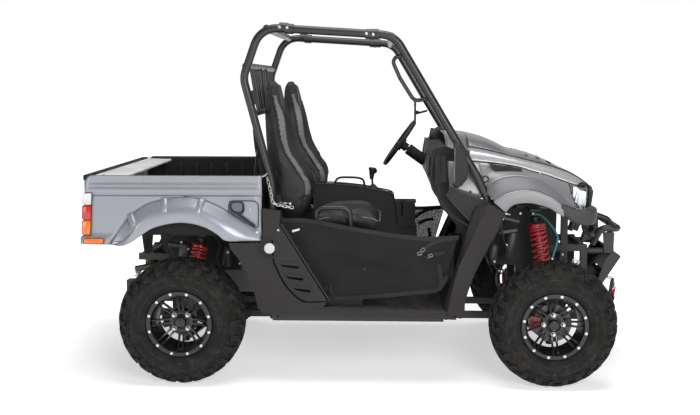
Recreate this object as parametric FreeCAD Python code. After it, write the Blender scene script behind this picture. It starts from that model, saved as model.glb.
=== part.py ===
import FreeCAD, Part
import math
import os

# Side-by-side utility vehicle with an open two-seat cab and a tipping cargo bed.
# Millimetres. +X forward, +Y to the driver's left, +Z up. The ground is Z = 0.
# Front pieces are placed from the front axle, rear pieces from the rear axle.

os.makedirs("parts", exist_ok=True)

# ---------------------------------------------------------------- dimensions
WHEELBASE = 1930.0
REAR_AXLE_X = -939.0
FRONT_AXLE_X = REAR_AXLE_X + WHEELBASE

# Wheels and tyres
TYRE_R = 330.0
TYRE_OUTER_Y = 750.0
FRONT_TYRE_W = 230.0
REAR_TYRE_W = 270.0
TYRE_WALL = 16.0
SHOULDER_DROP = 44.0
SHOULDER_INSET = 9.0
CROWN_DROP = 16.7
CROWN_INSET = 38.0
TREAD_EDGE = 75.0
BEAD_INSET = 41.0
BEAD_R = 160.0
RING_R = 172.0
RING_T = 10.0
RIM_FACE_Y = 717.0
RIM_WALL = 6.0
HUB_RECESS = 62.0
HUB_R = 62.0
HUB_T = 14.0
SPOKE_PAIRS = 8
SPOKE_W = 13.0
SPOKE_SPLAY_DEG = 9.0
FRONT_DISC_R = 100.0
REAR_DISC_R = 80.0
DISC_T = 5.0
WHEEL_GAP = 0.3

# Steering
KINGPIN_Y = 545.0
STEER_ARM = 86.0
TIE_ROD_R = 9.0
RACK_R = 14.0
RACK_LIFT = 55.0
RACK_Z = TYRE_R + RACK_LIFT
BALL_Z = 92.0
STUD_H = 12.0
CV_BALL_R = 30.0
STEERING_RIM_R = 150.0
STEERING_RIM_TUBE_R = 13.0
STEERING_WHEEL_X = -785.0
STEERING_WHEEL_Z = 1206.0
DRIVER_Y = 330.0
COLUMN_AXIS = FreeCAD.Vector(0.817, 0.0, -0.577)

# Frame
RAIL = 36.0
RAIL_Y = 190.0
FRAME_NOSE = 253.0
LINER_T = 4.0
LINER_GAP = 0.3
RAIL_Z = 270.0
SIDE_RAIL_Y = 575.0
UPPER_RAIL_Z = 655.0
SIDE_RAIL_Z = 340.0
REAR_RAIL_Z = 592.0
ARM_SPREAD = 125.0
UPPER_ARM_LIFT = 112.0
ARM_RISE = TYRE_R + UPPER_ARM_LIFT - RAIL_Z
BUSH_R = 19.0
ARM_TUBE_R = 13.0
ARM_ROOT_Y = RAIL_Y + RAIL / 2 + BUSH_R + 0.3
ARM_CROSS = 0.45
ARM_BRACE_R = 9.0
ARM_BALL = BALL_Z + STUD_H + 0.4 + ARM_TUBE_R

# Cab
CAGE_TUBE_R = 21.0
CAGE_Y = 610.0
CAGE_TOP_Z = 1847.0
CAGE_LEG_Z = 1082.0
CAGE_LEG_X = -393.0
CAGE_BEND_X = -826.0
CAGE_BEND_DROP = 42.0
CAGE_KNEE_DROP = 255.0
GUARD_TOP_DROP = 197.0
GUARD_FOOT_DROP = 437.0
BRACE_R = 16.0
PANEL_T = 5.0
BODY_Y = 690.0
FLOOR_Z = 388.0
FLOOR_T = 6.0
SEAT_W = 450.0
SEAT_Y = 330.0
DRIVER_SEAT_SHIFT = 35.0
HIP_BAR_Y = 585.0
SEAT_STEP_Z = 772.0
SEAT_HEADROOM = 258.0
SEAT_WAIST_Z = 900.0
SEAT_DRAWN_H = 689.0
SILL_DEPTH = 60.0
QUARTER_DEPTH = 46.0
NET_T = 8.0
CAB_HALF_W = BODY_Y - SILL_DEPTH - 0.3
CONSOLE_W = 132.0

# Front recovery gear
WINCH_Z = 490.0

# Hood hinge, just under the rear edge of the skin
HOOD_HINGE_X = -423.0
HOOD_HINGE_Z = 1258.0
HOOD_HINGE_Y = 96.0
HOOD_PIN_R = 4.0
HOOD_SEAM = 17.0

# Cargo bed
BED_TOP_Z = 1095.0
BED_TYRE_GAP = 140.0
BED_FLOOR_Z = 2 * TYRE_R + BED_TYRE_GAP
BED_WALL = 5.0
BED_PIVOT_X = -275.0
BED_PIVOT_Z = 632.0
BED_PIN_R = 10.0
TAILGATE_X = -453.0
TAILGATE_T = 34.0
TAILGATE_PIN_Z = BED_FLOOR_Z
TAILGATE_DROP = 3.0
TAILGATE_PIN_R = 6.0
HITCH_PIN_R = 8.0
HITCH_LIFT = 118.0

# Running clearances between pieces that move against each other
PIN_GAP = 0.4
RACK_GAP = 0.05
MOVE_GAP = 6.0

O = FreeCAD.Vector(0, 0, 0)
X = FreeCAD.Vector(1, 0, 0)
Y = FreeCAD.Vector(0, 1, 0)
Z = FreeCAD.Vector(0, 0, 1)
SIDES = {"left": 1, "right": -1}


# ------------------------------------------------------------------- helpers
def v(x, y, z):
    """Return a vector."""
    return FreeCAD.Vector(x, y, z)


def fx(x):
    """Return the X of a point given from the front axle."""
    return FRONT_AXLE_X + x


def rx(x):
    """Return the X of a point given from the rear axle."""
    return REAR_AXLE_X + x


def box(x0, x1, y0, y1, z0, z1):
    """Return a box between the given planes."""
    return Part.makeBox(abs(x1 - x0), abs(y1 - y0), abs(z1 - z0),
                        v(min(x0, x1), min(y0, y1), min(z0, z1)))


def rod(radius, start, end):
    """Return a round bar between two points."""
    return Part.makeCylinder(radius, (end - start).Length, start, end - start)


def pin_y(radius, x, z, y0, y1):
    """Return a round bar along Y."""
    return rod(radius, v(x, min(y0, y1), z), v(x, max(y0, y1), z))


def bar(start, end, width, height):
    """Return a flat bar from start to end, width across and height upward."""
    run = end - start
    shape = Part.makeBox(width, height, run.Length, v(-width / 2, -height / 2, 0))
    across = Z.cross(run)
    if across.Length < 1e-6:
        across = Y
    across.normalize()
    up = run.cross(across)
    turn = FreeCAD.Rotation(across, up, run, "ZXY")
    shape.Placement = FreeCAD.Placement(start, turn)
    return shape


def outline(items, plane_y=0.0):
    """Return a closed wire in an XZ plane.

    A pair (x, z) ends a line. A row (mx, mz, x, z) ends an arc through (mx, mz).
    The outline closes with the run that ends at its first row.
    """
    last = v(items[0][-2], plane_y, items[0][-1])
    edges = []
    for item in list(items[1:]) + [items[0]]:
        end = v(item[-2], plane_y, item[-1])
        if len(item) == 4:
            edges.append(Part.Arc(last, v(item[0], plane_y, item[1]), end).toShape())
        elif (end - last).Length > 1e-6:
            edges.append(Part.LineSegment(last, end).toShape())
        last = end
    return Part.Wire(edges)


def outward(solid):
    """Return the solid with its faces turned outward."""
    if solid.Volume < 0:
        solid.reverse()
    return solid


def plate(items, y0, y1):
    """Return an XZ outline made solid between two Y planes."""
    low, high = min(y0, y1), max(y0, y1)
    return Part.Face(outline(items, low)).extrude(v(0, high - low, 0))


def plan(points, z0, z1):
    """Return an XY polygon made solid between two heights."""
    ring = [v(x, y, z0) for x, y in points]
    face = Part.Face(Part.makePolygon(ring + [ring[0]]))
    return face.extrude(v(0, 0, z1 - z0))


def front_view(points, x0, x1):
    """Return a YZ polygon made solid between two X planes."""
    ring = [v(x0, y, z) for y, z in points]
    face = Part.Face(Part.makePolygon(ring + [ring[0]]))
    return face.extrude(v(x1 - x0, 0, 0))


def fuse(shapes):
    """Return several shapes as one."""
    shapes = list(shapes)
    joined = shapes[0]
    if len(shapes) > 1:
        joined = shapes[0].multiFuse(shapes[1:])
    return joined.removeSplitter()


def cut(shape, tools):
    """Return shape with the tools taken away."""
    for tool in tools:
        shape = shape.cut(tool)
    return shape


def mirror(shape):
    """Return the shape on the other side of the vehicle."""
    return shape.mirror(O, Y)


def both(shape):
    """Return the shape and its mirror image as separate solids."""
    return Part.makeCompound([shape, mirror(shape)])


def bent_path(points, radius):
    """Return a wire of straight runs joined by tangent arcs of one radius."""
    edges = []
    last = points[0]
    for before, corner, after in zip(points, points[1:], points[2:]):
        back = (before - corner).normalize()
        ahead = (after - corner).normalize()
        half = back.getAngle(ahead) / 2
        reach = min(radius / math.tan(half), 0.48 * (before - corner).Length,
                    0.48 * (after - corner).Length)
        arc_r = reach * math.tan(half)
        middle = (back + ahead).normalize() * (arc_r / math.sin(half) - arc_r)
        begin = corner + back * reach
        end = corner + ahead * reach
        edges.append(Part.LineSegment(last, begin).toShape())
        edges.append(Part.Arc(begin, corner + middle, end).toShape())
        last = end
    edges.append(Part.LineSegment(last, points[-1]).toShape())
    return Part.Wire(edges)


def tube(points, radius, bend):
    """Return a round tube along points, with bends of one centreline radius."""
    if len(points) == 2:
        return rod(radius, points[0], points[1])
    path = bent_path(points, bend)
    section = Part.Wire(Part.Circle(points[0], points[1] - points[0], radius).toShape())
    return path.makePipeShell([section], True, False)


def revolve_y(profile, x, z, side=1):
    """Return a ring about an axis along Y through (x, z).

    The profile is a list of (radius, y) pairs or arc rows (mr, my, radius, y).
    """
    last = v(0, profile[0][-1], profile[0][-2])
    edges = []
    for item in list(profile[1:]) + [profile[0]]:
        end = v(0, item[-1], item[-2])
        if len(item) == 4:
            edges.append(Part.Arc(last, v(0, item[1], item[0]), end).toShape())
        elif (end - last).Length > 1e-6:
            edges.append(Part.LineSegment(last, end).toShape())
        last = end
    solid = Part.Face(Part.Wire(edges)).revolve(O, Y, 360)
    if side < 0:
        solid = mirror(solid)
    return solid.translate(v(x, 0, z))


def loft(sections):
    """Return a solid with straight surfaces through closed polygons."""
    wires = [Part.makePolygon(ring + [ring[0]]) for ring in sections]
    return outward(Part.makeLoft(wires, True, True))


# -------------------------------------------------------------------- wheels
def tyre(axle_x, width, side):
    """Return one hollow tyre, open at the beads."""
    outer = TYRE_OUTER_Y
    inner = outer - width
    mid = (outer + inner) / 2
    shoulder_r = TYRE_R - SHOULDER_DROP
    tread_y = width / 2 - TREAD_EDGE
    wall_r = (BEAD_R + shoulder_r) / 2
    bead_y = width / 2 - BEAD_INSET
    t = TYRE_WALL
    profile = [
        (BEAD_R, mid + bead_y), (RING_R + 3, mid + bead_y + 3),
        (wall_r + 8, outer, shoulder_r, outer - SHOULDER_INSET),
        (TYRE_R - CROWN_DROP, outer - CROWN_INSET, TYRE_R - 3, mid + tread_y),
        (TYRE_R, mid + 24), (TYRE_R, mid - 24), (TYRE_R - 3, mid - tread_y),
        (TYRE_R - CROWN_DROP, inner + CROWN_INSET, shoulder_r, inner + SHOULDER_INSET),
        (wall_r + 8, inner, RING_R + 3, mid - bead_y - 3), (BEAD_R, mid - bead_y),
        (BEAD_R, mid - bead_y + t),
        (wall_r, inner + t, shoulder_r - t, inner + t + SHOULDER_INSET),
        (TYRE_R - 8 - t, mid - tread_y + t),
        (TYRE_R - 8 - t, mid + tread_y - t),
        (shoulder_r - t, outer - t - SHOULDER_INSET),
        (wall_r, outer - t, BEAD_R, mid + bead_y - t),
    ]
    return revolve_y(profile, axle_x, TYRE_R, side)


def rim(axle_x, width, side):
    """Return one alloy rim: barrel, bead ring, hub disc and split spokes."""
    outer_bead = TYRE_OUTER_Y - BEAD_INSET
    inner_bead = TYRE_OUTER_Y - width + BEAD_INSET
    face = RIM_FACE_Y + RING_T
    seat_r = BEAD_R - 0.3
    bore_r = seat_r - RIM_WALL
    well_r = seat_r - 14
    barrel = revolve_y([
        (seat_r, inner_bead - 6), (RING_R, inner_bead - 8), (RING_R, inner_bead - 14),
        (bore_r, inner_bead - 10), (well_r - RIM_WALL, inner_bead + 30),
        (well_r - RIM_WALL, outer_bead - 34), (bore_r, outer_bead - 16),
        (bore_r, face), (RING_R, face), (RING_R, face - RING_T),
        (seat_r, face - RING_T), (seat_r, outer_bead - 16),
        (well_r, outer_bead - 34), (well_r, inner_bead + 30),
    ], axle_x, TYRE_R, side)
    hub_y = RIM_FACE_Y - HUB_RECESS
    hub = revolve_y([
        (0, hub_y), (HUB_R, hub_y), (HUB_R, hub_y + HUB_T), (44, hub_y + HUB_T + 4),
        (30, hub_y + HUB_T + 4), (30, hub_y + 34), (24, hub_y + 40), (0, hub_y + 40),
    ], axle_x, TYRE_R, side)
    spokes = []
    for pair in range(SPOKE_PAIRS):
        for lean in (-1, 1):
            root = math.radians(360 / SPOKE_PAIRS * pair + lean * 5)
            tip = math.radians(360 / SPOKE_PAIRS * pair + lean * SPOKE_SPLAY_DEG)
            start = v(math.cos(root) * (HUB_R - 14), hub_y + HUB_T / 2 + 2,
                      math.sin(root) * (HUB_R - 14))
            end = v(math.cos(tip) * (bore_r + 3), RIM_FACE_Y - 4,
                    math.sin(tip) * (bore_r + 3))
            spokes.append(spoke(start, end).translate(v(axle_x, 0, TYRE_R)))
    star = fuse(spokes)
    if side < 0:
        star = mirror(star)
    return fuse([barrel, hub, star])


def spoke(start, end):
    """Return one spoke, a four-sided bar that thins towards its tip."""
    run = (end - start).normalize()
    across = run.cross(Y).normalize()
    rings = []
    for point, half_w, depth in ((start, SPOKE_W / 2, 8.0), (end, SPOKE_W / 2 - 1, 9.0)):
        rings.append([point - across * half_w - Y * depth, point + across * half_w - Y * depth,
                      point + across * (half_w - 1.5) + Y * 5,
                      point - across * (half_w - 1.5) + Y * 5])
    return loft(rings)


# --------------------------------------------------- knuckles and suspension
def hub_carrier(axle_x, side, steered, disc_r):
    """Return a hub carrier with its brake caliper, for one wheel."""
    hub_y = RIM_FACE_Y - HUB_RECESS - WHEEL_GAP
    disc_y = hub_y - 24
    pieces = [
        pin_y(42, axle_x, TYRE_R, KINGPIN_Y + 2, disc_y - 3),
        box(axle_x - 22, axle_x + 22, KINGPIN_Y - 14, KINGPIN_Y + 20,
            TYRE_R - BALL_Z - 6, TYRE_R + BALL_Z + 6),
        pin_y(16, axle_x, TYRE_R, disc_y - 4, hub_y),
    ]
    for end in (-1, 1):
        ball = v(axle_x, KINGPIN_Y, TYRE_R + end * BALL_Z)
        pieces.append(rod(16, ball, ball + Z * end * STUD_H))
    if steered:
        arm = v(axle_x - STEER_ARM, KINGPIN_Y, RACK_Z + 12)
        pieces.append(bar(v(axle_x - 10, KINGPIN_Y, RACK_Z + 18),
                          arm + Z * 6 - X * 4, 26, 11))
        pieces.append(rod(13, arm, arm + Z * 12))
    caliper_x = axle_x - disc_r - 16
    caliper = plate([(caliper_x, TYRE_R + 36), (caliper_x, TYRE_R - 36),
                     (axle_x - 58, TYRE_R - 26), (axle_x - 58, TYRE_R + 26)],
                    disc_y - 20, disc_y + 18)
    slot = pin_y(disc_r + 4, axle_x, TYRE_R, disc_y - 4, disc_y + 4)
    pieces.append(caliper.cut(slot))
    pieces.append(box(axle_x - 62, axle_x - 30, disc_y - 20, disc_y - 6,
                      TYRE_R - 20, TYRE_R + 20))
    socket = Part.makeSphere(CV_BALL_R + PIN_GAP, v(axle_x, KINGPIN_Y, TYRE_R))
    mouth = pin_y(CV_BALL_R + 8, axle_x, TYRE_R, KINGPIN_Y - 20, KINGPIN_Y + 1)
    shape = cut(fuse(pieces), [socket, mouth])
    if side < 0:
        shape = mirror(shape)
    return shape


def brake_disc(axle_x, side, disc_r):
    """Return the brake disc and its bell, which turn with the wheel."""
    hub_y = RIM_FACE_Y - HUB_RECESS - WHEEL_GAP
    disc_y = hub_y - 24
    return revolve_y([
        (18, disc_y + DISC_T / 2), (18, hub_y + WHEEL_GAP), (52, hub_y + WHEEL_GAP),
        (46, disc_y + DISC_T / 2), (disc_r, disc_y + DISC_T / 2),
        (disc_r, disc_y - DISC_T / 2), (44, disc_y - DISC_T / 2),
        (44, disc_y + 1), (18, disc_y + 1),
    ], axle_x, TYRE_R, side)


def arm_pair(axle_x, frame_y, frame_z, ball_z, spread):
    """Return one A-arm: two tubes that meet at the ball joint, and its bushes."""
    tip = v(axle_x, KINGPIN_Y, ball_z)
    pieces = [rod(BUSH_R, tip - Z * ARM_TUBE_R, tip + Z * ARM_TUBE_R)]
    for lean in (-1, 1):
        root = v(axle_x + lean * spread, frame_y, frame_z)
        start = tip + v(lean * 8, -14, 0)
        pieces.append(rod(ARM_TUBE_R, start, root))
        pieces.append(rod(BUSH_R, root - X * 24, root + X * 24))
    cross = ARM_CROSS
    pieces.append(rod(ARM_BRACE_R, tip + (v(axle_x + spread, frame_y, frame_z) - tip) * cross,
                      tip + (v(axle_x - spread, frame_y, frame_z) - tip) * cross))
    return fuse(pieces)


def suspension_arms():
    """Return all eight A-arms."""
    arms = []
    for axle_x in (FRONT_AXLE_X, REAR_AXLE_X):
        for frame_z, end in ((RAIL_Z, -1), (RAIL_Z + ARM_RISE, 1)):
            ball_z = TYRE_R + end * ARM_BALL
            arm = arm_pair(axle_x, ARM_ROOT_Y, frame_z, ball_z, ARM_SPREAD)
            arms += [arm, mirror(arm)]
    return Part.makeCompound(arms)


SHOCK_EYE_R = 17.0
SHOCK_COIL_R = 52.0
SHOCK_BODY_R = 27.0
SHOCK_ROD_R = 9.0
SPRING_WIRE_R = 8.0
SPRING_TURNS = 9
SHOCK_FOOT_Y = KINGPIN_Y + (ARM_ROOT_Y - KINGPIN_Y) * ARM_CROSS
SHOCK_FOOT_Z = (TYRE_R + ARM_BALL + (RAIL_Z + ARM_RISE - TYRE_R - ARM_BALL) * ARM_CROSS
                + ARM_BRACE_R + SHOCK_EYE_R + 0.3)
SHOCK_TOP_Y = 352.0
SHELF_T = 14.0
FRONT_SHOCK = {"lean": -62.0, "top_z": 862.0}
REAR_SHOCK = {"lean": 62.0, "top_z": 735.0}


def shock(axle_x, row):
    """Return one coil-over shock: eyes, body, rod, seats and the coil's sleeve."""
    top = v(axle_x + row["lean"], SHOCK_TOP_Y, row["top_z"])
    low = v(axle_x, SHOCK_FOOT_Y, SHOCK_FOOT_Z)
    length = (low - top).Length
    sleeve_r = SHOCK_COIL_R - 2 * SPRING_WIRE_R + 4
    coil_from, coil_to = 42.0, length - 44.0
    turns = min(SPRING_TURNS, int((coil_to - coil_from) / (2 * SPRING_WIRE_R + 1)))
    pitch = (coil_to - coil_from) / turns
    profile = [(0, 8), (SHOCK_BODY_R, 12), (SHOCK_BODY_R, coil_from - 8),
               (SHOCK_COIL_R + 3, coil_from - 8), (SHOCK_COIL_R + 3, coil_from),
               (sleeve_r, coil_from)]
    for turn in range(turns):
        middle = coil_from + pitch * (turn + 0.5)
        profile += [(sleeve_r, middle - SPRING_WIRE_R),
                    (SHOCK_COIL_R, middle, sleeve_r, middle + SPRING_WIRE_R)]
    profile += [(sleeve_r, coil_to), (SHOCK_COIL_R + 3, coil_to),
                (SHOCK_COIL_R + 3, coil_to + 8), (SHOCK_BODY_R - 6, coil_to + 8),
                (SHOCK_ROD_R, length - 20), (SHOCK_ROD_R, length - 8), (0, length - 8)]
    body = revolve_y(profile, 0, 0)
    body.Placement = FreeCAD.Placement(top, FreeCAD.Rotation(Y, low - top))
    eyes = [rod(SHOCK_EYE_R, end - X * 17, end + X * 17) for end in (top, low)]
    return fuse([body] + eyes)


def shocks():
    """Return the four coil-over shocks."""
    solids = []
    for axle_x, row in ((FRONT_AXLE_X, FRONT_SHOCK), (REAR_AXLE_X, REAR_SHOCK)):
        solid = shock(axle_x, row)
        solids += [solid, mirror(solid)]
    return Part.makeCompound(solids)


def half_shafts():
    """Return the four drive shafts with their rubber boots."""
    solids = []
    for axle_x in (FRONT_AXLE_X, REAR_AXLE_X):
        inner, outer = 127.3, KINGPIN_Y - 22
        solid = revolve_y([
            (0, inner), (30, inner), (34, inner + 16), (34, inner + 34),
            (15, inner + 92), (12, inner + 96), (12, outer - 96), (15, outer - 92),
            (32, outer - 40), (32, outer), (18, outer), (18, KINGPIN_Y - 24),
            (CV_BALL_R, KINGPIN_Y, 0, KINGPIN_Y + CV_BALL_R),
        ], axle_x, TYRE_R, 1)
        solids += [solid, mirror(solid)]
    return Part.makeCompound(solids)


# --------------------------------------------------------------------- frame
def frame():
    """Return the welded frame of square tube."""
    h = RAIL / 2
    low, top = RAIL_Z - h, RAIL_Z + h
    rear_low, rear_top = REAR_RAIL_Z - h, REAR_RAIL_Z + h
    nose = fx(FRAME_NOSE) - h
    uprights = (
        # x, top z
        (fx(-470), UPPER_RAIL_Z), (fx(-ARM_SPREAD), FRONT_SHOCK["top_z"] + SHOCK_EYE_R),
        (fx(ARM_SPREAD), FRONT_SHOCK["top_z"] + SHOCK_EYE_R), (nose, UPPER_RAIL_Z),
        (rx(-ARM_SPREAD), REAR_SHOCK["top_z"] + SHOCK_EYE_R),
        (rx(ARM_SPREAD), REAR_SHOCK["top_z"] + SHOCK_EYE_R), (rx(462), rear_top))
    pieces = []
    for side in (-1, 1):
        y0, y1 = side * (RAIL_Y - h), side * (RAIL_Y + h)
        pieces += [
            box(rx(-330), fx(FRAME_NOSE), y0, y1, low, top),
            box(fx(-488), fx(FRAME_NOSE), y0, y1, UPPER_RAIL_Z - h, UPPER_RAIL_Z + h),
            box(rx(-330), rx(480), y0, y1, rear_low, rear_top),
        ]
        for x, z1 in uprights:
            pieces.append(box(x - h, x + h, y0, y1, RAIL_Z, z1))
        for axle_x, row in ((FRONT_AXLE_X, FRONT_SHOCK), (REAR_AXLE_X, REAR_SHOCK)):
            z = row["top_z"] + SHOCK_EYE_R
            x = axle_x + row["lean"]
            pieces.append(box(axle_x - ARM_SPREAD - h, axle_x + ARM_SPREAD + h, y0, y1,
                              z, z + SHELF_T))
            pieces.append(box(x - 30, x + 30, y0, side * (SHOCK_TOP_Y + 26), z, z + SHELF_T))
        lug_y = side * (RAIL_Y + h)
        pivot_x = rx(BED_PIVOT_X)
        lug = plate([(pivot_x - 34, rear_top - 4), (pivot_x + 34, rear_top - 4),
                     (pivot_x + 20, BED_PIVOT_Z), (pivot_x, BED_PIVOT_Z + 20,
                     pivot_x - 20, BED_PIVOT_Z)], lug_y - side * 10, lug_y)
        pieces.append(lug)
    for x in (rx(-312), rx(-ARM_SPREAD), rx(ARM_SPREAD), rx(488), rx(760), fx(-830),
              fx(-578), fx(-ARM_SPREAD), fx(ARM_SPREAD), nose):
        pieces.append(box(x - h, x + h, -RAIL_Y, RAIL_Y, low + 2, top - 2))
    for x, z in ((fx(-470), UPPER_RAIL_Z), (nose, UPPER_RAIL_Z), (rx(-312), REAR_RAIL_Z),
                 (fx(ARM_SPREAD), FRONT_SHOCK["top_z"]),
                 (rx(ARM_SPREAD), REAR_SHOCK["top_z"]), (rx(-ARM_SPREAD), REAR_SHOCK["top_z"])):
        pieces.append(box(x - 14, x + 14, -RAIL_Y, RAIL_Y, z - 14, z + 14))
    for side in (-1, 1):
        pieces.append(box(fx(-STEER_ARM) - 26, fx(-STEER_ARM) + 26, side * 92, side * 122,
                          top - 4, RACK_Z + 26))
        pieces.append(box(fx(-STEER_ARM) - 26, fx(-STEER_ARM) + 26, side * 92, side * RAIL_Y,
                          low + 4, top - 4))
    shape = fuse(pieces)
    holes = [pin_y(BED_PIN_R + PIN_GAP, rx(BED_PIVOT_X), BED_PIVOT_Z, -400, 400),
             pin_y(RACK_R + RACK_GAP, fx(-STEER_ARM), RACK_Z, -140, 140)]
    return cut(shape, holes)


def side_rails():
    """Return the two side rails, each with the four short bars that carry it."""
    h = RAIL / 2
    pieces = [box(rx(470), fx(-560), SIDE_RAIL_Y - h, SIDE_RAIL_Y + h, SIDE_RAIL_Z - h,
                  SIDE_RAIL_Z + h)]
    for x in (rx(488), rx(760), fx(-830), fx(-578)):
        start, end = v(x, RAIL_Y, RAIL_Z), v(x, SIDE_RAIL_Y, SIDE_RAIL_Z)
        pieces.append(bar(start, end, RAIL - 4, RAIL - 4))
    return both(fuse(pieces))


def wheel_liners():
    """Return the flat splash liners on the frame, inside each wheel arch."""
    y = RAIL_Y + RAIL / 2 + LINER_GAP
    front_top = FRONT_SHOCK["top_z"] + SHOCK_EYE_R - LINER_GAP
    rear_top = REAR_SHOCK["top_z"] + SHOCK_EYE_R - LINER_GAP
    front = plate([(fx(-395), 700), (fx(-395), 810), (fx(-330), front_top), (fx(45), front_top),
                   (fx(45), 560), (fx(-250), 560)], y, y + LINER_T)
    rear = plate([(rx(-150), 590), (rx(-190), 640), (rx(-190), rear_top), (rx(250), rear_top),
                  (rx(250), 520), (rx(-60), 520)], y, y + LINER_T)
    return Part.makeCompound([both(front), both(rear)])


def hitch():
    """Return the receiver, its draw bar and its ball."""
    x0 = rx(-330)
    z = RAIL_Z + HITCH_LIFT
    tube_out = box(x0 - 120, x0 + 40, -32, 32, z - 32, z + 32)
    tube_in = box(x0 - 121, x0 + 30, -25.4, 25.4, z - 25.4, z + 25.4)
    brace = plate([(x0 + 4, RAIL_Z + RAIL / 2 - 2), (x0 + 34, RAIL_Z + RAIL / 2 - 2), (x0 + 34, z - 31),
                   (x0 - 60, z - 31)], -26, 26)
    receiver = fuse([tube_out.cut(tube_in), brace])
    return receiver.cut(pin_y(HITCH_PIN_R, x0 - 88, z, -40, 40))


def engine():
    """Return the engine and its transmission as one plain block."""
    return fuse([
        box(rx(150), rx(540), -160, 160, 385, 690),
        pin_y(120, rx(410), 520, -168, 168),
        box(rx(330), rx(505), -110, 110, 680, 770),
    ])


def gearcases():
    """Return the front and rear gearcases."""
    front = fuse([
        pin_y(75, FRONT_AXLE_X, TYRE_R + 10, -70, 70),
        pin_y(46, FRONT_AXLE_X, TYRE_R, -127, 127),
        rod(34, v(fx(-170), 0, TYRE_R - 4), v(fx(-50), 0, TYRE_R)),
    ])
    rear = fuse([
        pin_y(104, REAR_AXLE_X, TYRE_R + 22, -76, 76),
        pin_y(48, REAR_AXLE_X, TYRE_R, -127, 127),
        rod(46, v(rx(60), 0, TYRE_R + 22), v(rx(149), 0, 400)),
    ])
    return Part.makeCompound([front, rear])


def muffler():
    """Return the exhaust silencer with its tail pipe, strap and front pipe."""
    x, z = rx(-245), 545.0
    can = pin_y(54, x, z, -150, 150)
    tail = tube([v(x, -140, z), v(x, -232, z), v(x - 95, -252, z - 16)], 17, 40)
    strap = box(rx(-298), x + 10, -16, 16, z + 40, z + 50)
    pipe = tube([v(x, 100, z + 10), v(rx(-80), 100, 640), v(rx(160), 60, 640)], 19, 80)
    return fuse([can, tail, strap, pipe])


# ---------------------------------------------------------------- roll cage
def cage_side():
    """Return the centreline of one cage side, from its rear foot to its front."""
    return [v(rx(480), CAGE_Y, SIDE_RAIL_Z), v(rx(473), CAGE_Y, 1060),
            v(rx(333), CAGE_Y, CAGE_TOP_Z - CAGE_KNEE_DROP), v(rx(424), CAGE_Y, CAGE_TOP_Z),
            v(fx(CAGE_BEND_X), CAGE_Y, CAGE_TOP_Z - CAGE_BEND_DROP),
            v(fx(CAGE_LEG_X), CAGE_Y, CAGE_LEG_Z),
            v(fx(-336), CAGE_Y, 958), v(fx(-400), CAGE_Y - 10, 640),
            v(fx(-560), CAGE_Y - 30, SIDE_RAIL_Z)]


def leg_x(z):
    """Return where the cage's sloping front leg is at a height."""
    top = CAGE_TOP_Z - CAGE_BEND_DROP
    return fx(CAGE_BEND_X + (top - z) / (top - CAGE_LEG_Z) * (CAGE_LEG_X - CAGE_BEND_X))


def roll_cage():
    """Return the cage: side hoops, cross tubes, braces and the seat guard."""
    side = cage_side()
    guard_top = CAGE_TOP_Z - GUARD_TOP_DROP
    guard_foot = CAGE_TOP_Z - GUARD_FOOT_DROP
    pieces = []
    for s in (-1, 1):
        pieces.append(tube([v(p.x, s * p.y, p.z) for p in side], CAGE_TUBE_R, 120))
    crossings = (
        # x, z, radius
        (rx(347), guard_top, CAGE_TUBE_R - 2), (rx(455), CAGE_TOP_Z - 6, CAGE_TUBE_R - 2),
        (fx(-842), CAGE_TOP_Z - 46, CAGE_TUBE_R - 2), (rx(478), 868.0, BRACE_R),
        (rx(386), guard_foot, BRACE_R), (fx(-424.3), 1134.0, BRACE_R),
    )
    for x, z, radius in crossings:
        pieces.append(rod(radius, v(x, -CAGE_Y, z), v(x, CAGE_Y, z)))
    for y in (-430, -330, -230, 230, 330, 430):
        pieces.append(rod(8, v(rx(386), y, guard_foot), v(rx(347), y, guard_top)))
    for s in (-1, 1):
        pieces.append(rod(BRACE_R, v(rx(352), s * 120, guard_top), v(rx(386), s * 120, guard_foot)))
        gusset = plate([(rx(375), guard_foot + 40), (rx(415), guard_foot + 52),
                        (rx(392), guard_foot + 122), (rx(353), guard_foot + 110)],
                       s * CAGE_Y - 3, s * CAGE_Y + 3)
        pieces.append(gusset)
        for x, z in ((rx(572), CAGE_TOP_Z - 9), (fx(-925), CAGE_TOP_Z - 36)):
            pieces.append(rod(CAGE_TUBE_R + 5, v(x - 22, s * CAGE_Y, z + 1),
                              v(x + 22, s * CAGE_Y, z - 1)))
    high, low = CAGE_TOP_Z - 141, CAGE_TOP_Z - 359
    handle = [v(leg_x(high), -CAGE_Y, high), v(leg_x(high) - 76, -CAGE_Y + 40, high - 12),
              v(leg_x(high) - 29, -CAGE_Y + 44, high - 116),
              v(leg_x(low) - 86, -CAGE_Y + 40, low - 14), v(leg_x(low), -CAGE_Y, low)]
    pieces.append(tube(handle, 10, 40))
    return fuse(pieces)


# ----------------------------------------------------------------------- cab
def hollow_plate(items, y0, y1, wall, flange):
    """Return an outer skin with a flange turned inward round its outline.

    y0 is the outer face and y1 the flange's inner edge.
    """
    inward = 1 if y1 > y0 else -1
    solid = plate(items, y0, y1)
    wire = outline(items, y0 + inward * wall)
    inner = wire.makeOffset2D(-flange)
    pocket = Part.Face(inner).extrude(v(0, inward * 400, 0))
    return solid.cut(pocket)


def quarter_outline():
    """Return the outline of the panel between the bed and the door opening."""
    return [(rx(436), 753), (rx(434), 927), (rx(527), 914), (rx(519), 839), (rx(766), 450),
            (rx(745), 418), (rx(745), 371), (rx(442), 377), (rx(406), 410),
            (rx(389), 487), (rx(352), 590, rx(268), 716), (rx(258), 748)]


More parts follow.
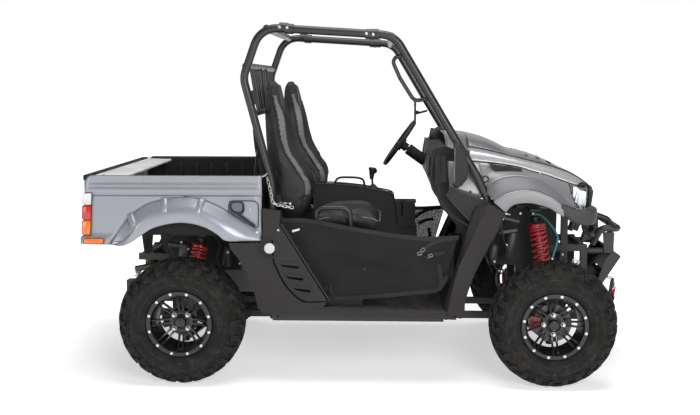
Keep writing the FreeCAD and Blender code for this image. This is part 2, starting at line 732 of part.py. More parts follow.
def quarter_panels():
    """Return both quarter panels, with vents and the fuel filler on one side."""
    y = BODY_Y
    panel = hollow_plate(quarter_outline(), -y, -y + QUARTER_DEPTH, PANEL_T, PANEL_T)
    vents = (
        # rear x, rear z, front x, front z
        (517.0, 644.0, 625.0, 634.0), (550.0, 582.0, 648.0, 572.0), (586.0, 522.0, 686.0, 510.0))
    for x0, z0, x1, z1 in vents:
        slot = plate([(rx(x0), z0 - 9), (rx(x1), z1 - 9), (rx(x1) + 6, z1 + 9),
                      (rx(x0) - 6, z0 + 9)], -y - 2, -y + 20)
        panel = panel.cut(slot)
    far = mirror(panel)
    cap_x, cap_z = rx(469), 723.0
    recess = pin_y(54, cap_x, cap_z, -y - 1, -y + 30)
    cup = pin_y(54, cap_x, cap_z, -y + 2, -y + 34).cut(pin_y(50, cap_x, cap_z, -y - 1, -y + 29))
    panel = fuse([panel.cut(recess), cup])
    cap = fuse([pin_y(34, cap_x, cap_z, -y + 6, -y + 29), pin_y(27, cap_x, cap_z, -y + 1, -y + 7)])
    return Part.makeCompound([panel, far, cap])


def sill_panels():
    """Return the sill under each door opening."""
    y = BODY_Y
    items = [(rx(745.3), 418), (fx(-560), 407), (fx(-500), 356), (rx(745.3), 371)]
    panel = hollow_plate(items, -y, -y + SILL_DEPTH, PANEL_T, PANEL_T)
    return both(panel)


def front_posts():
    """Return the post panel ahead of each door opening."""
    y = BODY_Y
    items = [(fx(-559.7), 407), (fx(-525), 539), (fx(-481), 679), (fx(-447), 817),
             (fx(-420), 891), (fx(-399), 932), (fx(-380), 952), (fx(-331), 963), (fx(-252), 938),
             (fx(-301), 817), (fx(-354), 716), (fx(-415), 586), (fx(-459), 456),
             (fx(-463), 390), (fx(-499.7), 356)]
    panel = hollow_plate(items, -y, -y + 60, PANEL_T, PANEL_T)
    liner = plate([(fx(-262), 932), (fx(-301), 817), (fx(-354), 716), (fx(-415), 586),
                   (fx(-459), 456), (fx(-463), 390), (fx(-469), 390), (fx(-465), 456),
                   (fx(-421), 588), (fx(-360), 719), (fx(-307), 820), (fx(-268), 932)],
                  -y + 60, -RAIL_Y - 60)
    return both(fuse([panel, liner]))


def floor_pan():
    """Return the cab floor with its footwell slope, seat step and rear wall."""
    half = CAB_HALF_W
    t = FLOOR_T
    profile = [
        (rx(560), FLOOR_Z), (rx(960), FLOOR_Z), (fx(-560), FLOOR_Z), (fx(-445), 560),
        (fx(-400), 760), (fx(-400 - t), 760), (fx(-445 - t), 562), (fx(-562 - t / 2), FLOOR_Z + t),
        (rx(960), FLOOR_Z + t), (rx(566), FLOOR_Z + t),
    ]
    deck = plate(profile, -half, half)
    ribs = []
    for x in range(int(rx(1000)), int(fx(-600)), 60):
        ribs.append(box(x, x + 20, -540, -100, FLOOR_Z + t - 1, FLOOR_Z + t + 5))
        ribs.append(box(x, x + 20, 100, 540, FLOOR_Z + t - 1, FLOOR_Z + t + 5))
    return fuse([deck] + ribs)


def seat_base():
    """Return the moulded step that carries the seats and covers the engine."""
    half = CAB_HALF_W
    t = FLOOR_T
    x0, x1, z1 = rx(560), rx(960), SEAT_STEP_Z
    outer = plate([(x0, FLOOR_Z + FLOOR_T), (x1 - 20, FLOOR_Z + FLOOR_T), (x1 + 20, z1 - 30),
                   (x1, z1), (rx(566), z1), (rx(518), 893), (rx(512), 893), (rx(558), z1 - t)],
                  -half, half)
    inner = plate([(x0 + 20, FLOOR_Z - 1), (x1 - 26, FLOOR_Z - 1), (x1 + 12, z1 - 31),
                   (x1 - 4, z1 - t), (rx(572), z1 - t), (rx(568), 700)], -half + t, half - t)
    return outer.cut(inner)


def seat_shapes(y, shift):
    """Return one seat's cushion and back as closed solids."""
    x = rx(shift)
    half = SEAT_W / 2
    stretch = (CAGE_TOP_Z - SEAT_HEADROOM - SEAT_WAIST_Z) / SEAT_DRAWN_H
    cushion = plate([(x + 668, SEAT_STEP_Z + 0.3), (x + 1010, SEAT_STEP_Z + 0.3), (x + 1052, 800), (x + 1050, 868),
                     (x + 1020, 896), (x + 860, 884), (x + 690, 868), (x + 662, 830)],
                    y - half + 66, y + half - 66)
    bolsters = []
    for s in (-1, 1):
        wing = plate([(x + 668, SEAT_STEP_Z + 0.3), (x + 1000, SEAT_STEP_Z + 0.3), (x + 1030, 800), (x + 1034, 880),
                      (x + 1000, 915), (x + 860, 912), (x + 690, 896), (x + 662, 830)],
                     y + s * (half - 66), y + s * half)
        bolsters.append(wing)
    base = fuse([cushion] + bolsters)
    profile = [(x + 437, 1589), (x + 424, 1529), (x + 423, 1401), (x + 434, 1272),
               (x + 450, 1098), (x + 512, 900), (x + 590, 832), (x + 661.7, 828),
               (x + 655, 900), (x + 645, 933),
               (x + 612, 1056), (x + 570, 1125), (x + 534, 1222), (x + 515, 1367),
               (x + 492, 1452), (x + 480, 1529), (x + 470, 1589)]
    side = [(x + 437, 1589), (x + 424, 1529), (x + 423, 1401), (x + 434, 1272),
            (x + 450, 1098), (x + 512, 900), (x + 590, 832), (x + 661.7, 828),
            (x + 661.7, 940), (x + 658, 1012),
            (x + 650, 1056), (x + 607, 1125), (x + 555, 1203), (x + 534, 1272),
            (x + 519, 1367), (x + 496, 1452), (x + 480, 1529), (x + 472, 1589)]
    profile = [(px, pz + max(0.0, pz - SEAT_WAIST_Z) * (stretch - 1)) for px, pz in profile]
    back = plate(profile, y - half, y + half)
    side = [(px, pz + max(0.0, pz - SEAT_WAIST_Z) * (stretch - 1)) for px, pz in side]
    for s in (-1, 1):
        back = back.fuse(plate(side, y + s * (half - 80), y + s * half))
    shape = front_view([(y - half, 820), (y + half, 820), (y + half, 1180), (y + half - 40, 1380),
                        (y + half - 95, 1470), (y + half - 100, 1560), (y + half - 130, 1600),
                        (y - half + 130, 1600), (y - half + 100, 1560), (y - half + 95, 1470),
                        (y - half + 40, 1380), (y - half, 1180)], x + 300, x + 800)
    return base, back.common(shape).removeSplitter()


def hip_bars():
    """Return the side restraint bar beside each seat."""
    y = HIP_BAR_Y
    bar_path = [v(rx(700), y, SEAT_STEP_Z - 3), v(rx(703), y, 905), v(rx(735), y, 921), v(rx(842), y, 921),
                v(rx(878), y, 905), v(rx(884), y, SEAT_STEP_Z - 3)]
    return both(tube(bar_path, 12, 28))


def console():
    """Return the console between the seats, its lever and the tray ahead of it."""
    half = CONSOLE_W / 2
    body = plate([(rx(650), 773), (rx(647), 990), (rx(780), 986), (rx(925), 973), (rx(1016), 955),
                  (rx(1098), 937), (rx(1112), 892), (rx(1136), 708),
                  (rx(1136), FLOOR_Z + FLOOR_T + 6), (rx(990), FLOOR_Z + FLOOR_T + 6),
                  (rx(990), 773)], -half, half)
    lever = tube([v(rx(990), 20, 960), v(rx(984), 20, 1010), v(rx(994), 20, 1052)], 6, 60)
    knob = Part.makeSphere(17, v(rx(996), 20, 1062))
    boot = Part.makeCone(34, 12, 26, v(rx(990), 20, 958), Z)
    bin_x = fx(-813)
    tray = box(bin_x, fx(-699), -half, half, 754, 892)
    cups = [rod(32, v(bin_x + 40, s * 34 - 0.5, 800), v(bin_x + 40, s * 34 - 0.5, 900))
            for s in (-1, 1)]
    tunnel = box(rx(1130), fx(-560), -half, half, FLOOR_Z + FLOOR_T + 6, 560)
    neck = box(rx(1130), fx(-690), -half + 8, half - 8, 540, 760)
    return fuse([body, lever, knob, boot, cut(tray, cups), tunnel, neck])


def dashboard():
    """Return the full-width dashboard with instrument pod and glove box."""
    half = CAGE_Y - CAGE_TUBE_R - 58.4
    shell = plate([(fx(-625), 1222), (fx(-638), 1072), (fx(-626), 1022), (fx(-600), 985),
                   (fx(-580), 926), (fx(-478), 806), (fx(-440), 806), (fx(-440), 1130),
                   (fx(-470), 1206), (fx(-560), 1240)], -half, half)
    hollow = plate([(fx(-560), 1180), (fx(-590), 1060), (fx(-540), 940), (fx(-470), 830),
                    (fx(-430), 830), (fx(-430), 1110)], -half + 8, half - 8)
    pod = plate([(fx(-583), 1256), (fx(-592), 1220), (fx(-470), 1190), (fx(-480), 1268),
                 (fx(-560), 1292, fx(-575), 1280)], DRIVER_Y - 150, DRIVER_Y + 150)
    glove = box(fx(-650), fx(-628), -480, -180, 1060, 1180)
    glove = glove.common(plate([(fx(-636), 1200), (fx(-646), 1075), (fx(-600), 1050),
                                (fx(-600), 1200)], -500, -160))
    bezel = rod(52, v(fx(-606), DRIVER_Y, 1246), v(fx(-540), DRIVER_Y, 1236))
    return fuse([shell.cut(hollow), pod, glove, bezel])


def pedals():
    """Return the two pedals and their arms."""
    pieces = []
    for y, width in ((DRIVER_Y - 70, 90.0), (DRIVER_Y + 90, 60.0)):
        arm = bar(v(fx(-450), y, 812), v(fx(-560), y, 560), 16, 16)
        pad = bar(v(fx(-578), y, 590), v(fx(-548), y, 520), width, 12)
        pieces.append(fuse([arm, pad]))
    return Part.makeCompound(pieces)


def side_nets():
    """Return the net across each door opening as a thin closed solid."""
    top = [(rx(500), 884), (rx(629), 876), (rx(761), 852), (rx(892), 828), (rx(1023), 804),
           (rx(1137), 790), (fx(-662), 778), (fx(-478), 790)]
    low = [(fx(-530), 552), (fx(-585), 491), (rx(1126), 450), (rx(826), 437), (rx(768), 453),
           (rx(528), 836)]
    y = BODY_Y - QUARTER_DEPTH - 0.3
    return both(plate(top + low, -y, -y + NET_T))


def mirrors():
    """Return the two unlike mirrors: a shell on the right, a plate on the left."""
    x, y = fx(-495), CAGE_Y + 40
    shell = plan([(x - 30, -y - 2), (x + 36, -y - 12), (x + 40, -y - 120), (x + 4, -y - 165),
                  (x - 30, -y - 165)], 1046, 1278)
    shell = shell.common(front_view([(-y, 1060), (-y - 20, 1046), (-y - 140, 1050),
                                     (-y - 165, 1080), (-y - 165, 1240), (-y - 140, 1275),
                                     (-y - 20, 1278), (-y, 1262)], x - 60, x + 60))
    arm = rod(9, v(leg_x(1225) - 3, -CAGE_Y - 4, 1225), v(x + 4, -y - 20, 1190))
    glass = plate([(fx(-693), 1297), (fx(-681), 1297), (fx(-677), 1463), (fx(-689), 1463)],
                  y + 15, y + 165)
    stalk = rod(8, v(leg_x(1400) - 12, CAGE_Y + 4, 1400), v(fx(-680), y + 60, 1380))
    ball = Part.makeSphere(15, v(fx(-672), y + 60, 1380))
    return Part.makeCompound([fuse([shell, arm]), fuse([glass, stalk, ball])])


def steering_column():
    """Return the column's jacket, up to the steering wheel's shaft."""
    hub = v(fx(STEERING_WHEEL_X), DRIVER_Y, STEERING_WHEEL_Z)
    axis = v(COLUMN_AXIS.x, COLUMN_AXIS.y, COLUMN_AXIS.z).normalize()
    jacket = rod(34, hub + axis * 62, hub + axis * 190)
    bore = rod(12.5, hub, hub + axis * 110)
    return jacket.cut(bore)


def steering_wheel():
    """Return the steering wheel with its hub, three spokes and short shaft."""
    hub = v(fx(STEERING_WHEEL_X), DRIVER_Y, STEERING_WHEEL_Z)
    axis = v(COLUMN_AXIS.x, COLUMN_AXIS.y, COLUMN_AXIS.z).normalize()
    across = Y
    upward = axis.cross(across)
    pieces = [
        Part.makeTorus(STEERING_RIM_R, STEERING_RIM_TUBE_R, hub, axis),
        rod(40, hub - axis * 4, hub + axis * 26),
        rod(26, hub + axis * 24, hub + axis * 56),
        rod(12, hub + axis * 20, hub + axis * 108),
    ]
    for deg in (0, 180, 270):
        away = across * math.cos(math.radians(deg)) + upward * math.sin(math.radians(deg))
        pieces.append(bar(hub + axis * 14 + away * 30, hub + away * (STEERING_RIM_R - 2),
                          26, 9))
    return fuse(pieces)


def steering_rack():
    """Return the rack bar and both tie rods, down to the ball ends."""
    x = fx(-STEER_ARM)
    pieces = [rod(RACK_R, v(x, -165, RACK_Z), v(x, 165, RACK_Z))]
    for s in (-1, 1):
        pieces.append(rod(TIE_ROD_R, v(x, s * 140, RACK_Z), v(x, s * KINGPIN_Y, RACK_Z)))
        pieces.append(rod(14, v(x, s * KINGPIN_Y, RACK_Z - 12), v(x, s * KINGPIN_Y, RACK_Z + 8)))
    return fuse(pieces)


# --------------------------------------------------------------- front body
def hood_rings(drop):
    """Return the hood's cross sections, each lowered by drop and closed below."""
    stations = (
        # x from axle, crown z, shoulder z, crease y, crease z, edge y, edge z
        (-431, 1286.0, 1274.0, 440.0, 1231.0, 520.0, 1172.0),
        (-291, 1248.0, 1238.0, 434.0, 1202.0, 518.0, 1151.0),
        (-165, 1192.0, 1188.0, 426.0, 1171.0, 515.0, 1132.0),
        (-45, 1166.0, 1162.0, 410.0, 1141.0, 505.0, 1097.0),
        (85, 1110.0, 1107.0, 380.0, 1088.0, 470.0, 1052.0),
        (175, 1066.0, 1062.0, 330.0, 1045.0, 400.0, 1034.0),
        (272, 1002.0, 999.0, 230.0, 992.0, 262.0, 986.0),
    )
    rings = []
    for x, crown, shoulder, crease_y, crease_z, edge_y, edge_z in stations:
        upper = [(edge_y, edge_z), (crease_y, crease_z), (210.0, shoulder), (0.0, crown),
                 (-210.0, shoulder), (-crease_y, crease_z), (-edge_y, edge_z)]
        if drop:
            ring = [(y * (1 - drop / 600), z - drop) for y, z in upper]
            floor_z = edge_z - 200
        else:
            ring = upper
            floor_z = edge_z - 5
        ring += [(ring[-1][0], floor_z), (ring[0][0], floor_z)]
        rings.append([v(fx(x), y, z) for y, z in ring])
    return rings


def hood():
    """Return the hood panel with its centre bulge, turned edges and hinge ears."""
    outer = loft(hood_rings(0))
    inner = loft(hood_rings(PANEL_T))
    skin = outer.cut(inner)
    hinge_x, hinge_z = fx(HOOD_HINGE_X), HOOD_HINGE_Z
    ears = []
    for s in (-1, 1):
        ears.append(plate([(hinge_x, hinge_z - 8, hinge_x + 8, hinge_z),
                           (hinge_x + 40, hinge_z + 2), (hinge_x + 34, hinge_z + 8),
                           (hinge_x - 8, hinge_z + 8), (hinge_x - 8, hinge_z)],
                          s * HOOD_HINGE_Y - 5, s * HOOD_HINGE_Y + 5))
        ears.append(pin_y(HOOD_PIN_R, hinge_x, hinge_z, s * HOOD_HINGE_Y - 5,
                          s * (HOOD_HINGE_Y + 14)))
    return fuse([skin] + ears)


def fender_rings(drop):
    """Return one front fender's sections from its rear end to the headlight."""
    stations = (
        # x from axle, top y, top z, shoulder y, shoulder z, brow y, brow z, lip z
        (-325, 527.0, 1154.0, 622.0, 1040.0, 690.0, 972.0, 945.0),
        (-245, 524.0, 1144.0, 622.0, 1086.0, 692.0, 1012.0, 948.0),
        (-165, 522.0, 1129.0, 622.0, 1091.0, 694.0, 1028.0, 966.0),
        (-85, 514.0, 1103.0, 622.0, 1074.0, 694.0, 1020.0, 955.0),
        (-15, 506.0, 1080.0, 620.0, 1038.0, 692.0, 986.0, 925.0),
        (55, 488.0, 1056.0, 618.0, 978.0, 688.0, 940.0, 890.0),
        (79, 482.0, 1048.0, 616.0, 948.0, 684.0, 926.0, 872.0),
    )
    rings = []
    for x, top_y, top_z, mid_y, mid_z, brow_y, brow_z, lip_z in stations:
        outer = [(top_y, top_z), (mid_y, mid_z), (brow_y, brow_z), (brow_y + 8, lip_z)]
        inner = [(y - drop, z - drop * 0.7) for y, z in reversed(outer)]
        inner[0] = (outer[-1][0] - drop, lip_z)
        rings.append([v(fx(x), y, z) for y, z in outer + inner])
    return rings


def front_fenders():
    """Return both front fenders."""
    return both(loft(fender_rings(PANEL_T)))


def front_cowl():
    """Return the cowl between the dashboard and the hood, with its side cheeks."""
    half = CAGE_Y - CAGE_TUBE_R - 52
    front = -431 - HOOD_SEAM
    top = plate([(fx(-559), 1241), (fx(-469), 1207), (fx(front - 6), 1170), (fx(front), 1170),
                 (fx(front), 1248), (fx(front - 32), 1292), (fx(-560), 1292)], -half, half)
    crown = front_view([(-half, 1150), (half, 1150), (half, 1172), (440, 1233), (210, 1276),
                        (0, 1288), (-210, 1276), (-440, 1233), (-half, 1172)],
                       fx(-562), fx(-430))
    cheek = plate([(fx(-557), 1050), (fx(-439), 1004), (fx(-394), 965), (fx(-341), 965),
                   (fx(-341), 1036), (fx(-400), 1120), (fx(front), 1200), (fx(-469), 1207),
                   (fx(-559), 1172)], half - 6, half)
    x, z = fx(HOOD_HINGE_X), HOOD_HINGE_Z
    lugs = []
    for s in (-1, 1):
        lug = plate([(x - 9, z), (fx(front - 4), z - 20), (fx(front - 4), z - 46),
                     (x + 4, z - 12), (x + 9, z), (x, z + 9, x - 9, z)],
                    s * (HOOD_HINGE_Y + 5.4), s * (HOOD_HINGE_Y + 14))
        lugs.append(lug.cut(pin_y(HOOD_PIN_R + PIN_GAP, x, z, -400, 400)))
    return fuse([top.common(crown), cheek, mirror(cheek)] + lugs)


def headlights():
    """Return both headlight units, wrapped round the hood's front corners."""
    side = plate([(fx(85), 1041), (fx(132), 1026), (fx(196), 1014), (fx(184), 968),
                  (fx(168), 921), (fx(143), 910), (fx(121), 921), (fx(104), 981)], -480, -236)
    corner = plan([(fx(84), -480), (fx(130), -480), (fx(186), -395), (fx(240), -290),
                   (fx(240), -236), (fx(84), -236)], 890, 1070)
    lamp = side.common(corner)
    wedge = plan([(fx(150), -395), (fx(245), -395), (fx(245), -236), (fx(150), -236)], 890, 1070)
    nose = plate([(fx(184), 1014), (fx(243), 986), (fx(226), 940), (fx(204), 908),
                  (fx(168), 914)], -395, -236).common(wedge).common(corner)
    return both(fuse([lamp, nose]))


def front_grille():
    """Return the nose panel between the headlights, with slots through it."""
    half = 235.7
    nose = plate([(fx(196), 1008), (fx(252), 978), (fx(270), 962), (fx(262), 905), (fx(230), 838),
                  (fx(190), 838), (fx(196), 905)], -half, half)
    back = plate([(fx(186), 1005), (fx(250), 978), (fx(264), 962), (fx(254), 908), (fx(224), 846),
                  (fx(180), 830), (fx(180), 905)], -half + 6, half - 6)
    shell = nose.cut(back)
    slots = []
    for row in range(3):
        z = 884 + row * 30
        for s in (-1, 1):
            slots.append(box(fx(225), fx(300), s * 14, s * 206, z, z + 16))
    return cut(shell, slots)


def front_valance():
    """Return the lower front corners with their round lamp recess."""
    side = plate([(fx(119), 846), (fx(131), 809), (fx(154), 776), (fx(183), 758), (fx(227), 875),
                  (fx(215), 908), (fx(119), 906)], -600, -236)
    corner = plan([(fx(110), -600), (fx(160), -600), (fx(212), -500), (fx(232), -380),
                   (fx(232), -236), (fx(110), -236)], 740, 920)
    solid = side.common(corner)
    pocket = plate([(fx(100), 840), (fx(126), 806), (fx(150), 770), (fx(160), 740), (fx(176), 764),
                    (fx(218), 872), (fx(209), 902), (fx(100), 902)], -594, -230)
    corner_in = plan([(fx(90), -594), (fx(157), -594), (fx(206), -498), (fx(226), -380),
                      (fx(226), -230), (fx(90), -230)], 730, 930)
    shell = solid.cut(pocket.common(corner_in))
    brow = plate([(fx(79), 908), (fx(180), 908), (fx(176), 903), (fx(79), 903)], -684, -236)
    sweep = plan([(fx(79.3), -690), (fx(108), -660), (fx(150), -590), (fx(200), -470),
                  (fx(226), -380), (fx(226), -236), (fx(79.3), -236)], 880, 930)
    return both(fuse([shell, brow.common(sweep)]))


def brush_guard():
    """Return the front guard: bent tubes, flat uprights and the skid plate."""
    tubes = []
    half = 290.0
    tubes.append(tube([v(fx(268), half - 30, 690), v(fx(310), half, 783), v(fx(404), half, 776),
                       v(fx(404), -half, 776), v(fx(310), -half, 783),
                       v(fx(268), -half + 30, 690)], 19, 50))
    for s in (-1, 1):
        tubes.append(tube([v(fx(226), s * 200, UPPER_RAIL_Z + 40), v(fx(277), s * 200, 849),
                           v(fx(372), s * 200, 812), v(fx(384), s * 200, 640)], 17, 40))
        upright = plate([(fx(330), 750), (fx(394), 747), (fx(390), 633), (fx(341), 633)],
                        s * 232 - 4, s * 232 + 4)
        tubes.append(upright)
        tubes.append(rod(17, v(fx(253), s * 200, 640), v(fx(372), s * 200, 640)))
    skid = plate([(fx(383), 637), (fx(423), 615), (fx(327), 465), (fx(253), 268), (fx(253), 252),
                  (fx(258), 252), (fx(264), 262), (fx(334), 458), (fx(432), 612),
                  (fx(426), 622), (fx(388), 644)], -236, 236)
    ribs = []
    for y in (-239, 239):
        ribs.append(plate([(fx(383), 640), (fx(426), 615), (fx(330), 462), (fx(300), 462),
                           (fx(350), 600)], y - 3, y + 3))
    slot = box(fx(300), fx(450), -70, 70, WINCH_Z - 22, WINCH_Z + 18)
    lead = box(fx(348), fx(420), -105.3, 105.3, WINCH_Z - 34.3, WINCH_Z + 30.3)
    return cut(fuse(tubes + [skid] + ribs), [slot, lead])


def winch():
    """Return the winch: motor, gear end, drum, base plate and roller fairlead."""
    x, z = fx(296), WINCH_Z
    base = box(fx(253.3), x + 14, -208, 208, z - 50, z - 42)
    feet = [box(x - 30, x + 14, s * 70, s * 120, z - 44, z) for s in (-1, 1)]
    return fuse([pin_y(40, x, z, -150, -62), pin_y(40, x, z, 62, 130), pin_y(26, x, z, -64, 64),
                 base] + feet)


def fairlead():
    """Return the roller fairlead on the skid plate, with its back plate."""
    x = fx(362)
    plate_x = x - 8
    back = box(plate_x - 6, plate_x, -105, 105, WINCH_Z - 34, WINCH_Z + 30)
    ends = [box(plate_x - 2, x + 26, s * 78, s * 84, WINCH_Z - 24, WINCH_Z + 20) for s in (-1, 1)]
    rollers = [pin_y(9, x + 12, z, -80, 80) for z in (WINCH_Z - 15, WINCH_Z + 11)]
    return fuse([back] + ends + rollers)


def winch_hook():
    """Return the short line, the pull strap and the hook at the fairlead."""
    line = rod(3, v(fx(340), 0, WINCH_Z - 2), v(fx(443), 0, 446))
    strap = plate([(fx(438), 452), (fx(450), 446), (fx(436), 352), (fx(424), 356)], -16, 16)
    hook = Part.makeTorus(24, 8, v(fx(427), 0, 332), Y)
    return fuse([line, strap, hook])


# --------------------------------------------------------------- cargo bed
def bed_side_outline():
    """Return the outline of one bed side, with its wheel arch."""
    return [(rx(-445), BED_TOP_Z), (rx(432), BED_TOP_Z - 7), (rx(425), 766), (rx(255), 760),
            (rx(14), 858, rx(-240), 748), (rx(-384), 740), (rx(-511), 745), (rx(-507), 782),
            (rx(-488), 901), (rx(-476), 1010), (rx(-452), 1057)]


def bed_sides():
    """Return both bed sides: skin, flared wheel brow, its ribs and the grooves."""
    y = BODY_Y
    skin = hollow_plate(bed_side_outline(), -y, -y + 45, PANEL_T, PANEL_T)
    base = [(rx(-240), 752), (rx(14), 860, rx(262), 764), (rx(396), 800), (rx(319), 869),
            (rx(160), 966, rx(12), 986), (rx(-140), 966, rx(-276), 856), (rx(-340), 760)]
    ridge = [(rx(-228), 770), (rx(14), 874, rx(250), 780), (rx(330), 800), (rx(284), 838),
             (rx(150), 918, rx(12), 934), (rx(-116), 920, rx(-232), 838), (rx(-290), 772)]
    wires = [outline(base, -y + 1), outline(ridge, -y - 22)]
    brow = Part.makeLoft(wires, True, True)
    hollow = [outline(base, -y + 7), outline(ridge, -y - 16)]
    brow = brow.cut(Part.makeLoft(hollow, True, True))
    ribs = []
    for deg in (62, 95, 124):
        turn = math.radians(deg)
        middle = v(rx(-8), -y - 12, 560)
        start = middle + v(math.cos(turn) * 322, -4, math.sin(turn) * 322)
        end = middle + v(math.cos(turn) * 398, 10, math.sin(turn) * 398)
        ribs.append(bar(start, end, 22, 12))
    for z in (1036, 1057):
        skin = skin.cut(box(rx(-436), rx(404), -y - 1, -y + 2, z - 3, z + 3))
    latch = plate([(rx(266), 962), (rx(263), 915), (rx(401), 833), (rx(411), 844),
                   (rx(412), 947), (rx(392), 965)], -y - 1, -y + 3)
    skin = skin.cut(latch)
    shape = fuse([skin, brow] + ribs)
    return both(cut(shape, [tail_lamp(), bed_arch_space()]))


def bed_arch_space():
    """Return the space under the wheel arch, for trimming what hangs in it."""
    return plate([(rx(255), 759.8), (rx(14), 857.8, rx(-240), 747.8), (rx(-240), 700),
                  (rx(255), 700)], -BODY_Y - 40, -BODY_Y + 60)


def tail_lamp():
    """Return the upright lamp that wraps the bed's rear corner."""
    return plate([(rx(-507.5), 782), (rx(-488.5), 901), (rx(-476.5), 1008), (rx(-462), 1008),
                  (rx(-466), 782)], -BODY_Y + 0.5, -BODY_Y + 52)


def tail_lamps():
    """Return both tail lamps and the amber markers on the bed's sides."""
    lamp = tail_lamp()
    marker = plate([(rx(-487), 746), (rx(-385), 742), (rx(-385), 766), (rx(-484), 768)],
                   -BODY_Y - 4, -BODY_Y)
    return Part.makeCompound([lamp, mirror(lamp), marker, mirror(marker)])


def bed_tub():
    """Return the bed's tub with its rolled top, under-frame and pivot ears."""
    half, t = 640.0, BED_WALL
    front, rear = rx(420), rx(-424)
    top = BED_TOP_Z - 12.5
    floor = box(rear, front, -half, half, BED_FLOOR_Z - t, BED_FLOOR_Z)
    pieces = [floor, box(front - t, front, -half, half, BED_FLOOR_Z, top),
              box(front - t, front + 5, -half, half, top - t, top)]
    for s in (-1, 1):
        wall = plate([(rx(-462), BED_FLOOR_Z - 30), (rx(-430), BED_FLOOR_Z - 30),
                      (rx(-400), BED_FLOOR_Z - t), (front, BED_FLOOR_Z - t), (front, top),
                      (rx(-440), top), (rx(-462), 1010)], s * (half - t), s * half)
        pin = pin_y(TAILGATE_PIN_R + PIN_GAP, rx(TAILGATE_X), TAILGATE_PIN_Z,
                    s * (half - 20), s * (half + 20))
        pieces.append(wall.cut(pin))
        pieces.append(box(rx(-436), front, s * half, s * (BODY_Y - PANEL_T - 1), top - t, top))
        ear_y = s * (RAIL_Y + RAIL / 2 + 0.5)
        pivot_x = rx(BED_PIVOT_X)
        ear = plate([(pivot_x, BED_PIVOT_Z - 22, pivot_x + 22, BED_PIVOT_Z),
                     (pivot_x + 40, BED_FLOOR_Z - t), (pivot_x - 40, BED_FLOOR_Z - t),
                     (pivot_x - 22, BED_PIVOT_Z)], ear_y, ear_y + s * 12)
        pieces.append(ear)
        pieces.append(pin_y(BED_PIN_R, pivot_x, BED_PIVOT_Z, s * (RAIL_Y + RAIL / 2 - 11),
                            ear_y + s * 12))
        pieces.append(box(rear, front - 20, ear_y, ear_y + s * 40, BED_FLOOR_Z - t - 20,
                          BED_FLOOR_Z - t))
        pieces.append(box(rear + 20, front - 40, s * 560, s * 600, BED_FLOOR_Z - t - 20,
                          BED_FLOOR_Z - t))
    for x in (rx(-400), rx(-190), rx(180), rx(380)):
        pieces.append(box(x - 15, x + 15, -600, 600, BED_FLOOR_Z - t - 20, BED_FLOOR_Z - t))
    for count in range(13):
        y = -540 + 90 * count
        pieces.append(box(rear + 30, front - 40, y - 20, y + 20, BED_FLOOR_Z, BED_FLOOR_Z + 6))
    return fuse(pieces)


def tailgate():
    """Return the tailgate with its pressed panels and hinge pins."""
    half = 640.0 - BED_WALL - MOVE_GAP
    x, z = rx(TAILGATE_X), TAILGATE_PIN_Z
    h = TAILGATE_T / 2
    top = BED_TOP_Z - TAILGATE_DROP
    gate = plate([(x, z - h, x + h, z), (x + h, top), (x - h, top), (x - h, z)], -half, half)
    for s in (-1, 0, 1):
        pocket = box(x - h - 1, x - h + 10, s * 400 - 170, s * 400 + 170, z + 50, top - 55)
        gate = gate.cut(pocket)
    pins = [pin_y(TAILGATE_PIN_R, x, z, s * (half - 4), s * 645) for s in (-1, 1)]
    return fuse([gate] + pins)


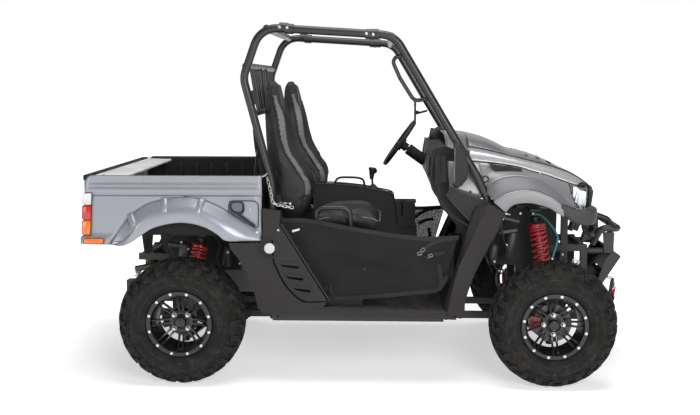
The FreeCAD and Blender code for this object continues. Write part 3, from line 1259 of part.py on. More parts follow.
# ---------------------------------------------------------------- all nodes
def build_nodes():
    """Return every node's shape by name, with panels trimmed round what carries them."""
    chassis = frame()
    sides = cut(side_rails(), [chassis])
    lead = fairlead()
    puller = winch()
    cage = cut(roll_cage(), [chassis, sides])
    column = steering_column()
    dash = cut(dashboard(), [column, cage])
    floor = cut(floor_pan(), [chassis, sides, cage])
    step = cut(seat_base(), [cage])
    block = engine()
    posts = cut(front_posts(), [chassis, sides, cage, floor])
    nodes = {
        "frame": chassis,
        "side_rails": sides,
        "roll_cage": cage,
        "floor_pan": floor,
        "seat_base": step,
        "quarter_panels": quarter_panels(),
        "sill_panels": sill_panels(),
        "front_posts": posts,
        "front_fenders": cut(front_fenders(), [posts]),
        "wheel_liners": wheel_liners(),
        "front_cowl": cut(front_cowl(), [dash, cage]),
        "dashboard": dash,
        "console": cut(console(), [floor]),
        "pedals": cut(pedals(), [dash]),
        "hip_bars": cut(hip_bars(), [step]),
        "side_nets": side_nets(),
        "mirrors": cut(mirrors(), [cage]),
        "steering_column": column,
        "headlights": headlights(),
        "front_grille": front_grille(),
        "front_valance": front_valance(),
        "brush_guard": cut(brush_guard(), [chassis, puller]),
        "winch": Part.makeCompound([puller, lead, cut(winch_hook(), [lead])]),
        "powertrain": Part.makeCompound([block, cut(gearcases(), [block])]),
        "half_shafts": half_shafts(),
        "muffler": cut(muffler(), [block]),
        "hitch": hitch(),
        "suspension_arms": suspension_arms(),
        "shocks": shocks(),
        "hood": hood(),
        "bed_tub": bed_tub(),
        "bed_sides": bed_sides(),
        "tail_lamps": tail_lamps(),
        "tailgate": tailgate(),
        "steering_wheel": steering_wheel(),
        "steering_rack": steering_rack(),
    }
    cushions, backs = [], []
    for y, shift in ((-SEAT_Y, 0.0), (SEAT_Y, DRIVER_SEAT_SHIFT)):
        cushion, back = seat_shapes(y, shift)
        cushions.append(cushion)
        backs.append(back)
    nodes["seat_cushions"] = Part.makeCompound(cushions)
    nodes["seat_backs"] = Part.makeCompound(backs)
    nodes["rear_knuckles"] = both(hub_carrier(REAR_AXLE_X, 1, False, REAR_DISC_R))
    for name, side in SIDES.items():
        nodes["front_knuckle_" + name] = hub_carrier(FRONT_AXLE_X, side, True, FRONT_DISC_R)
        for end, axle_x, width, disc_r in (
                ("front", FRONT_AXLE_X, FRONT_TYRE_W, FRONT_DISC_R),
                ("rear", REAR_AXLE_X, REAR_TYRE_W, REAR_DISC_R)):
            nodes["tyre_" + end + "_" + name] = tyre(axle_x, width, side)
            wheel = rim(axle_x, width, side)
            disc = brake_disc(axle_x, side, disc_r)
            nodes["rim_" + end + "_" + name] = Part.makeCompound([wheel, disc])
    return nodes


def main():
    """Build every node and write its STEP file."""
    for name, shape in build_nodes().items():
        if not shape.isValid():
            print("not valid:", name)
        shape.exportStep("parts/" + name + ".step")
        size = shape.BoundBox
        print("%-22s solids %2d  volume %8.2f l  X %7.1f %7.1f  Y %7.1f %7.1f  Z %7.1f %7.1f" % (
            name, len(shape.Solids), shape.Volume / 1e6, size.XMin, size.XMax,
            size.YMin, size.YMax, size.ZMin, size.ZMax))


main()
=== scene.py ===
"""Side-by-side utility vehicle: finishes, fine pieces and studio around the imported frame."""

import logging
import math
from dataclasses import dataclass
from enum import Enum
from typing import Callable, Iterable, Sequence

import bmesh
import bpy
from mathutils import Matrix, Vector


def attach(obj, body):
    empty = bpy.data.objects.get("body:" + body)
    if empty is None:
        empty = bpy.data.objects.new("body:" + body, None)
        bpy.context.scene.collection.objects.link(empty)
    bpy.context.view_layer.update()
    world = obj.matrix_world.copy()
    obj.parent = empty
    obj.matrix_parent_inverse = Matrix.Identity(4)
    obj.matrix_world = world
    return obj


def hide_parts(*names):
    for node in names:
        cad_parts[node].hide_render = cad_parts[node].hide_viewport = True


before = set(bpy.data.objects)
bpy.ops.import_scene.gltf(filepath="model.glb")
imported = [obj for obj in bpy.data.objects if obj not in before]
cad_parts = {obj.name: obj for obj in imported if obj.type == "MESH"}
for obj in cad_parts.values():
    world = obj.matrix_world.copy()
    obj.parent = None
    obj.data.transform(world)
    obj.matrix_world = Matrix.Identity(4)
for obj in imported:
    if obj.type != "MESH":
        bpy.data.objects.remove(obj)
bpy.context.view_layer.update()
LOG = logging.getLogger("utv")

Point = tuple[float, float, float]
Row = tuple[float, float]
Colour = tuple[float, float, float]

FRONT_AXLE_X = 0.991
REAR_AXLE_X = -0.939
AXLE_Z = 0.330
SIDES = (-1, 1)
LEFT_FIRST = (1, -1)
NAMED_SIDES = ((-1, "right"), (1, "left"))

ORIGIN = Vector()
X_AXIS = Vector((1, 0, 0))
Y_AXIS = Vector((0, 1, 0))
Z_AXIS = Vector((0, 0, 1))
TO_THE_RIGHT = Vector((0, -1, 0))
MIRROR = Matrix.Diagonal((1, -1, 1, 1))

WELD = 0.00002
BEVEL_SEGMENTS = 2
PANEL_THICK = 0.003
CORNER_STEPS = 5


class Body(Enum):
    """The bodies of the frame that pieces ride on."""

    CHASSIS = "chassis"
    HOOD = "hood"
    BED = "cargo_bed"
    TAILGATE = "tailgate"
    KNUCKLE_LEFT = "knuckle_left"
    KNUCKLE_RIGHT = "knuckle_right"
    WHEEL_FRONT_LEFT = "wheel_front_left"
    WHEEL_FRONT_RIGHT = "wheel_front_right"
    WHEEL_REAR_LEFT = "wheel_rear_left"
    WHEEL_REAR_RIGHT = "wheel_rear_right"


# ---------------------------------------------------------------- mesh making


class Shape:
    """Collects the faces of one piece, then turns them into an object."""

    def __init__(self) -> None:
        """Starts empty."""
        self.verts: list[Vector] = []
        self.faces: list[tuple[int, ...]] = []
        self.marks: list[int] = []

    def add(self, verts: Iterable[Sequence[float]], faces: Iterable[Sequence[int]], mark: int = 0) -> "Shape":
        """Adds loose vertices and the faces between them.

        Args:
            verts: positions in metres.
            faces: corner numbers into verts.
            mark: which of the piece's finishes the faces take.

        Returns:
            This shape.
        """
        start = len(self.verts)
        self.verts.extend(Vector(p) for p in verts)
        for face in faces:
            self.faces.append(tuple(start + i for i in face))
            self.marks.append(mark)
        return self

    def merge(self, other: "Shape", matrix: Matrix | None = None) -> "Shape":
        """Adds a copy of another shape, moved by a matrix.

        Args:
            other: the shape to copy.
            matrix: where the copy goes, or None to leave it.

        Returns:
            This shape.
        """
        start = len(self.verts)
        move = matrix or Matrix.Identity(4)
        self.verts.extend(move @ p for p in other.verts)
        flip = move.to_3x3().determinant() < 0
        for face, own in zip(other.faces, other.marks):
            row = tuple(start + i for i in face)
            self.faces.append(row[::-1] if flip else row)
            self.marks.append(own)
        return self

    def rings(
        self, rings: Sequence[Sequence[Sequence[float]]], closed: bool = False, mark: int = 0
    ) -> "Shape":
        """Skins a row of equal rings of points.

        Args:
            rings: the rings, each with the same number of points.
            closed: whether the last ring joins the first, or else both end rings are filled.
            mark: the finish of the faces.

        Returns:
            This shape.
        """
        n = len(rings[0])
        faces: list[tuple[int, ...]] = []
        count = len(rings)
        for k in range(count if closed else count - 1):
            a, b = k * n, ((k + 1) % count) * n
            for i in range(n):
                j = (i + 1) % n
                faces.append((a + i, a + j, b + j, b + i))
        if not closed:
            faces.append(tuple(range(n))[::-1])
            faces.append(tuple((count - 1) * n + i for i in range(n)))
        return self.add([p for ring in rings for p in ring], faces, mark)

    def box(self, low: Point, high: Point) -> "Shape":
        """Adds a block between two corners."""
        x0, y0, z0 = low
        x1, y1, z1 = high
        foot = [(x0, y0, z0), (x1, y0, z0), (x1, y1, z0), (x0, y1, z0)]
        head = [(x, y, z1) for x, y, _ in foot]
        return self.rings([foot, head])

    def prism(self, outline: Sequence[Row], y0: float, y1: float, mark: int = 0) -> "Shape":
        """Adds a plate with an outline of (x, z) points between two Y planes."""
        return self.rings([[(x, y0, z) for x, z in outline], [(x, y1, z) for x, z in outline]], mark=mark)

    def lathe(
        self, profile: Sequence[Row], start: Vector, axis: Vector, steps: int = 32, closed: bool = False,
        mark: int = 0
    ) -> "Shape":
        """Turns a profile of (radius, distance along the axis) rows round an axis.

        Args:
            profile: the rows, from one end to the other.
            start: the point where the distance is 0.
            axis: the direction of the axis.
            steps: pieces of the circle.
            closed: whether the profile closes on itself, as a ring's does.
            mark: the finish of the faces.

        Returns:
            This shape.
        """
        along = Vector(axis).normalized()
        side = along.orthogonal().normalized()
        up = along.cross(side)
        rings = []
        for r, h in profile:
            centre = Vector(start) + along * h
            rings.append([
                centre + (side * math.cos(a) + up * math.sin(a)) * r
                for a in (math.tau * k / steps for k in range(steps))
            ])
        return self.rings(rings, closed=closed, mark=mark)

    def tube(
        self, path: Sequence[Sequence[float]], r: float | Callable[[float], float], sides: int = 12,
        closed: bool = False
    ) -> "Shape":
        """Sweeps a circle along points.

        Args:
            path: the points of the middle line.
            r: the radius, or a function of the share of the way from 0 to 1.
            sides: faces round the tube.
            closed: whether the path closes on itself.

        Returns:
            This shape.
        """
        section = [(math.cos(math.tau * k / sides), math.sin(math.tau * k / sides)) for k in range(sides)]
        return self.sweep(path, section, r, closed)

    def sweep(
        self, path: Sequence[Sequence[float]], section: Sequence[Row],
        scale: float | Callable[[float], float] = 1.0, closed: bool = False, up: Vector | None = None
    ) -> "Shape":
        """Sweeps a section of (side, up) rows along points, without twist.

        Args:
            path: the points of the middle line.
            section: the rows of the section.
            scale: a size for the section, or a function of the share of the way.
            closed: whether the path closes on itself.
            up: a direction that the section's second axis keeps near.

        Returns:
            This shape.
        """
        pts = [Vector(p) for p in path]
        count = len(pts)
        rings = []
        lift = up
        for i, p in enumerate(pts):
            before = pts[i - 1] if i or closed else p
            after = pts[(i + 1) % count] if i < count - 1 or closed else p
            along = (after - before).normalized()
            if lift is None:
                lift = along.orthogonal()
            base = up if up is not None else lift
            lift = (base - along * base.dot(along)).normalized()
            side = lift.cross(along)
            size = scale(i / max(1, count - 1)) if callable(scale) else scale
            rings.append([p + (side * a + lift * b) * size for a, b in section])
        return self.rings(rings, closed=closed)

    def done(
        self, name: str, body: Body, finishes: Sequence["Finish"], slot: str, bevel: float = 0.0,
        sharp: float = 35.0, stands_for: Sequence[str] = ()
    ) -> bpy.types.Object:
        """Makes the object, dresses it and sets it on its body.

        Args:
            name: the piece's name.
            body: the body that it moves with.
            finishes: the finishes that the marks choose from.
            slot: the record's material slot.
            bevel: width of the eased edges in metres, or 0 for none.
            sharp: edges with a wider angle than this, in degrees, stay sharp.
            stands_for: the frame's nodes that this piece is shown for.

        Returns:
            The object.
        """
        mesh = bpy.data.meshes.new(name)
        mesh.from_pydata([tuple(p) for p in self.verts], [], self.faces)
        mesh.polygons.foreach_set("material_index", self.marks)
        work = bmesh.new()
        work.from_mesh(mesh)
        bmesh.ops.remove_doubles(work, verts=work.verts, dist=WELD)
        bmesh.ops.recalc_face_normals(work, faces=work.faces)
        work.to_mesh(mesh)
        work.free()
        piece = bpy.data.objects.new(name, mesh)
        bpy.context.scene.collection.objects.link(piece)
        return settle(piece, body, finishes, slot, bevel, sharp, stands_for)


def settle(
    piece: bpy.types.Object, body: Body, finishes: Sequence["Finish"], slot: str, bevel: float = 0.0,
    sharp: float = 35.0, stands_for: Sequence[str] = ()
) -> bpy.types.Object:
    """Gives a new object its finishes, modifiers and body.

    Args:
        piece: the object, in place.
        body: the body that it moves with.
        finishes: its finishes, in slot order.
        slot: the record's material slot; not used.
        bevel: width of the eased edges in metres, or 0 for none.
        sharp: edges with a wider angle than this, in degrees, stay sharp.
        stands_for: the frame's nodes that this piece is shown for.

    Returns:
        The object.
    """
    mesh = piece.data
    mesh.materials.clear()
    for finish in finishes:
        mesh.materials.append(finish.material())
    mesh.polygons.foreach_set("use_smooth", [True] * len(mesh.polygons))
    if bevel:
        ease = piece.modifiers.new("ease", "BEVEL")
        ease.width = bevel
        ease.segments = BEVEL_SEGMENTS
        ease.limit_method = "ANGLE"
        ease.angle_limit = math.radians(sharp)
        ease.harden_normals = True
    mesh.set_sharp_from_angle(angle=math.radians(sharp))
    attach(piece, body.value)
    if stands_for:
        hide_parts(*stands_for)
    LOG.info("piece %s rides on %s", name_of(piece), body.value)
    return piece


def thicken(piece: bpy.types.Object, thickness: float, offset: float = 0.0) -> None:
    """Gives an open sheet a thickness, to both sides or to the side that the offset says."""
    skin = piece.modifiers.new("thick", "SOLIDIFY")
    skin.thickness = thickness
    skin.offset = offset


def ribbon(half_width: float, half_thick: float) -> list[Row]:
    """Returns the section of flat webbing."""
    w, t = half_width, half_thick
    return [(-w, -t), (-w, t), (w, t), (w, -t)]


def name_of(piece: bpy.types.Object) -> str:
    """Returns a piece's name with its number of faces."""
    return f"{piece.name} ({len(piece.data.polygons)} faces)"


def arc(centre: Row, r: float, start_deg: float, end_deg: float, steps: int) -> list[Row]:
    """Returns points on an arc in a plane, both ends included."""
    turn = math.radians(end_deg - start_deg)
    first = math.radians(start_deg)
    return [
        (
            centre[0] + r * math.cos(first + turn * k / steps),
            centre[1] + r * math.sin(first + turn * k / steps)
        )
        for k in range(steps + 1)
    ]


def rounded_box(low: Row, high: Row, r: float, cut: float = 0.0) -> list[Row]:
    """Returns a rectangle's outline with an arc at each corner.

    Args:
        low: its lowest corner.
        high: its highest corner.
        r: how far the arcs' centres stand in from the sides.
        cut: how much smaller than that the arcs are.

    Returns:
        The outline's points.
    """
    (x0, z0), (x1, z1) = low, high
    centres = ((x1 - r, z1 - r), (x0 + r, z1 - r), (x0 + r, z0 + r), (x1 - r, z0 + r))
    out: list[Row] = []
    for k, centre in enumerate(centres):
        out.extend(arc(centre, max(0.001, r - cut), 90 * k, 90 * (k + 1), CORNER_STEPS))
    return out


def smooth_path(points: Sequence[Sequence[float]], steps: int = 8, closed: bool = False) -> list[Vector]:
    """Runs a smooth line through points.

    Args:
        points: the points that the line goes through.
        steps: pieces between two points.
        closed: whether the line closes on itself.

    Returns:
        Points along the line.
    """
    pts = [Vector(p) for p in points]
    count = len(pts)
    out: list[Vector] = []
    for i in range(count if closed else count - 1):
        p1, p2 = pts[i], pts[(i + 1) % count]
        p0 = pts[i - 1] if i or closed else p1 + (p1 - p2)
        p3 = pts[(i + 2) % count] if i < count - 2 or closed else p2 + (p2 - p1)
        for k in range(steps):
            t = k / steps
            out.append(
                0.5
                * (
                    2 * p1
                    + (p2 - p0) * t
                    + (2 * p0 - 5 * p1 + 4 * p2 - p3) * t * t
                    + (3 * p1 - p0 - 3 * p2 + p3) * t ** 3
                )
            )
    if not closed:
        out.append(pts[-1])
    return out


def to_side(side: int) -> Matrix:
    """Returns the matrix that carries a shape of the right-hand side to a side."""
    return MIRROR if side > 0 else Matrix.Identity(4)


def outward(side: int) -> Vector:
    """Returns the direction straight out of a side."""
    return Vector((0, side, 0))


def facing(point: Sequence[float], direction: Sequence[float]) -> Matrix:
    """Returns the matrix that sets a shape made along +Z at a point, along a direction."""
    return Matrix.Translation(Vector(point)) @ Vector(direction).to_track_quat("Z", "Y").to_matrix().to_4x4()


def hex_bolt(r: float, height: float, washer: float = 1.35) -> Shape:
    """Returns a flanged hexagon bolt head that stands along +Z from the origin."""
    shape = Shape()
    flange = height * 0.25
    shape.lathe(
        [(r * washer * 0.96, 0.0), (r * washer, flange * 0.5), (r * washer * 0.9, flange)], ORIGIN, Z_AXIS, 24
    )
    shape.lathe(
        [(r, flange * 0.8), (r, height * 0.88), (r * 0.86, height), (r * 0.3, height)], ORIGIN, Z_AXIS, 6
    )
    return shape


def button_bolt(r: float, height: float) -> Shape:
    """Returns a round-headed socket bolt that stands along +Z from the origin."""
    rows = [
        (r, 0.0), (r, height * 0.3), (r * 0.9, height * 0.7), (r * 0.62, height), (r * 0.42, height),
        (r * 0.36, height * 0.45), (r * 0.02, height * 0.4)
    ]
    return Shape().lathe(rows, ORIGIN, Z_AXIS, 18)


# ---------------------------------------------------------------- finishes


def shade(red: int, green: int, blue: int) -> Colour:
    """Returns the linear colour of a screen colour of 0 to 255 a channel."""
    out = []
    for value in (red, green, blue):
        c = value / 255
        out.append(c / 12.92 if c <= 0.04045 else ((c + 0.055) / 1.055) ** 2.4)
    return (out[0], out[1], out[2])


class Wiring:
    """Adds and joins shader nodes in one tree."""

    def __init__(self, tree: bpy.types.NodeTree) -> None:
        """Works on a node tree.

        Args:
            tree: the tree that the nodes go into.
        """
        self.tree = tree

    def add(self, kind: str, inputs: dict[str, object] | None = None, **settings: object) -> bpy.types.Node:
        """Adds a node.

        Args:
            kind: the node's type, without its ShaderNode prefix.
            inputs: values or sockets for its inputs, by name or number.
            settings: the node's own settings.

        Returns:
            The node.
        """
        node = self.tree.nodes.new("ShaderNode" + kind)
        for key, value in settings.items():
            setattr(node, key, value)
        for key, value in (inputs or {}).items():
            self.feed(node.inputs[key], value)
        return node

    def feed(self, socket: bpy.types.NodeSocket, value: object) -> None:
        """Links a socket to an input, or sets the input's value."""
        if isinstance(value, bpy.types.NodeSocket):
            self.tree.links.new(value, socket)
        elif isinstance(value, tuple) and len(value) == 3 and socket.type == "RGBA":
            socket.default_value = (*value, 1.0)
        else:
            socket.default_value = value

    def sum(self, how: str, a: object, b: object = 0.0, clamp: bool = False) -> bpy.types.NodeSocket:
        """Joins two numbers by a Math node and returns its output."""
        return self.add("Math", {0: a, 1: b}, operation=how, use_clamp=clamp).outputs[0]

    def between(
        self, value: object, low: float, high: float, to_low: float = 0.0, to_high: float = 1.0
    ) -> bpy.types.NodeSocket:
        """Maps a range of numbers smoothly onto another and returns the output."""
        numbers = {"Value": value, "From Min": low, "From Max": high, "To Min": to_low, "To Max": to_high}
        return self.add("MapRange", numbers, interpolation_type="SMOOTHSTEP").outputs[0]

    def blend(self, share: object, a: object, b: object) -> bpy.types.NodeSocket:
        """Mixes two colours by a share and returns the output."""
        node = self.add("Mix", data_type="RGBA")
        self.feed(node.inputs[0], share)
        self.feed(node.inputs[6], a)
        self.feed(node.inputs[7], b)
        return node.outputs[2]

    def place(self) -> bpy.types.NodeSocket:
        """Returns the position on the object in metres."""
        return self.add("TexCoord").outputs["Object"]

    def noise(
        self, scale: object, detail: float = 4.0, rough: float = 0.55, vector: object = None
    ) -> bpy.types.NodeSocket:
        """Adds a noise texture and returns its strength output."""
        where = self.place() if vector is None else vector
        return self.add(
            "TexNoise", {"Vector": where, "Scale": scale, "Detail": detail, "Roughness": rough}
        ).outputs["Fac"]


class Effects:
    """The shader node groups that several finishes share, each built once."""

    made: dict[str, bpy.types.NodeTree] = {}

    @classmethod
    def get(cls, name: str) -> bpy.types.NodeTree:
        """Returns a group by its name, building it the first time."""
        if name not in cls.made:
            cls.made[name] = getattr(cls, "build_" + name)()
        return cls.made[name]

    @staticmethod
    def start(
        name: str, inputs: dict[str, float], outputs: dict[str, str]
    ) -> tuple[Wiring, bpy.types.Node, bpy.types.Node]:
        """Makes an empty group with its sockets.

        Args:
            name: the group's name.
            inputs: its number inputs and their defaults.
            outputs: its outputs and their socket types.

        Returns:
            The wiring, the group's input node and its output node.
        """
        tree = bpy.data.node_groups.new(name, "ShaderNodeTree")
        for label, value in inputs.items():
            tree.interface.new_socket(
                name=label, in_out="INPUT", socket_type="NodeSocketFloat"
            ).default_value = value
        for label, kind in outputs.items():
            tree.interface.new_socket(name=label, in_out="OUTPUT", socket_type=kind)
        return Wiring(tree), tree.nodes.new("NodeGroupInput"), tree.nodes.new("NodeGroupOutput")

    @classmethod
    def build_grain(cls) -> bpy.types.NodeTree:
        """Builds the fine pebbled grain of moulded plastic and powder coat."""
        w, source, sink = cls.start(
            "grain", {"Scale": 900.0, "Soft": 0.5}, {"Height": "NodeSocketFloat", "Cloud": "NodeSocketFloat"}
        )
        cells = w.add(
            "TexVoronoi", {"Vector": w.place(), "Scale": source.outputs["Scale"]}, feature="SMOOTH_F1"
        )
        fine = w.noise(w.sum("MULTIPLY", source.outputs["Scale"], 0.6), 5.0)
        height = w.sum("ADD", w.sum("MULTIPLY", cells.outputs["Distance"], source.outputs["Soft"]), fine)
        w.feed(sink.inputs["Height"], height)
        w.feed(sink.inputs["Cloud"], w.between(w.noise(5.5, 5.0), 0.3, 0.7))
        return w.tree

    @classmethod
    def build_edge_wear(cls) -> bpy.types.NodeTree:
        """Builds a mask that is strong on corners, broken up by scuffs."""
        w, source, sink = cls.start("edge_wear", {"Width": 0.004, "Scuff": 90.0}, {"Mask": "NodeSocketFloat"})
        round_edge = w.add("Bevel", {"Radius": source.outputs["Width"]}, samples=4)
        flat = w.add("NewGeometry")
        same = w.add(
            "VectorMath", {0: round_edge.outputs["Normal"], 1: flat.outputs["Normal"]},
            operation="DOT_PRODUCT"
        )
        corner = w.between(same.outputs["Value"], 0.985, 0.86)
        scuff = w.between(w.noise(source.outputs["Scuff"], 6.0, 0.7), 0.42, 0.62)
        w.feed(sink.inputs["Mask"], w.sum("MULTIPLY", corner, scuff))
        return w.tree

    @classmethod
    def build_dust(cls) -> bpy.types.NodeTree:
        """Builds a mask of dust that lies on tops, thicker near the ground."""
        w, _, sink = cls.start("dust", {}, {"Mask": "NodeSocketFloat"})
        normal = w.add("SeparateXYZ", {0: w.add("NewGeometry").outputs["Normal"]}).outputs["Z"]
        place = w.add("SeparateXYZ", {0: w.place()}).outputs["Z"]
        top = w.between(normal, 0.1, 0.95)
        low = w.between(place, 0.9, 0.1, 0.25, 1.0)
        patch = w.between(w.noise(14.0, 6.0, 0.65), 0.35, 0.7)
        w.feed(sink.inputs["Mask"], w.sum("MULTIPLY", w.sum("MULTIPLY", top, low), patch))
        return w.tree

    @classmethod
    def build_weave(cls) -> bpy.types.NodeTree:
        """Builds a plain weave of threads with small gaps between them."""
        w, source, sink = cls.start(
            "weave", {"Scale": 500.0}, {"Height": "NodeSocketFloat", "Gap": "NodeSocketFloat"}
        )
        axes = w.add("SeparateXYZ", {0: w.place()})
        across = w.sum(
            "SINE", w.sum("MULTIPLY", axes.outputs["X"], w.sum("MULTIPLY", source.outputs["Scale"], math.tau))
        )
        along = w.sum(
            "SINE", w.sum("MULTIPLY", axes.outputs["Z"], w.sum("MULTIPLY", source.outputs["Scale"], math.tau))
        )
        w.feed(sink.inputs["Height"], w.sum("MAXIMUM", across, along))
        w.feed(sink.inputs["Gap"], w.between(w.sum("MAXIMUM", across, along), -0.75, -0.45, 1.0, 0.0))
        return w.tree

    @classmethod
    def build_flakes(cls) -> bpy.types.NodeTree:
        """Builds the small bright flakes under a clear coat."""
        w, source, sink = cls.start("flakes", {"Scale": 1600.0}, {"Mask": "NodeSocketFloat"})
        cells = w.add("TexVoronoi", {"Vector": w.place(), "Scale": source.outputs["Scale"]})
        tone = w.add("SeparateColor", {0: cells.outputs["Color"]}).outputs[0]
        w.feed(sink.inputs["Mask"], tone)
        return w.tree

    @classmethod
    def build_streaks(cls) -> bpy.types.NodeTree:
        """Builds the long fine scratches of turned or brushed metal."""
        w, source, sink = cls.start("streaks", {"Scale": 300.0}, {"Mask": "NodeSocketFloat"})
        squeeze = w.add("Mapping", {"Vector": w.place(), "Scale": (0.04, 1.0, 1.0)})
        w.feed(sink.inputs["Mask"], w.noise(source.outputs["Scale"], 3.0, 0.6, squeeze.outputs[0]))
        return w.tree


def group(w: Wiring, name: str, **inputs: object) -> bpy.types.Node:
    """Places a shared group in a material, with its values."""
    return w.add("Group", {k.capitalize(): v for k, v in inputs.items()}, node_tree=Effects.get(name))


DUST_COLOUR = shade(150, 142, 130)
GRIME_COLOUR = shade(92, 84, 76)
CHALK_COLOUR = shade(104, 101, 98)
COAT_ROUGHNESS = 0.08


@dataclass(frozen=True)
class Finish:
    """A paint, plastic or metal with grain, worn edges, cloudy tone and dust."""

    name: str
    colour: Colour
    roughness: float = 0.5
    metallic: float = 0.0
    coat: float = 0.0
    grain: float = 900.0
    grain_depth: float = 0.00006
    tint: float = 0.12
    wear: float = 0.35
    wear_width: float = 0.003
    wear_colour: Colour = (0.32, 0.32, 0.33)
    dust: float = 0.10
    gloss: float = 0.5

    def material(self) -> bpy.types.Material:
        """Returns the material, making it the first time."""
        known = bpy.data.materials.get("look_" + self.name)
        if known is not None:
            return known
        made = bpy.data.materials.new("look_" + self.name)
        made.use_nodes = True
        w = Wiring(made.node_tree)
        shader = made.node_tree.nodes["Principled BSDF"]
        shader.inputs["Metallic"].default_value = self.metallic
        shader.inputs["Coat Weight"].default_value = self.coat
        shader.inputs["Coat Roughness"].default_value = COAT_ROUGHNESS
        shader.inputs["Specular IOR Level"].default_value = self.gloss
        self.wire(w, shader)
        made.diffuse_color = (*self.colour, 1.0)
        return made

    def darker(self, share: float) -> Colour:
        """Returns the colour made darker by a share, or lighter below 0."""
        red, green, blue = (c * (1.0 - share) for c in self.colour)
        return (red, green, blue)

    def worn(self, w: Wiring, scuff: float) -> bpy.types.NodeSocket:
        """Returns the mask of this finish's worn edges, broken up by scuffs of a scale."""
        mask = group(w, "edge_wear", width=self.wear_width, scuff=scuff).outputs["Mask"]
        return w.sum("MULTIPLY", mask, self.wear)

    def wire(self, w: Wiring, shader: bpy.types.Node) -> None:
        """Joins the colour, roughness and bump to the shader.

        Args:
            w: the material's wiring.
            shader: its Principled shader.
        """
        grain = group(w, "grain", scale=self.grain, soft=0.5)
        colour = w.blend(grain.outputs["Cloud"], self.darker(self.tint), self.darker(-self.tint))
        rough = w.between(
            grain.outputs["Cloud"], 0.0, 1.0, self.roughness * 0.9, min(1.0, self.roughness * 1.12)
        )
        if self.wear:
            worn = self.worn(w, 90.0)
            colour = w.blend(worn, colour, self.wear_colour)
        if self.dust:
            dusty = w.sum("MULTIPLY", group(w, "dust").outputs["Mask"], self.dust)
            colour = w.blend(dusty, colour, DUST_COLOUR)
            rough = w.sum("ADD", rough, w.sum("MULTIPLY", dusty, 0.4), clamp=True)
        self.finish_off(w, shader, colour, rough, grain.outputs["Height"])

    def finish_off(
        self, w: Wiring, shader: bpy.types.Node, colour: object, rough: object, height: object
    ) -> None:
        """Feeds the shader from the finished colour, roughness and height."""
        w.feed(shader.inputs["Base Color"], colour)
        w.feed(shader.inputs["Roughness"], rough)
        bump = w.add("Bump", {"Height": height, "Distance": self.grain_depth, "Strength": 1.0})
        w.feed(shader.inputs["Normal"], bump.outputs[0])


@dataclass(frozen=True)
class FlakePaint(Finish):
    """Metallic body paint: bright flakes under a clear coat."""

    flake: float = 1500.0

    def wire(self, w: Wiring, shader: bpy.types.Node) -> None:
        """Joins the flakes and the faint ripple of sprayed paint to the shader."""
        cloud = group(w, "grain", scale=self.grain, soft=0.2)
        flakes = group(w, "flakes", scale=self.flake)
        colour = w.blend(
            w.sum("MULTIPLY", flakes.outputs["Mask"], 0.35), self.darker(self.tint),
            self.darker(-2.2 * self.tint)
        )
        colour = w.blend(w.sum("MULTIPLY", cloud.outputs["Cloud"], 0.25), colour, self.darker(-self.tint))
        if self.wear:
            worn = self.worn(w, 60.0)
            colour = w.blend(worn, colour, self.wear_colour)
        rough = w.between(flakes.outputs["Mask"], 0.0, 1.0, self.roughness * 0.85, self.roughness * 1.15)
        self.finish_off(w, shader, colour, rough, cloud.outputs["Cloud"])


@dataclass(frozen=True)
class Metal(Finish):
    """Bare, cast or machined metal with streaks."""

    streak: float = 300.0

    def wire(self, w: Wiring, shader: bpy.types.Node) -> None:
        """Joins the streaks, cast grain and grime to the shader."""
        grain = group(w, "grain", scale=self.grain, soft=0.6)
        streaks = group(w, "streaks", scale=self.streak).outputs["Mask"]
        colour = w.blend(streaks, self.darker(self.tint), self.darker(-self.tint))
        grime = w.sum("MULTIPLY", group(w, "dust").outputs["Mask"], self.dust)
        colour = w.blend(grime, colour, GRIME_COLOUR)
        rough = w.between(streaks, 0.2, 0.8, self.roughness * 0.8, min(1.0, self.roughness * 1.25))
        self.finish_off(w, shader, colour, rough, grain.outputs["Height"])


@dataclass(frozen=True)
class Rubber(Finish):
    """Tyre or boot rubber, greyer where it has been handled."""

    def wire(self, w: Wiring, shader: bpy.types.Node) -> None:
        """Joins chalky patches and a matt grain to the shader."""
        grain = group(w, "grain", scale=self.grain, soft=0.8)
        patch = w.between(w.noise(22.0, 7.0, 0.7), 0.4, 0.75)
        colour = w.blend(grain.outputs["Cloud"], self.darker(self.tint), self.darker(-self.tint))
        colour = w.blend(w.sum("MULTIPLY", patch, 0.18), colour, CHALK_COLOUR)
        worn = self.worn(w, 70.0)
        colour = w.blend(worn, colour, self.wear_colour)
        rough = w.between(patch, 0.0, 1.0, self.roughness, min(1.0, self.roughness + 0.12))
        self.finish_off(w, shader, colour, rough, grain.outputs["Height"])


@dataclass(frozen=True)
class Cloth(Finish):
    """Woven cloth or webbing, open between its threads where it is a mesh."""

    weave: float = 400.0
    open_weave: float = 0.0

    def wire(self, w: Wiring, shader: bpy.types.Node) -> None:
        """Joins the weave's height, tone and gaps to the shader."""
        shader.inputs["Sheen Weight"].default_value = 0.03
        shader.inputs["Sheen Roughness"].default_value = 0.5
        weave = group(w, "weave", scale=self.weave)
        cloud = group(w, "grain", scale=self.grain, soft=0.5).outputs["Cloud"]
        colour = w.blend(weave.outputs["Gap"], self.darker(-self.tint), self.darker(0.4))
        colour = w.blend(w.sum("MULTIPLY", cloud, 0.3), colour, self.darker(self.tint))
        rough = w.between(cloud, 0.0, 1.0, self.roughness * 0.92, min(1.0, self.roughness * 1.06))
        if self.open_weave:
            w.feed(
                shader.inputs["Alpha"], w.between(weave.outputs["Gap"], 0.0, 1.0, 1.0, 1.0 - self.open_weave)
            )
        self.finish_off(w, shader, colour, rough, weave.outputs["Height"])


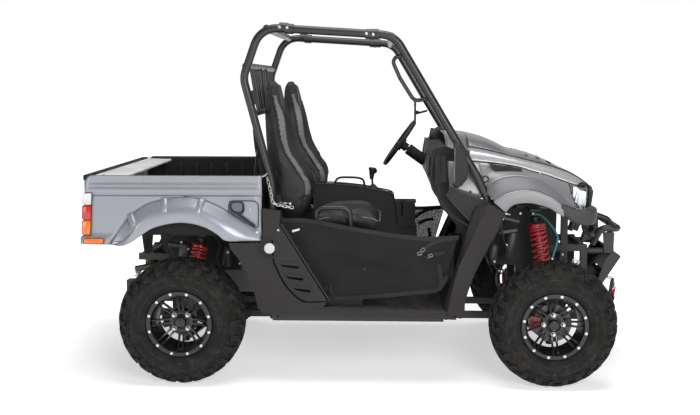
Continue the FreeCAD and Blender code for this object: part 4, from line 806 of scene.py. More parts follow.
@dataclass(frozen=True)
class Vinyl(Finish):
    """Stitched seat vinyl with a leather grain and soft creases."""

    def wire(self, w: Wiring, shader: bpy.types.Node) -> None:
        """Joins the leather cells and the creases to the shader."""
        cells = w.add("TexVoronoi", {"Vector": w.place(), "Scale": self.grain}, feature="DISTANCE_TO_EDGE")
        crease = w.noise(18.0, 6.0, 0.6)
        tone = w.between(cells.outputs["Distance"], 0.0, 0.35)
        colour = w.blend(tone, self.darker(0.35), self.darker(-self.tint))
        colour = w.blend(w.sum("MULTIPLY", w.between(crease, 0.35, 0.7), 0.25), colour, self.darker(-0.5))
        rough = w.between(crease, 0.3, 0.7, self.roughness * 0.85, min(1.0, self.roughness * 1.15))
        height = w.sum("ADD", tone, w.sum("MULTIPLY", crease, 2.5))
        self.finish_off(w, shader, colour, rough, height)


@dataclass(frozen=True)
class Glass(Finish):
    """A clear or coloured lens with moulded ribs."""

    rib: float = 260.0

    def wire(self, w: Wiring, shader: bpy.types.Node) -> None:
        """Makes the shader a plain glass with a ribbed surface."""
        shader.inputs["Base Color"].default_value = (*self.colour, 1.0)
        shader.inputs["Transmission Weight"].default_value = 0.92
        shader.inputs["IOR"].default_value = 1.47
        shader.inputs["Roughness"].default_value = self.roughness
        ribs = group(w, "weave", scale=self.rib).outputs["Height"]
        bump = w.add("Bump", {"Height": ribs, "Distance": self.grain_depth, "Strength": 0.5})
        w.feed(shader.inputs["Normal"], bump.outputs[0])


BLACK_COAT = Finish(
    "black_powder_coat", shade(30, 30, 31), roughness=0.42, grain=1400.0, grain_depth=0.00003,
    wear_colour=shade(120, 120, 122), wear=0.22
)
CAGE_BLACK = Finish(
    "cage_satin_black", shade(29, 28, 29), roughness=0.36, grain=1600.0, grain_depth=0.00003,
    wear_colour=shade(110, 110, 112), wear=0.18
)
CAB_PLASTIC = Finish(
    "cab_dark_plastic", shade(36, 34, 33), gloss=0.34, roughness=0.62, grain=700.0, grain_depth=0.00012,
    wear_colour=shade(105, 101, 98), wear=0.3
)
TRIM_PLASTIC = Finish(
    "trim_black_plastic", shade(21, 20, 20), gloss=0.4, roughness=0.58, grain=760.0, grain_depth=0.00012,
    wear_colour=shade(78, 76, 75), wear=0.25
)
FLARE_PLASTIC = Finish(
    "flare_grey_plastic", shade(104, 104, 110), roughness=0.5, grain=900.0, grain_depth=0.00006,
    wear_colour=shade(150, 150, 155), wear=0.2
)
BED_PAINT = FlakePaint(
    "bed_silver_paint", shade(150, 152, 160), roughness=0.36, metallic=0.35, coat=0.35, tint=0.06, wear=0.15,
    wear_colour=shade(196, 197, 205)
)
# A darker copy of the bed paint for the flare's upper band: painted shade on the top of the flare.
BED_FLARE_PAINTED_SHADE = FlakePaint(
    "bed_flare_painted_shade", shade(116, 117, 122), roughness=0.42, metallic=0.3, coat=0.25, tint=0.06, wear=0.15,
    wear_colour=shade(170, 171, 176)
)
HOOD_PAINT = FlakePaint(
    "hood_silver_paint", shade(172, 172, 174), roughness=0.34, metallic=0.35, coat=0.4, tint=0.06, wear=0.12,
    wear_colour=shade(205, 205, 210)
)
# A darker copy of the silver body paint for the fender and cowl sides: painted shade.
FENDER_PAINTED_SHADE = FlakePaint(
    "fender_painted_shade_grey", shade(136, 136, 137), roughness=0.4, metallic=0.3, coat=0.25, tint=0.06, wear=0.12,
    wear_colour=shade(182, 182, 186)
)
# A darker copy of the hood band's paint for the hood and cowl tops: painted shade on the same paint.
HOOD_TOP_PAINTED_SHADE = FlakePaint(
    "hood_painted_shade_grey", shade(112, 112, 115), roughness=0.4, metallic=0.3, coat=0.3, tint=0.06, wear=0.1,
    wear_colour=shade(160, 160, 164)
)
# A lighter copy of the flare grey for the front flares' upright lips: painted highlight.
FLARE_LIP_PAINTED_HIGHLIGHT = FlakePaint(
    "flare_lip_painted_highlight", shade(132, 132, 134), roughness=0.5, metallic=0.2, coat=0.1, tint=0.06, wear=0.12,
    wear_colour=shade(176, 176, 180)
)
LAMP_RED = Finish(
    "lamp_red_face", shade(206, 24, 20), roughness=0.16, coat=0.7, grain=300.0, grain_depth=0.0004, wear=0.0
)
LAMP_AMBER = Finish(
    "lamp_amber_face", shade(244, 122, 18), roughness=0.16, coat=0.7, grain=300.0, grain_depth=0.0004,
    wear=0.0
)
LAMP_WHITE = Finish(
    "lamp_white_face", shade(226, 228, 230), roughness=0.14, coat=0.7, grain=300.0, grain_depth=0.0004,
    wear=0.0
)
BUMPER_GREY = Finish(
    "bumper_dark_plastic", shade(54, 53, 52), gloss=0.4, roughness=0.5, grain=900.0, grain_depth=0.00006,
    wear_colour=shade(130, 128, 126), wear=0.2
)
TUB_BLACK = Finish(
    "bed_liner_black", shade(24, 24, 25), gloss=0.3, roughness=0.7, grain=320.0, grain_depth=0.0003, wear=0.4,
    wear_colour=shade(88, 86, 84), dust=0.25
)
# Near-black for the louvre openings and the recess line of the quarter panels: painted shade in openings and
# recesses.
SLOT_PAINTED_SHADE = Finish("slot_painted_shade", shade(7, 7, 7), gloss=0.1, roughness=0.9, grain=900.0, wear=0.0, dust=0.0)
RAIL_WHITE = Finish(
    "rail_pale", shade(205, 205, 204), roughness=0.5, grain=1200.0, wear=0.25,
    wear_colour=shade(150, 150, 150)
)
TYRE_RUBBER = Rubber(
    "tyre_rubber", shade(25, 24, 23), gloss=0.2, roughness=0.74, grain=420.0, grain_depth=0.0002, tint=0.14,
    wear=0.5, wear_colour=shade(112, 107, 104), wear_width=0.004
)
BOOT_RUBBER = Rubber(
    "boot_rubber", shade(24, 24, 24), roughness=0.7, grain=900.0, grain_depth=0.00006, wear=0.25,
    wear_colour=shade(60, 60, 60), wear_width=0.002
)
RIM_GLOSS = Finish(
    "rim_gloss_black", shade(8, 8, 9), roughness=0.26, coat=0.1, grain=2000.0, grain_depth=0.00001, wear=0.10,
    wear_colour=shade(120, 120, 124), wear_width=0.0015, dust=0.05
)
MACHINED = Metal(
    "machined_aluminium", shade(206, 207, 210), roughness=0.26, metallic=0.9, grain=2400.0,
    grain_depth=0.00001, tint=0.08, dust=0.05, streak=700.0
)
ZINC = Metal(
    "zinc_plated_steel", shade(196, 196, 194), roughness=0.32, metallic=0.85, grain=1800.0,
    grain_depth=0.00001, tint=0.1, dust=0.08
)
DISC_STEEL = Metal(
    "brake_disc_steel", shade(78, 78, 80), roughness=0.3, metallic=0.9, grain=1500.0, grain_depth=0.00002,
    tint=0.12, dust=0.1
)
CAST_ALLOY = Metal(
    "cast_alloy", shade(124, 124, 123), roughness=0.52, metallic=0.6, grain=520.0, grain_depth=0.00015,
    tint=0.1, dust=0.3
)
DARK_STEEL = Metal(
    "dark_steel", shade(74, 73, 72), roughness=0.5, metallic=0.6, grain=700.0, grain_depth=0.0001, tint=0.16,
    dust=0.35
)
EXHAUST_STEEL = Metal(
    "exhaust_steel", shade(96, 90, 84), roughness=0.45, metallic=0.7, grain=420.0, grain_depth=0.0001,
    tint=0.2, dust=0.3
)
SPRING_RED = Finish(
    "spring_red", shade(168, 15, 22), roughness=0.3, coat=0.5, grain=2000.0, grain_depth=0.00001, tint=0.08,
    wear=0.15, wear_colour=shade(120, 20, 22), dust=0.05
)
CALIPER_RED = Finish(
    "caliper_red", shade(124, 14, 20), roughness=0.38, coat=0.3, grain=800.0, grain_depth=0.00006, tint=0.1,
    wear=0.25, wear_colour=shade(110, 90, 88)
)
SEAT_BLACK = Vinyl("seat_black_vinyl", shade(34, 33, 33), roughness=0.66, grain=420.0, grain_depth=0.0002)
SEAT_GREY = Vinyl("seat_grey_vinyl", shade(108, 108, 110), roughness=0.62, grain=420.0, grain_depth=0.0002)
NET_BLACK = Cloth(
    "net_black", shade(44, 43, 43), gloss=0.3, roughness=0.85, weave=190.0, open_weave=0.95,
    grain_depth=0.0004
)
NET_CLOTH = Cloth("net_cloth", shade(20, 18, 17), gloss=0.22, roughness=0.6, weave=260.0, grain_depth=0.0003)
WEBBING = Cloth("webbing_black", shade(26, 26, 27), roughness=0.8, weave=420.0, grain_depth=0.0003)
STRAP_RED = Cloth("strap_red", shade(176, 20, 22), roughness=0.75, weave=420.0, grain_depth=0.0003)
CLEAR_LENS = Glass("clear_lens", shade(240, 244, 248), roughness=0.03, grain_depth=0.0001)
RED_LENS = Glass("red_lens", shade(214, 22, 18), roughness=0.08, grain_depth=0.0002)
CHROME = Metal(
    "reflector_chrome", shade(228, 230, 234), roughness=0.08, metallic=1.0, grain=2600.0,
    grain_depth=0.000005, tint=0.03, dust=0.0
)
MIRROR_GLASS = Metal(
    "mirror_glass", shade(214, 220, 224), roughness=0.03, metallic=1.0, grain=2600.0, grain_depth=0.000002,
    tint=0.02, dust=0.0
)
HOSE_TEAL = Rubber(
    "hose_teal", shade(24, 122, 128), roughness=0.5, grain=1500.0, grain_depth=0.00004, wear=0.1
)
ROPE_GREY = Cloth("winch_rope", shade(120, 118, 114), roughness=0.8, weave=600.0, grain_depth=0.0005)


# ---------------------------------------------------------------- wheels


@dataclass
class Wheel:
    """A tyre with lugs on a gloss rim with a bolted bead ring.

    Made round the origin with its outer face towards -Y, then set on its axle. Each row of
    lugs holds the foot's radius, half the width and the lean, both as shares of a pitch.
    """

    label: str
    body: Body
    axle_x: float
    side: int
    width: float
    nodes: tuple[str, str]
    spin_deg: float = 0.0
    nut_deg: float = 45.0
    tyre_r: float = 0.330
    outer_y: float = 0.750
    bead_r: float = 0.160
    ring_r: float = 0.172
    face_y: float = 0.727
    recess: float = 0.060
    hub_r: float = 0.062
    pitch_count: int = 26
    lugs: tuple[Point, ...] = ((0.262, 0.27, 0.10), (0.279, 0.20, -0.06), (0.270, 0.24, 0.02))
    bolt_count: int = 12
    bolt_circle_r: float = 0.1605
    first_bolt_deg: float = 15.0
    nut_count: int = 4
    nut_circle_r: float = 0.0500
    spoke_pairs: int = 8
    spoke_root_r: float = 0.050
    spoke_stations: int = 9
    disc_r: float = 0.100
    disc_inset: float = 0.0963
    disc_holes: int = 24

    def build(self) -> None:
        """Makes the tyre, the rim, the bolts and the brake disc."""
        self.build_tyre()
        self.build_rim()
        self.build_bolts()
        self.build_disc()

    @property
    def stand(self) -> Matrix:
        """Returns the matrix that sets a right-hand wheel on this axle."""
        spin = Matrix.Rotation(math.radians(self.spin_deg), 4, "Y")
        return to_side(self.side) @ Matrix.Translation((self.axle_x, 0.0, AXLE_Z)) @ spin

    def place(self, shape: Shape) -> Shape:
        """Returns a copy of a shape set on this axle."""
        return Shape().merge(shape, self.stand)

    def section(self) -> list[Row]:
        """Returns the casing's outer section as (radius, y) rows, outer bead first."""
        out = -self.outer_y
        inner = out + self.width
        mid = (out + inner) / 2
        wall = [
            (self.ring_r + 0.001, out + 0.030), (self.ring_r + 0.004, out + 0.0225),
            (self.ring_r + 0.013, out + 0.0135), (0.196, out + 0.0062), (0.204, out + 0.0040),
            (0.2045, out + 0.0018), (0.2105, out + 0.0016), (0.211, out + 0.0030), (0.224, out + 0.0012),
            (0.243, out + 0.0006), (0.2434, out - 0.0012), (0.2480, out - 0.0011), (0.2484, out + 0.0008),
            (0.262, out + 0.0050), (0.271, out + 0.0095), (0.279, out + 0.0160), (0.287, out + 0.0250),
            (0.2945, out + 0.0360), (0.3025, out + 0.0540), (0.3090, out + 0.0760)
        ]
        far = [(r, inner - (y - out)) for r, y in reversed(wall)]
        return wall + [(0.3110, mid)] + far

    def build_tyre(self) -> None:
        """Turns the casing and moulds the lugs of the tread on it."""
        shape = Shape()
        outer = self.section()
        inner = [(self.bead_r, -self.outer_y + self.width - 0.034), (self.bead_r, -self.outer_y + 0.034)]
        shape.lathe([(r, y) for r, y in outer] + inner, ORIGIN, Y_AXIS, 96, closed=True)
        self.add_lugs(shape)
        self.place(shape).done(
            f"tyre_{self.label}", self.body, [TYRE_RUBBER], "tyre", sharp=32, stands_for=(self.nodes[0],)
        )

    def add_lugs(self, shape: Shape) -> None:
        """Adds the blocks of the tread, in two mirrored halves out of step.

        Args:
            shape: the tyre's shape.
        """
        half = self.width / 2
        mid = -self.outer_y + half
        for half_turn, sign in ((0.0, -1), (0.5, 1)):
            for k in range(self.pitch_count):
                at = math.tau * (k + half_turn) / self.pitch_count
                step = math.tau / self.pitch_count
                reach, wide, lean = self.lugs[k % len(self.lugs)]
                self.lug(shape, at, step * wide, mid, sign, half, reach, step * lean)
                self.block(
                    shape, at + step * 0.50, step * 0.20, mid + sign * half * 0.40, half * 0.20,
                    sign * step * 0.22
                )
                self.block(
                    shape, at + step * 0.05, step * 0.26, mid + sign * half * 0.13, half * 0.13,
                    sign * step * 0.16
                )

    def lug(
        self, shape: Shape, at: float, spread: float, mid: float, sign: int, half: float, reach: float,
        lean: float
    ) -> None:
        """Adds one shoulder lug that runs from the tread down the side wall.

        Args:
            shape: the tyre's shape.
            at: its angle round the tyre.
            spread: half its width, as an angle.
            mid: the tyre's middle plane.
            sign: which shoulder it stands on.
            half: half the tyre's width.
            reach: the radius where its foot ends on the side wall.
            lean: how far it leans round the tyre from foot to top.
        """
        top = self.tyre_r - 0.0006
        rows = [
            (0.297, half * 0.56, 1.00), (self.crown(half * 0.42) - 0.001, half * 0.58, 0.84),
            (self.crown(half * 0.28), half * 0.72, 0.84), (self.crown(0.026), half - 0.026, 0.86),
            (self.crown(0.012), half - 0.012, 0.88), (0.2830, half - 0.0030, 0.86),
            (reach + 0.004, half + 0.0012, 0.74), (reach, half - 0.0035, 0.66),
            (reach - 0.002, half - 0.016, 0.74), (0.284, half - 0.030, 1.0)
        ]
        left, right = [], []
        for r, y, share in rows:
            drift = lean * (r - reach) / (top - reach)
            for out, angle in ((left, at + drift - spread * share), (right, at + drift + spread * share)):
                out.append((r * math.cos(angle), mid + sign * y, r * math.sin(angle)))
        shape.rings([left, right])

    @staticmethod
    def crown(inset: float) -> float:
        """Returns the tread's outer radius at a distance in from the tyre's side."""
        table = (
            (0.0, 0.268), (0.0025, 0.280), (0.009, 0.2865), (0.020, 0.3000), (0.038, 0.3133), (0.055, 0.3215),
            (0.075, 0.3275), (0.100, 0.3294), (0.200, 0.3296)
        )
        for (a, low), (b, high) in zip(table, table[1:]):
            if inset <= b:
                return low + (high - low) * max(0.0, inset - a) / (b - a)
        return table[-1][1]

    def block(self, shape: Shape, at: float, spread: float, y: float, half_y: float, skew: float) -> None:
        """Adds one block of the tread's middle.

        Args:
            shape: the tyre's shape.
            at: its angle round the tyre.
            spread: half its width, as an angle.
            y: its middle across the tyre.
            half_y: half its size across the tyre.
            skew: how far its two ends are out of line.
        """
        rings = []
        for r, share in ((0.305, 1.12), (self.tyre_r - 0.0015, 0.94), (self.tyre_r - 0.0004, 0.86)):
            ring = []
            for a, b in (
                (-1, -0.7), (-0.5, -1), (0.8, -1), (1, -0.5), (1, 0.8), (0.5, 1), (-0.8, 1), (-1, 0.5)
            ):
                angle = at + a * spread * share + skew * b
                across = y + b * half_y * share
                edge = self.width / 2 - abs(across + self.outer_y - self.width / 2)
                rise = min(r, self.crown(edge) - (0.013 if r < 0.31 else 0.0004))
                ring.append((rise * math.cos(angle), across, rise * math.sin(angle)))
            rings.append(ring)
        shape.rings(rings)

    def build_rim(self) -> None:
        """Turns the barrel, the bead ring and the hub, and adds the spokes."""
        shape = Shape()
        out = -self.outer_y
        face = -self.face_y
        inner = out + self.width
        lip = self.bead_r - 0.0003
        shape.lathe(
            [
                (self.ring_r, out + 0.0285), (self.ring_r, face - 0.001),
                (self.ring_r - 0.002, face - 0.0030), (self.ring_r - 0.020, face - 0.0030),
                (self.ring_r - 0.0225, face - 0.0012), (self.ring_r - 0.0240, face + 0.003),
                (lip - 0.0150, face + 0.010), (lip - 0.0150, face + 0.030), (lip - 0.024, face + 0.055),
                (lip - 0.024, inner - 0.075), (lip - 0.010, inner - 0.052), (lip - 0.008, inner - 0.036),
                (self.ring_r - 0.001, inner - 0.032), (self.ring_r, inner - 0.0285), (lip, inner - 0.034),
                (lip - 0.004, inner - 0.048), (lip - 0.018, inner - 0.070), (lip - 0.018, face + 0.058),
                (lip, face + 0.034), (lip, out + 0.034)
            ],
            ORIGIN, Y_AXIS, 96, closed=True
        )
        hub_y = face + self.recess
        shape.lathe(
            [
                (0.0005, hub_y + 0.016), (self.hub_r, hub_y + 0.016), (self.hub_r + 0.003, hub_y + 0.008),
                (self.hub_r - 0.002, hub_y + 0.001), (self.hub_r - 0.012, hub_y - 0.002),
                (0.040, hub_y - 0.002), (0.036, hub_y - 0.006), (0.031, hub_y - 0.007),
                (0.030, hub_y - 0.026), (0.028, hub_y - 0.030), (0.0245, hub_y - 0.0325),
                (0.022, hub_y - 0.0315), (0.012, hub_y - 0.0335), (0.0005, hub_y - 0.034)
            ],
            ORIGIN, Y_AXIS, 64
        )
        for k in range(self.spoke_pairs):
            for lean in (-1, 1):
                self.spoke(shape, math.tau * k / self.spoke_pairs, lean, hub_y, face, lip - 0.012)
        self.place(shape).done(
            f"rim_{self.label}", self.body, [RIM_GLOSS, MACHINED], "rim_black", bevel=0.0009, sharp=28,
            stands_for=(self.nodes[1],)
        )

    def spoke(self, shape: Shape, at: float, lean: int, hub_y: float, face: float, end_r: float) -> None:
        """Adds one blade of a split spoke, with a bright line along its edge.

        Args:
            shape: the rim's shape.
            at: the angle of the pair's middle.
            lean: which blade of the pair.
            hub_y: the hub's face.
            face: the bead ring's face.
            end_r: the radius where it meets the barrel.
        """
        rows = []
        for k in range(self.spoke_stations):
            t = k / (self.spoke_stations - 1)
            r = self.spoke_root_r + (end_r - self.spoke_root_r) * t
            open_by = 0.0098 + 0.0042 * t
            y = hub_y + 0.001 - (hub_y - face - 0.0065) * (0.12 * t + 0.88 * t ** 1.7)
            wide = 0.0058 - 0.0010 * t + (0.0035 * (1 - t) ** 6)
            deep = 0.013 + 0.001 * t
            rows.append((r, lean * open_by, y, wide, deep))
        radial = Vector((math.cos(at), 0, math.sin(at)))
        across = Vector((-math.sin(at), 0, math.cos(at)))
        rings = []
        for r, off, y, wide, deep in rows:
            centre = radial * r + across * off
            ring = []
            for a, b in (
                (-1, 1), (-1, 0.22), (-0.72, 0.04), (-0.35, 0.0), (0.35, 0.0), (0.72, 0.04), (1, 0.22), (1, 1)
            ):
                ring.append(centre + across * (a * wide) + Vector((0, y + b * deep, 0)))
            rings.append(ring)
        shape.rings(rings)
        edge = []
        for r, off, y, wide, _ in rows[1:-1]:
            centre = radial * r + across * (off + lean * wide * 0.52)
            edge.append([
                centre + across * (a * 0.0009) + Vector((0, y + 0.0002 - lift, 0))
                for a, lift in ((-1, -0.001), (-1, 0.0006), (1, 0.0006), (1, -0.001))
            ])
        shape.rings(edge, mark=1)

    def build_bolts(self) -> None:
        """Sets the ring bolts of the bead ring, the lug nuts and the valve."""
        shape = Shape()
        bolt = Shape().merge(hex_bolt(0.0062, 0.0052, 1.3))
        for k in range(self.bolt_count):
            a = math.radians(self.first_bolt_deg) + math.tau * k / self.bolt_count
            x, z = self.bolt_circle_r * math.cos(a), self.bolt_circle_r * math.sin(a)
            point = (x, -self.face_y - 0.0028, z)
            shape.merge(bolt, facing(point, TO_THE_RIGHT) @ Matrix.Rotation(k * 0.7, 4, "Z"))
        nut = Shape().lathe(
            [
                (0.0118, 0.0), (0.0118, 0.004), (0.0100, 0.006), (0.0098, 0.019), (0.0078, 0.024),
                (0.003, 0.0255)
            ],
            ORIGIN, Z_AXIS, 6
        )
        nut.lathe([(0.0132, -0.002), (0.0132, 0.0030), (0.0120, 0.0042)], ORIGIN, Z_AXIS, 20)
        hub_y = -self.face_y + self.recess - 0.0015
        for k in range(self.nut_count):
            a = math.radians(self.nut_deg) + math.tau * k / self.nut_count
            x, z = self.nut_circle_r * math.cos(a), self.nut_circle_r * math.sin(a)
            shape.merge(nut, facing((x, hub_y, z), TO_THE_RIGHT))
        self.place(shape).done(f"wheel_bolts_{self.label}", self.body, [MACHINED], "steel", sharp=25)
        valve = Shape()
        foot = Vector((0.006, -self.face_y + 0.030, -0.136))
        valve.lathe(
            [
                (0.0066, 0.0), (0.0050, 0.004), (0.0042, 0.020), (0.0042, 0.031), (0.0050, 0.0315),
                (0.0050, 0.041), (0.0030, 0.0430)
            ],
            foot, Vector((0, -1, 0.12)), 14
        )
        self.place(valve).done(f"valve_{self.label}", self.body, [BOOT_RUBBER], "rubber", sharp=30)

    def build_disc(self) -> None:
        """Turns the brake disc, with dark dots as painted shade for its drilled holes, and its bell behind
        the spokes.
        """
        shape = Shape()
        disc_y = -self.face_y + self.disc_inset
        hub_y = disc_y - 0.024
        out = self.disc_r
        shape.lathe(
            [
                (0.019, disc_y - 0.0025), (0.019, hub_y), (0.051, hub_y), (0.046, disc_y - 0.0025),
                (out - 0.001, disc_y - 0.0025), (out, disc_y - 0.0015), (out, disc_y + 0.0015),
                (out - 0.001, disc_y + 0.0025), (0.044, disc_y + 0.0025), (0.042, disc_y - 0.0005),
                (0.019, disc_y - 0.0005)
            ],
            ORIGIN, Y_AXIS, 72, closed=True
        )
        # Each drilled hole is a dark dot on the disc face: painted shade of the hole.
        painted_hole_shade = [(0.0032, 0.0), (0.0030, 0.0007), (0.0005, 0.0007)]
        for k in range(self.disc_holes):
            a = math.tau * k / self.disc_holes
            r = 0.062 + 0.010 * (k % 3)
            shape.lathe(
                painted_hole_shade, Vector((r * math.cos(a), disc_y - 0.0027, r * math.sin(a))), TO_THE_RIGHT, 10, mark=1
            )
        self.place(shape).done(
            f"brake_disc_{self.label}", self.body, [DISC_STEEL, TRIM_PLASTIC], "steel", sharp=30
        )


@dataclass
class Caliper:
    """The red brake caliper that shows between the spokes, with its bridge and bolts."""

    label: str
    body: Body
    axle_x: float
    side: int
    disc_y: float = 0.6307
    reach: Row = (0.056, 0.118)
    look: "Finish" = CALIPER_RED

    def build(self) -> None:
        """Makes both halves, the bridge and the bolts."""
        shape = Shape()
        near, far = self.reach
        for y0, y1, bolted in (
            (-self.disc_y - 0.0195, -self.disc_y - 0.0039, True),
            (-self.disc_y + 0.0039, -self.disc_y + 0.022, False)
        ):
            outline = [
                (-near, -0.0275), (-near, 0.0275), (-0.080, 0.036), (-far, 0.0385), (-far, -0.0385),
                (-0.080, -0.036)
            ]
            shape.prism(outline, y0, y1)
            if bolted:
                for z in (-0.019, 0.019):
                    shape.lathe(
                        [(0.013, 0.0), (0.013, 0.003), (0.011, 0.0045), (0.004, 0.005)],
                        Vector((-0.092, y0, z)), TO_THE_RIGHT, 20
                    )
        shape.box((-far - 0.002, -self.disc_y - 0.018, -0.026), (-far + 0.010, -self.disc_y + 0.018, 0.026))
        moved = Matrix.Translation((self.axle_x, 0, AXLE_Z))
        placed = Shape().merge(shape, to_side(self.side) @ moved)
        placed.done(f"caliper_{self.label}", self.body, [self.look], "red_paint", bevel=0.002, sharp=30)


WHEELS = tuple(
    Wheel(
        f"{end}_{label}", Body[f"WHEEL_{end}_{label}".upper()], axle_x, side, width,
        (f"tyre_{end}_{label}", f"rim_{end}_{label}"), spin_deg, nut_deg, disc_r=disc_r,
    )
    for end, label, axle_x, side, width, spin_deg, nut_deg, disc_r in (
        ("front", "right", FRONT_AXLE_X, -1, 0.230, -4.0, -3.0, 0.100),
        ("front", "left", FRONT_AXLE_X, 1, 0.230, 11.0, 45.0, 0.100),
        ("rear", "right", REAR_AXLE_X, -1, 0.270, 0.0, 45.0, 0.080),
        ("rear", "left", REAR_AXLE_X, 1, 0.270, 19.0, 45.0, 0.080),
    )
)
CALIPERS = (
    Caliper("front_right", Body.KNUCKLE_RIGHT, FRONT_AXLE_X, -1),
    Caliper("front_left", Body.KNUCKLE_LEFT, FRONT_AXLE_X, 1),
    Caliper("rear_right", Body.CHASSIS, REAR_AXLE_X, -1, reach=(0.058, 0.096), look=TRIM_PLASTIC),
    Caliper("rear_left", Body.CHASSIS, REAR_AXLE_X, 1, reach=(0.058, 0.096), look=TRIM_PLASTIC),
)


# ---------------------------------------------------------------- shocks


@dataclass
class CoilOver:
    """One coil-over shock: eyes, body, rod and a wound red spring."""

    label: str
    top: Point
    foot: Point
    turns: float = 7.5
    coil_r: float = 0.038
    wire_r: float = 0.0082
    body_r: float = 0.024
    coil_from: float = 0.046
    coil_to: float = 0.048
    points_per_turn: int = 22

    def build(self) -> None:
        """Makes the metal parts and the spring."""
        start, end = Vector(self.top), Vector(self.foot)
        run = end - start
        length = run.length
        metal = Shape()
        metal.lathe(
            [
                (0.010, 0.004), (self.body_r - 0.004, 0.010), (self.body_r, 0.016), (self.body_r, 0.055),
                (self.body_r + 0.004, 0.057), (self.body_r + 0.004, 0.066), (self.body_r - 0.001, 0.068),
                (self.body_r - 0.001, length * 0.56), (self.body_r - 0.005, length * 0.57),
                (0.0085, length * 0.575), (0.0085, length - 0.050), (0.022, length - 0.044),
                (0.020, length - 0.020), (0.010, length - 0.012)
            ],
            start, run, 28
        )
        for h in (0.024, 0.031, 0.038, 0.045):
            metal.lathe(
                [
                    (self.body_r - 0.001, h), (self.body_r + 0.003, h + 0.0014),
                    (self.body_r - 0.001, h + 0.0028)
                ],
                start, run, 28
            )
        for point in (start, end):
            metal.lathe(
                [(0.0168, -0.017), (0.0168, 0.017), (0.0085, 0.018), (0.0085, -0.018)], point, X_AXIS, 24,
                closed=True
            )
            metal.lathe([(0.0120, -0.022), (0.0120, 0.022), (0.0040, 0.024)], point, X_AXIS, 6)
        seats, deep = Shape(), 0.006
        for h in (0.040, length - self.coil_to):
            seats.lathe(
                [
                    (0.010, h), (self.coil_r + 0.008, h), (self.coil_r + 0.009, h + 0.002),
                    (self.coil_r + 0.009, h + deep - 0.002), (self.coil_r + 0.007, h + deep),
                    (0.010, h + deep)
                ],
                start, run, 32
            )
        core = Shape().lathe(
            [(0.010, 0.056), (0.031, 0.056), (0.031, length - 0.052), (0.010, length - 0.052)], start, run, 28
        )
        core.done(f"shock_sleeve_{self.label}", Body.CHASSIS, [CALIPER_RED], "red_paint", sharp=30)
        metal.done(
            f"shock_body_{self.label}", Body.CHASSIS, [DARK_STEEL], "steel", sharp=30, stands_for=("shocks",)
        )
        seats.done(f"shock_seats_{self.label}", Body.CHASSIS, [BLACK_COAT], "black_metal", sharp=30)
        self.spring(start, run.normalized(), self.coil_from, length - self.coil_to)

    def spring(self, start: Vector, along: Vector, first: float, last: float) -> None:
        """Winds the spring, closed at its ends.

        Args:
            start: the top eye.
            along: the direction to the bottom eye.
            first: distance of its first turn from the top.
            last: distance of its last turn.
        """
        side = along.orthogonal().normalized()
        up = along.cross(side)
        path = []
        count = int(self.turns * self.points_per_turn)
        first += self.wire_r
        last -= self.wire_r
        for k in range(count + 1):
            t = k / count
            a = math.tau * self.turns * t
            ease = t - math.sin(math.tau * t) / (math.tau * 1.18)
            h = first + (last - first) * ease
            path.append(start + along * h + (side * math.cos(a) + up * math.sin(a)) * self.coil_r)
        Shape().tube(path, self.wire_r, 10).done(
            f"spring_{self.label}", Body.CHASSIS, [SPRING_RED], "red_paint", sharp=40
        )


SHOCKS = tuple(
    CoilOver(
        f"{end}_{'left' if side > 0 else 'right'}", (x + lean, side * 0.352, top), (x, side * foot_y, 0.4713),
        turns
    ) for end,
    x, lean, top, foot_y,
    turns in (
        ("front", FRONT_AXLE_X, -0.062, 0.862, 0.4021, 16.5),
        ("rear", REAR_AXLE_X, 0.062, 0.735, 0.4021, 11.0)
    ) for side in SIDES
)


# ---------------------------------------------------------------- cargo bed


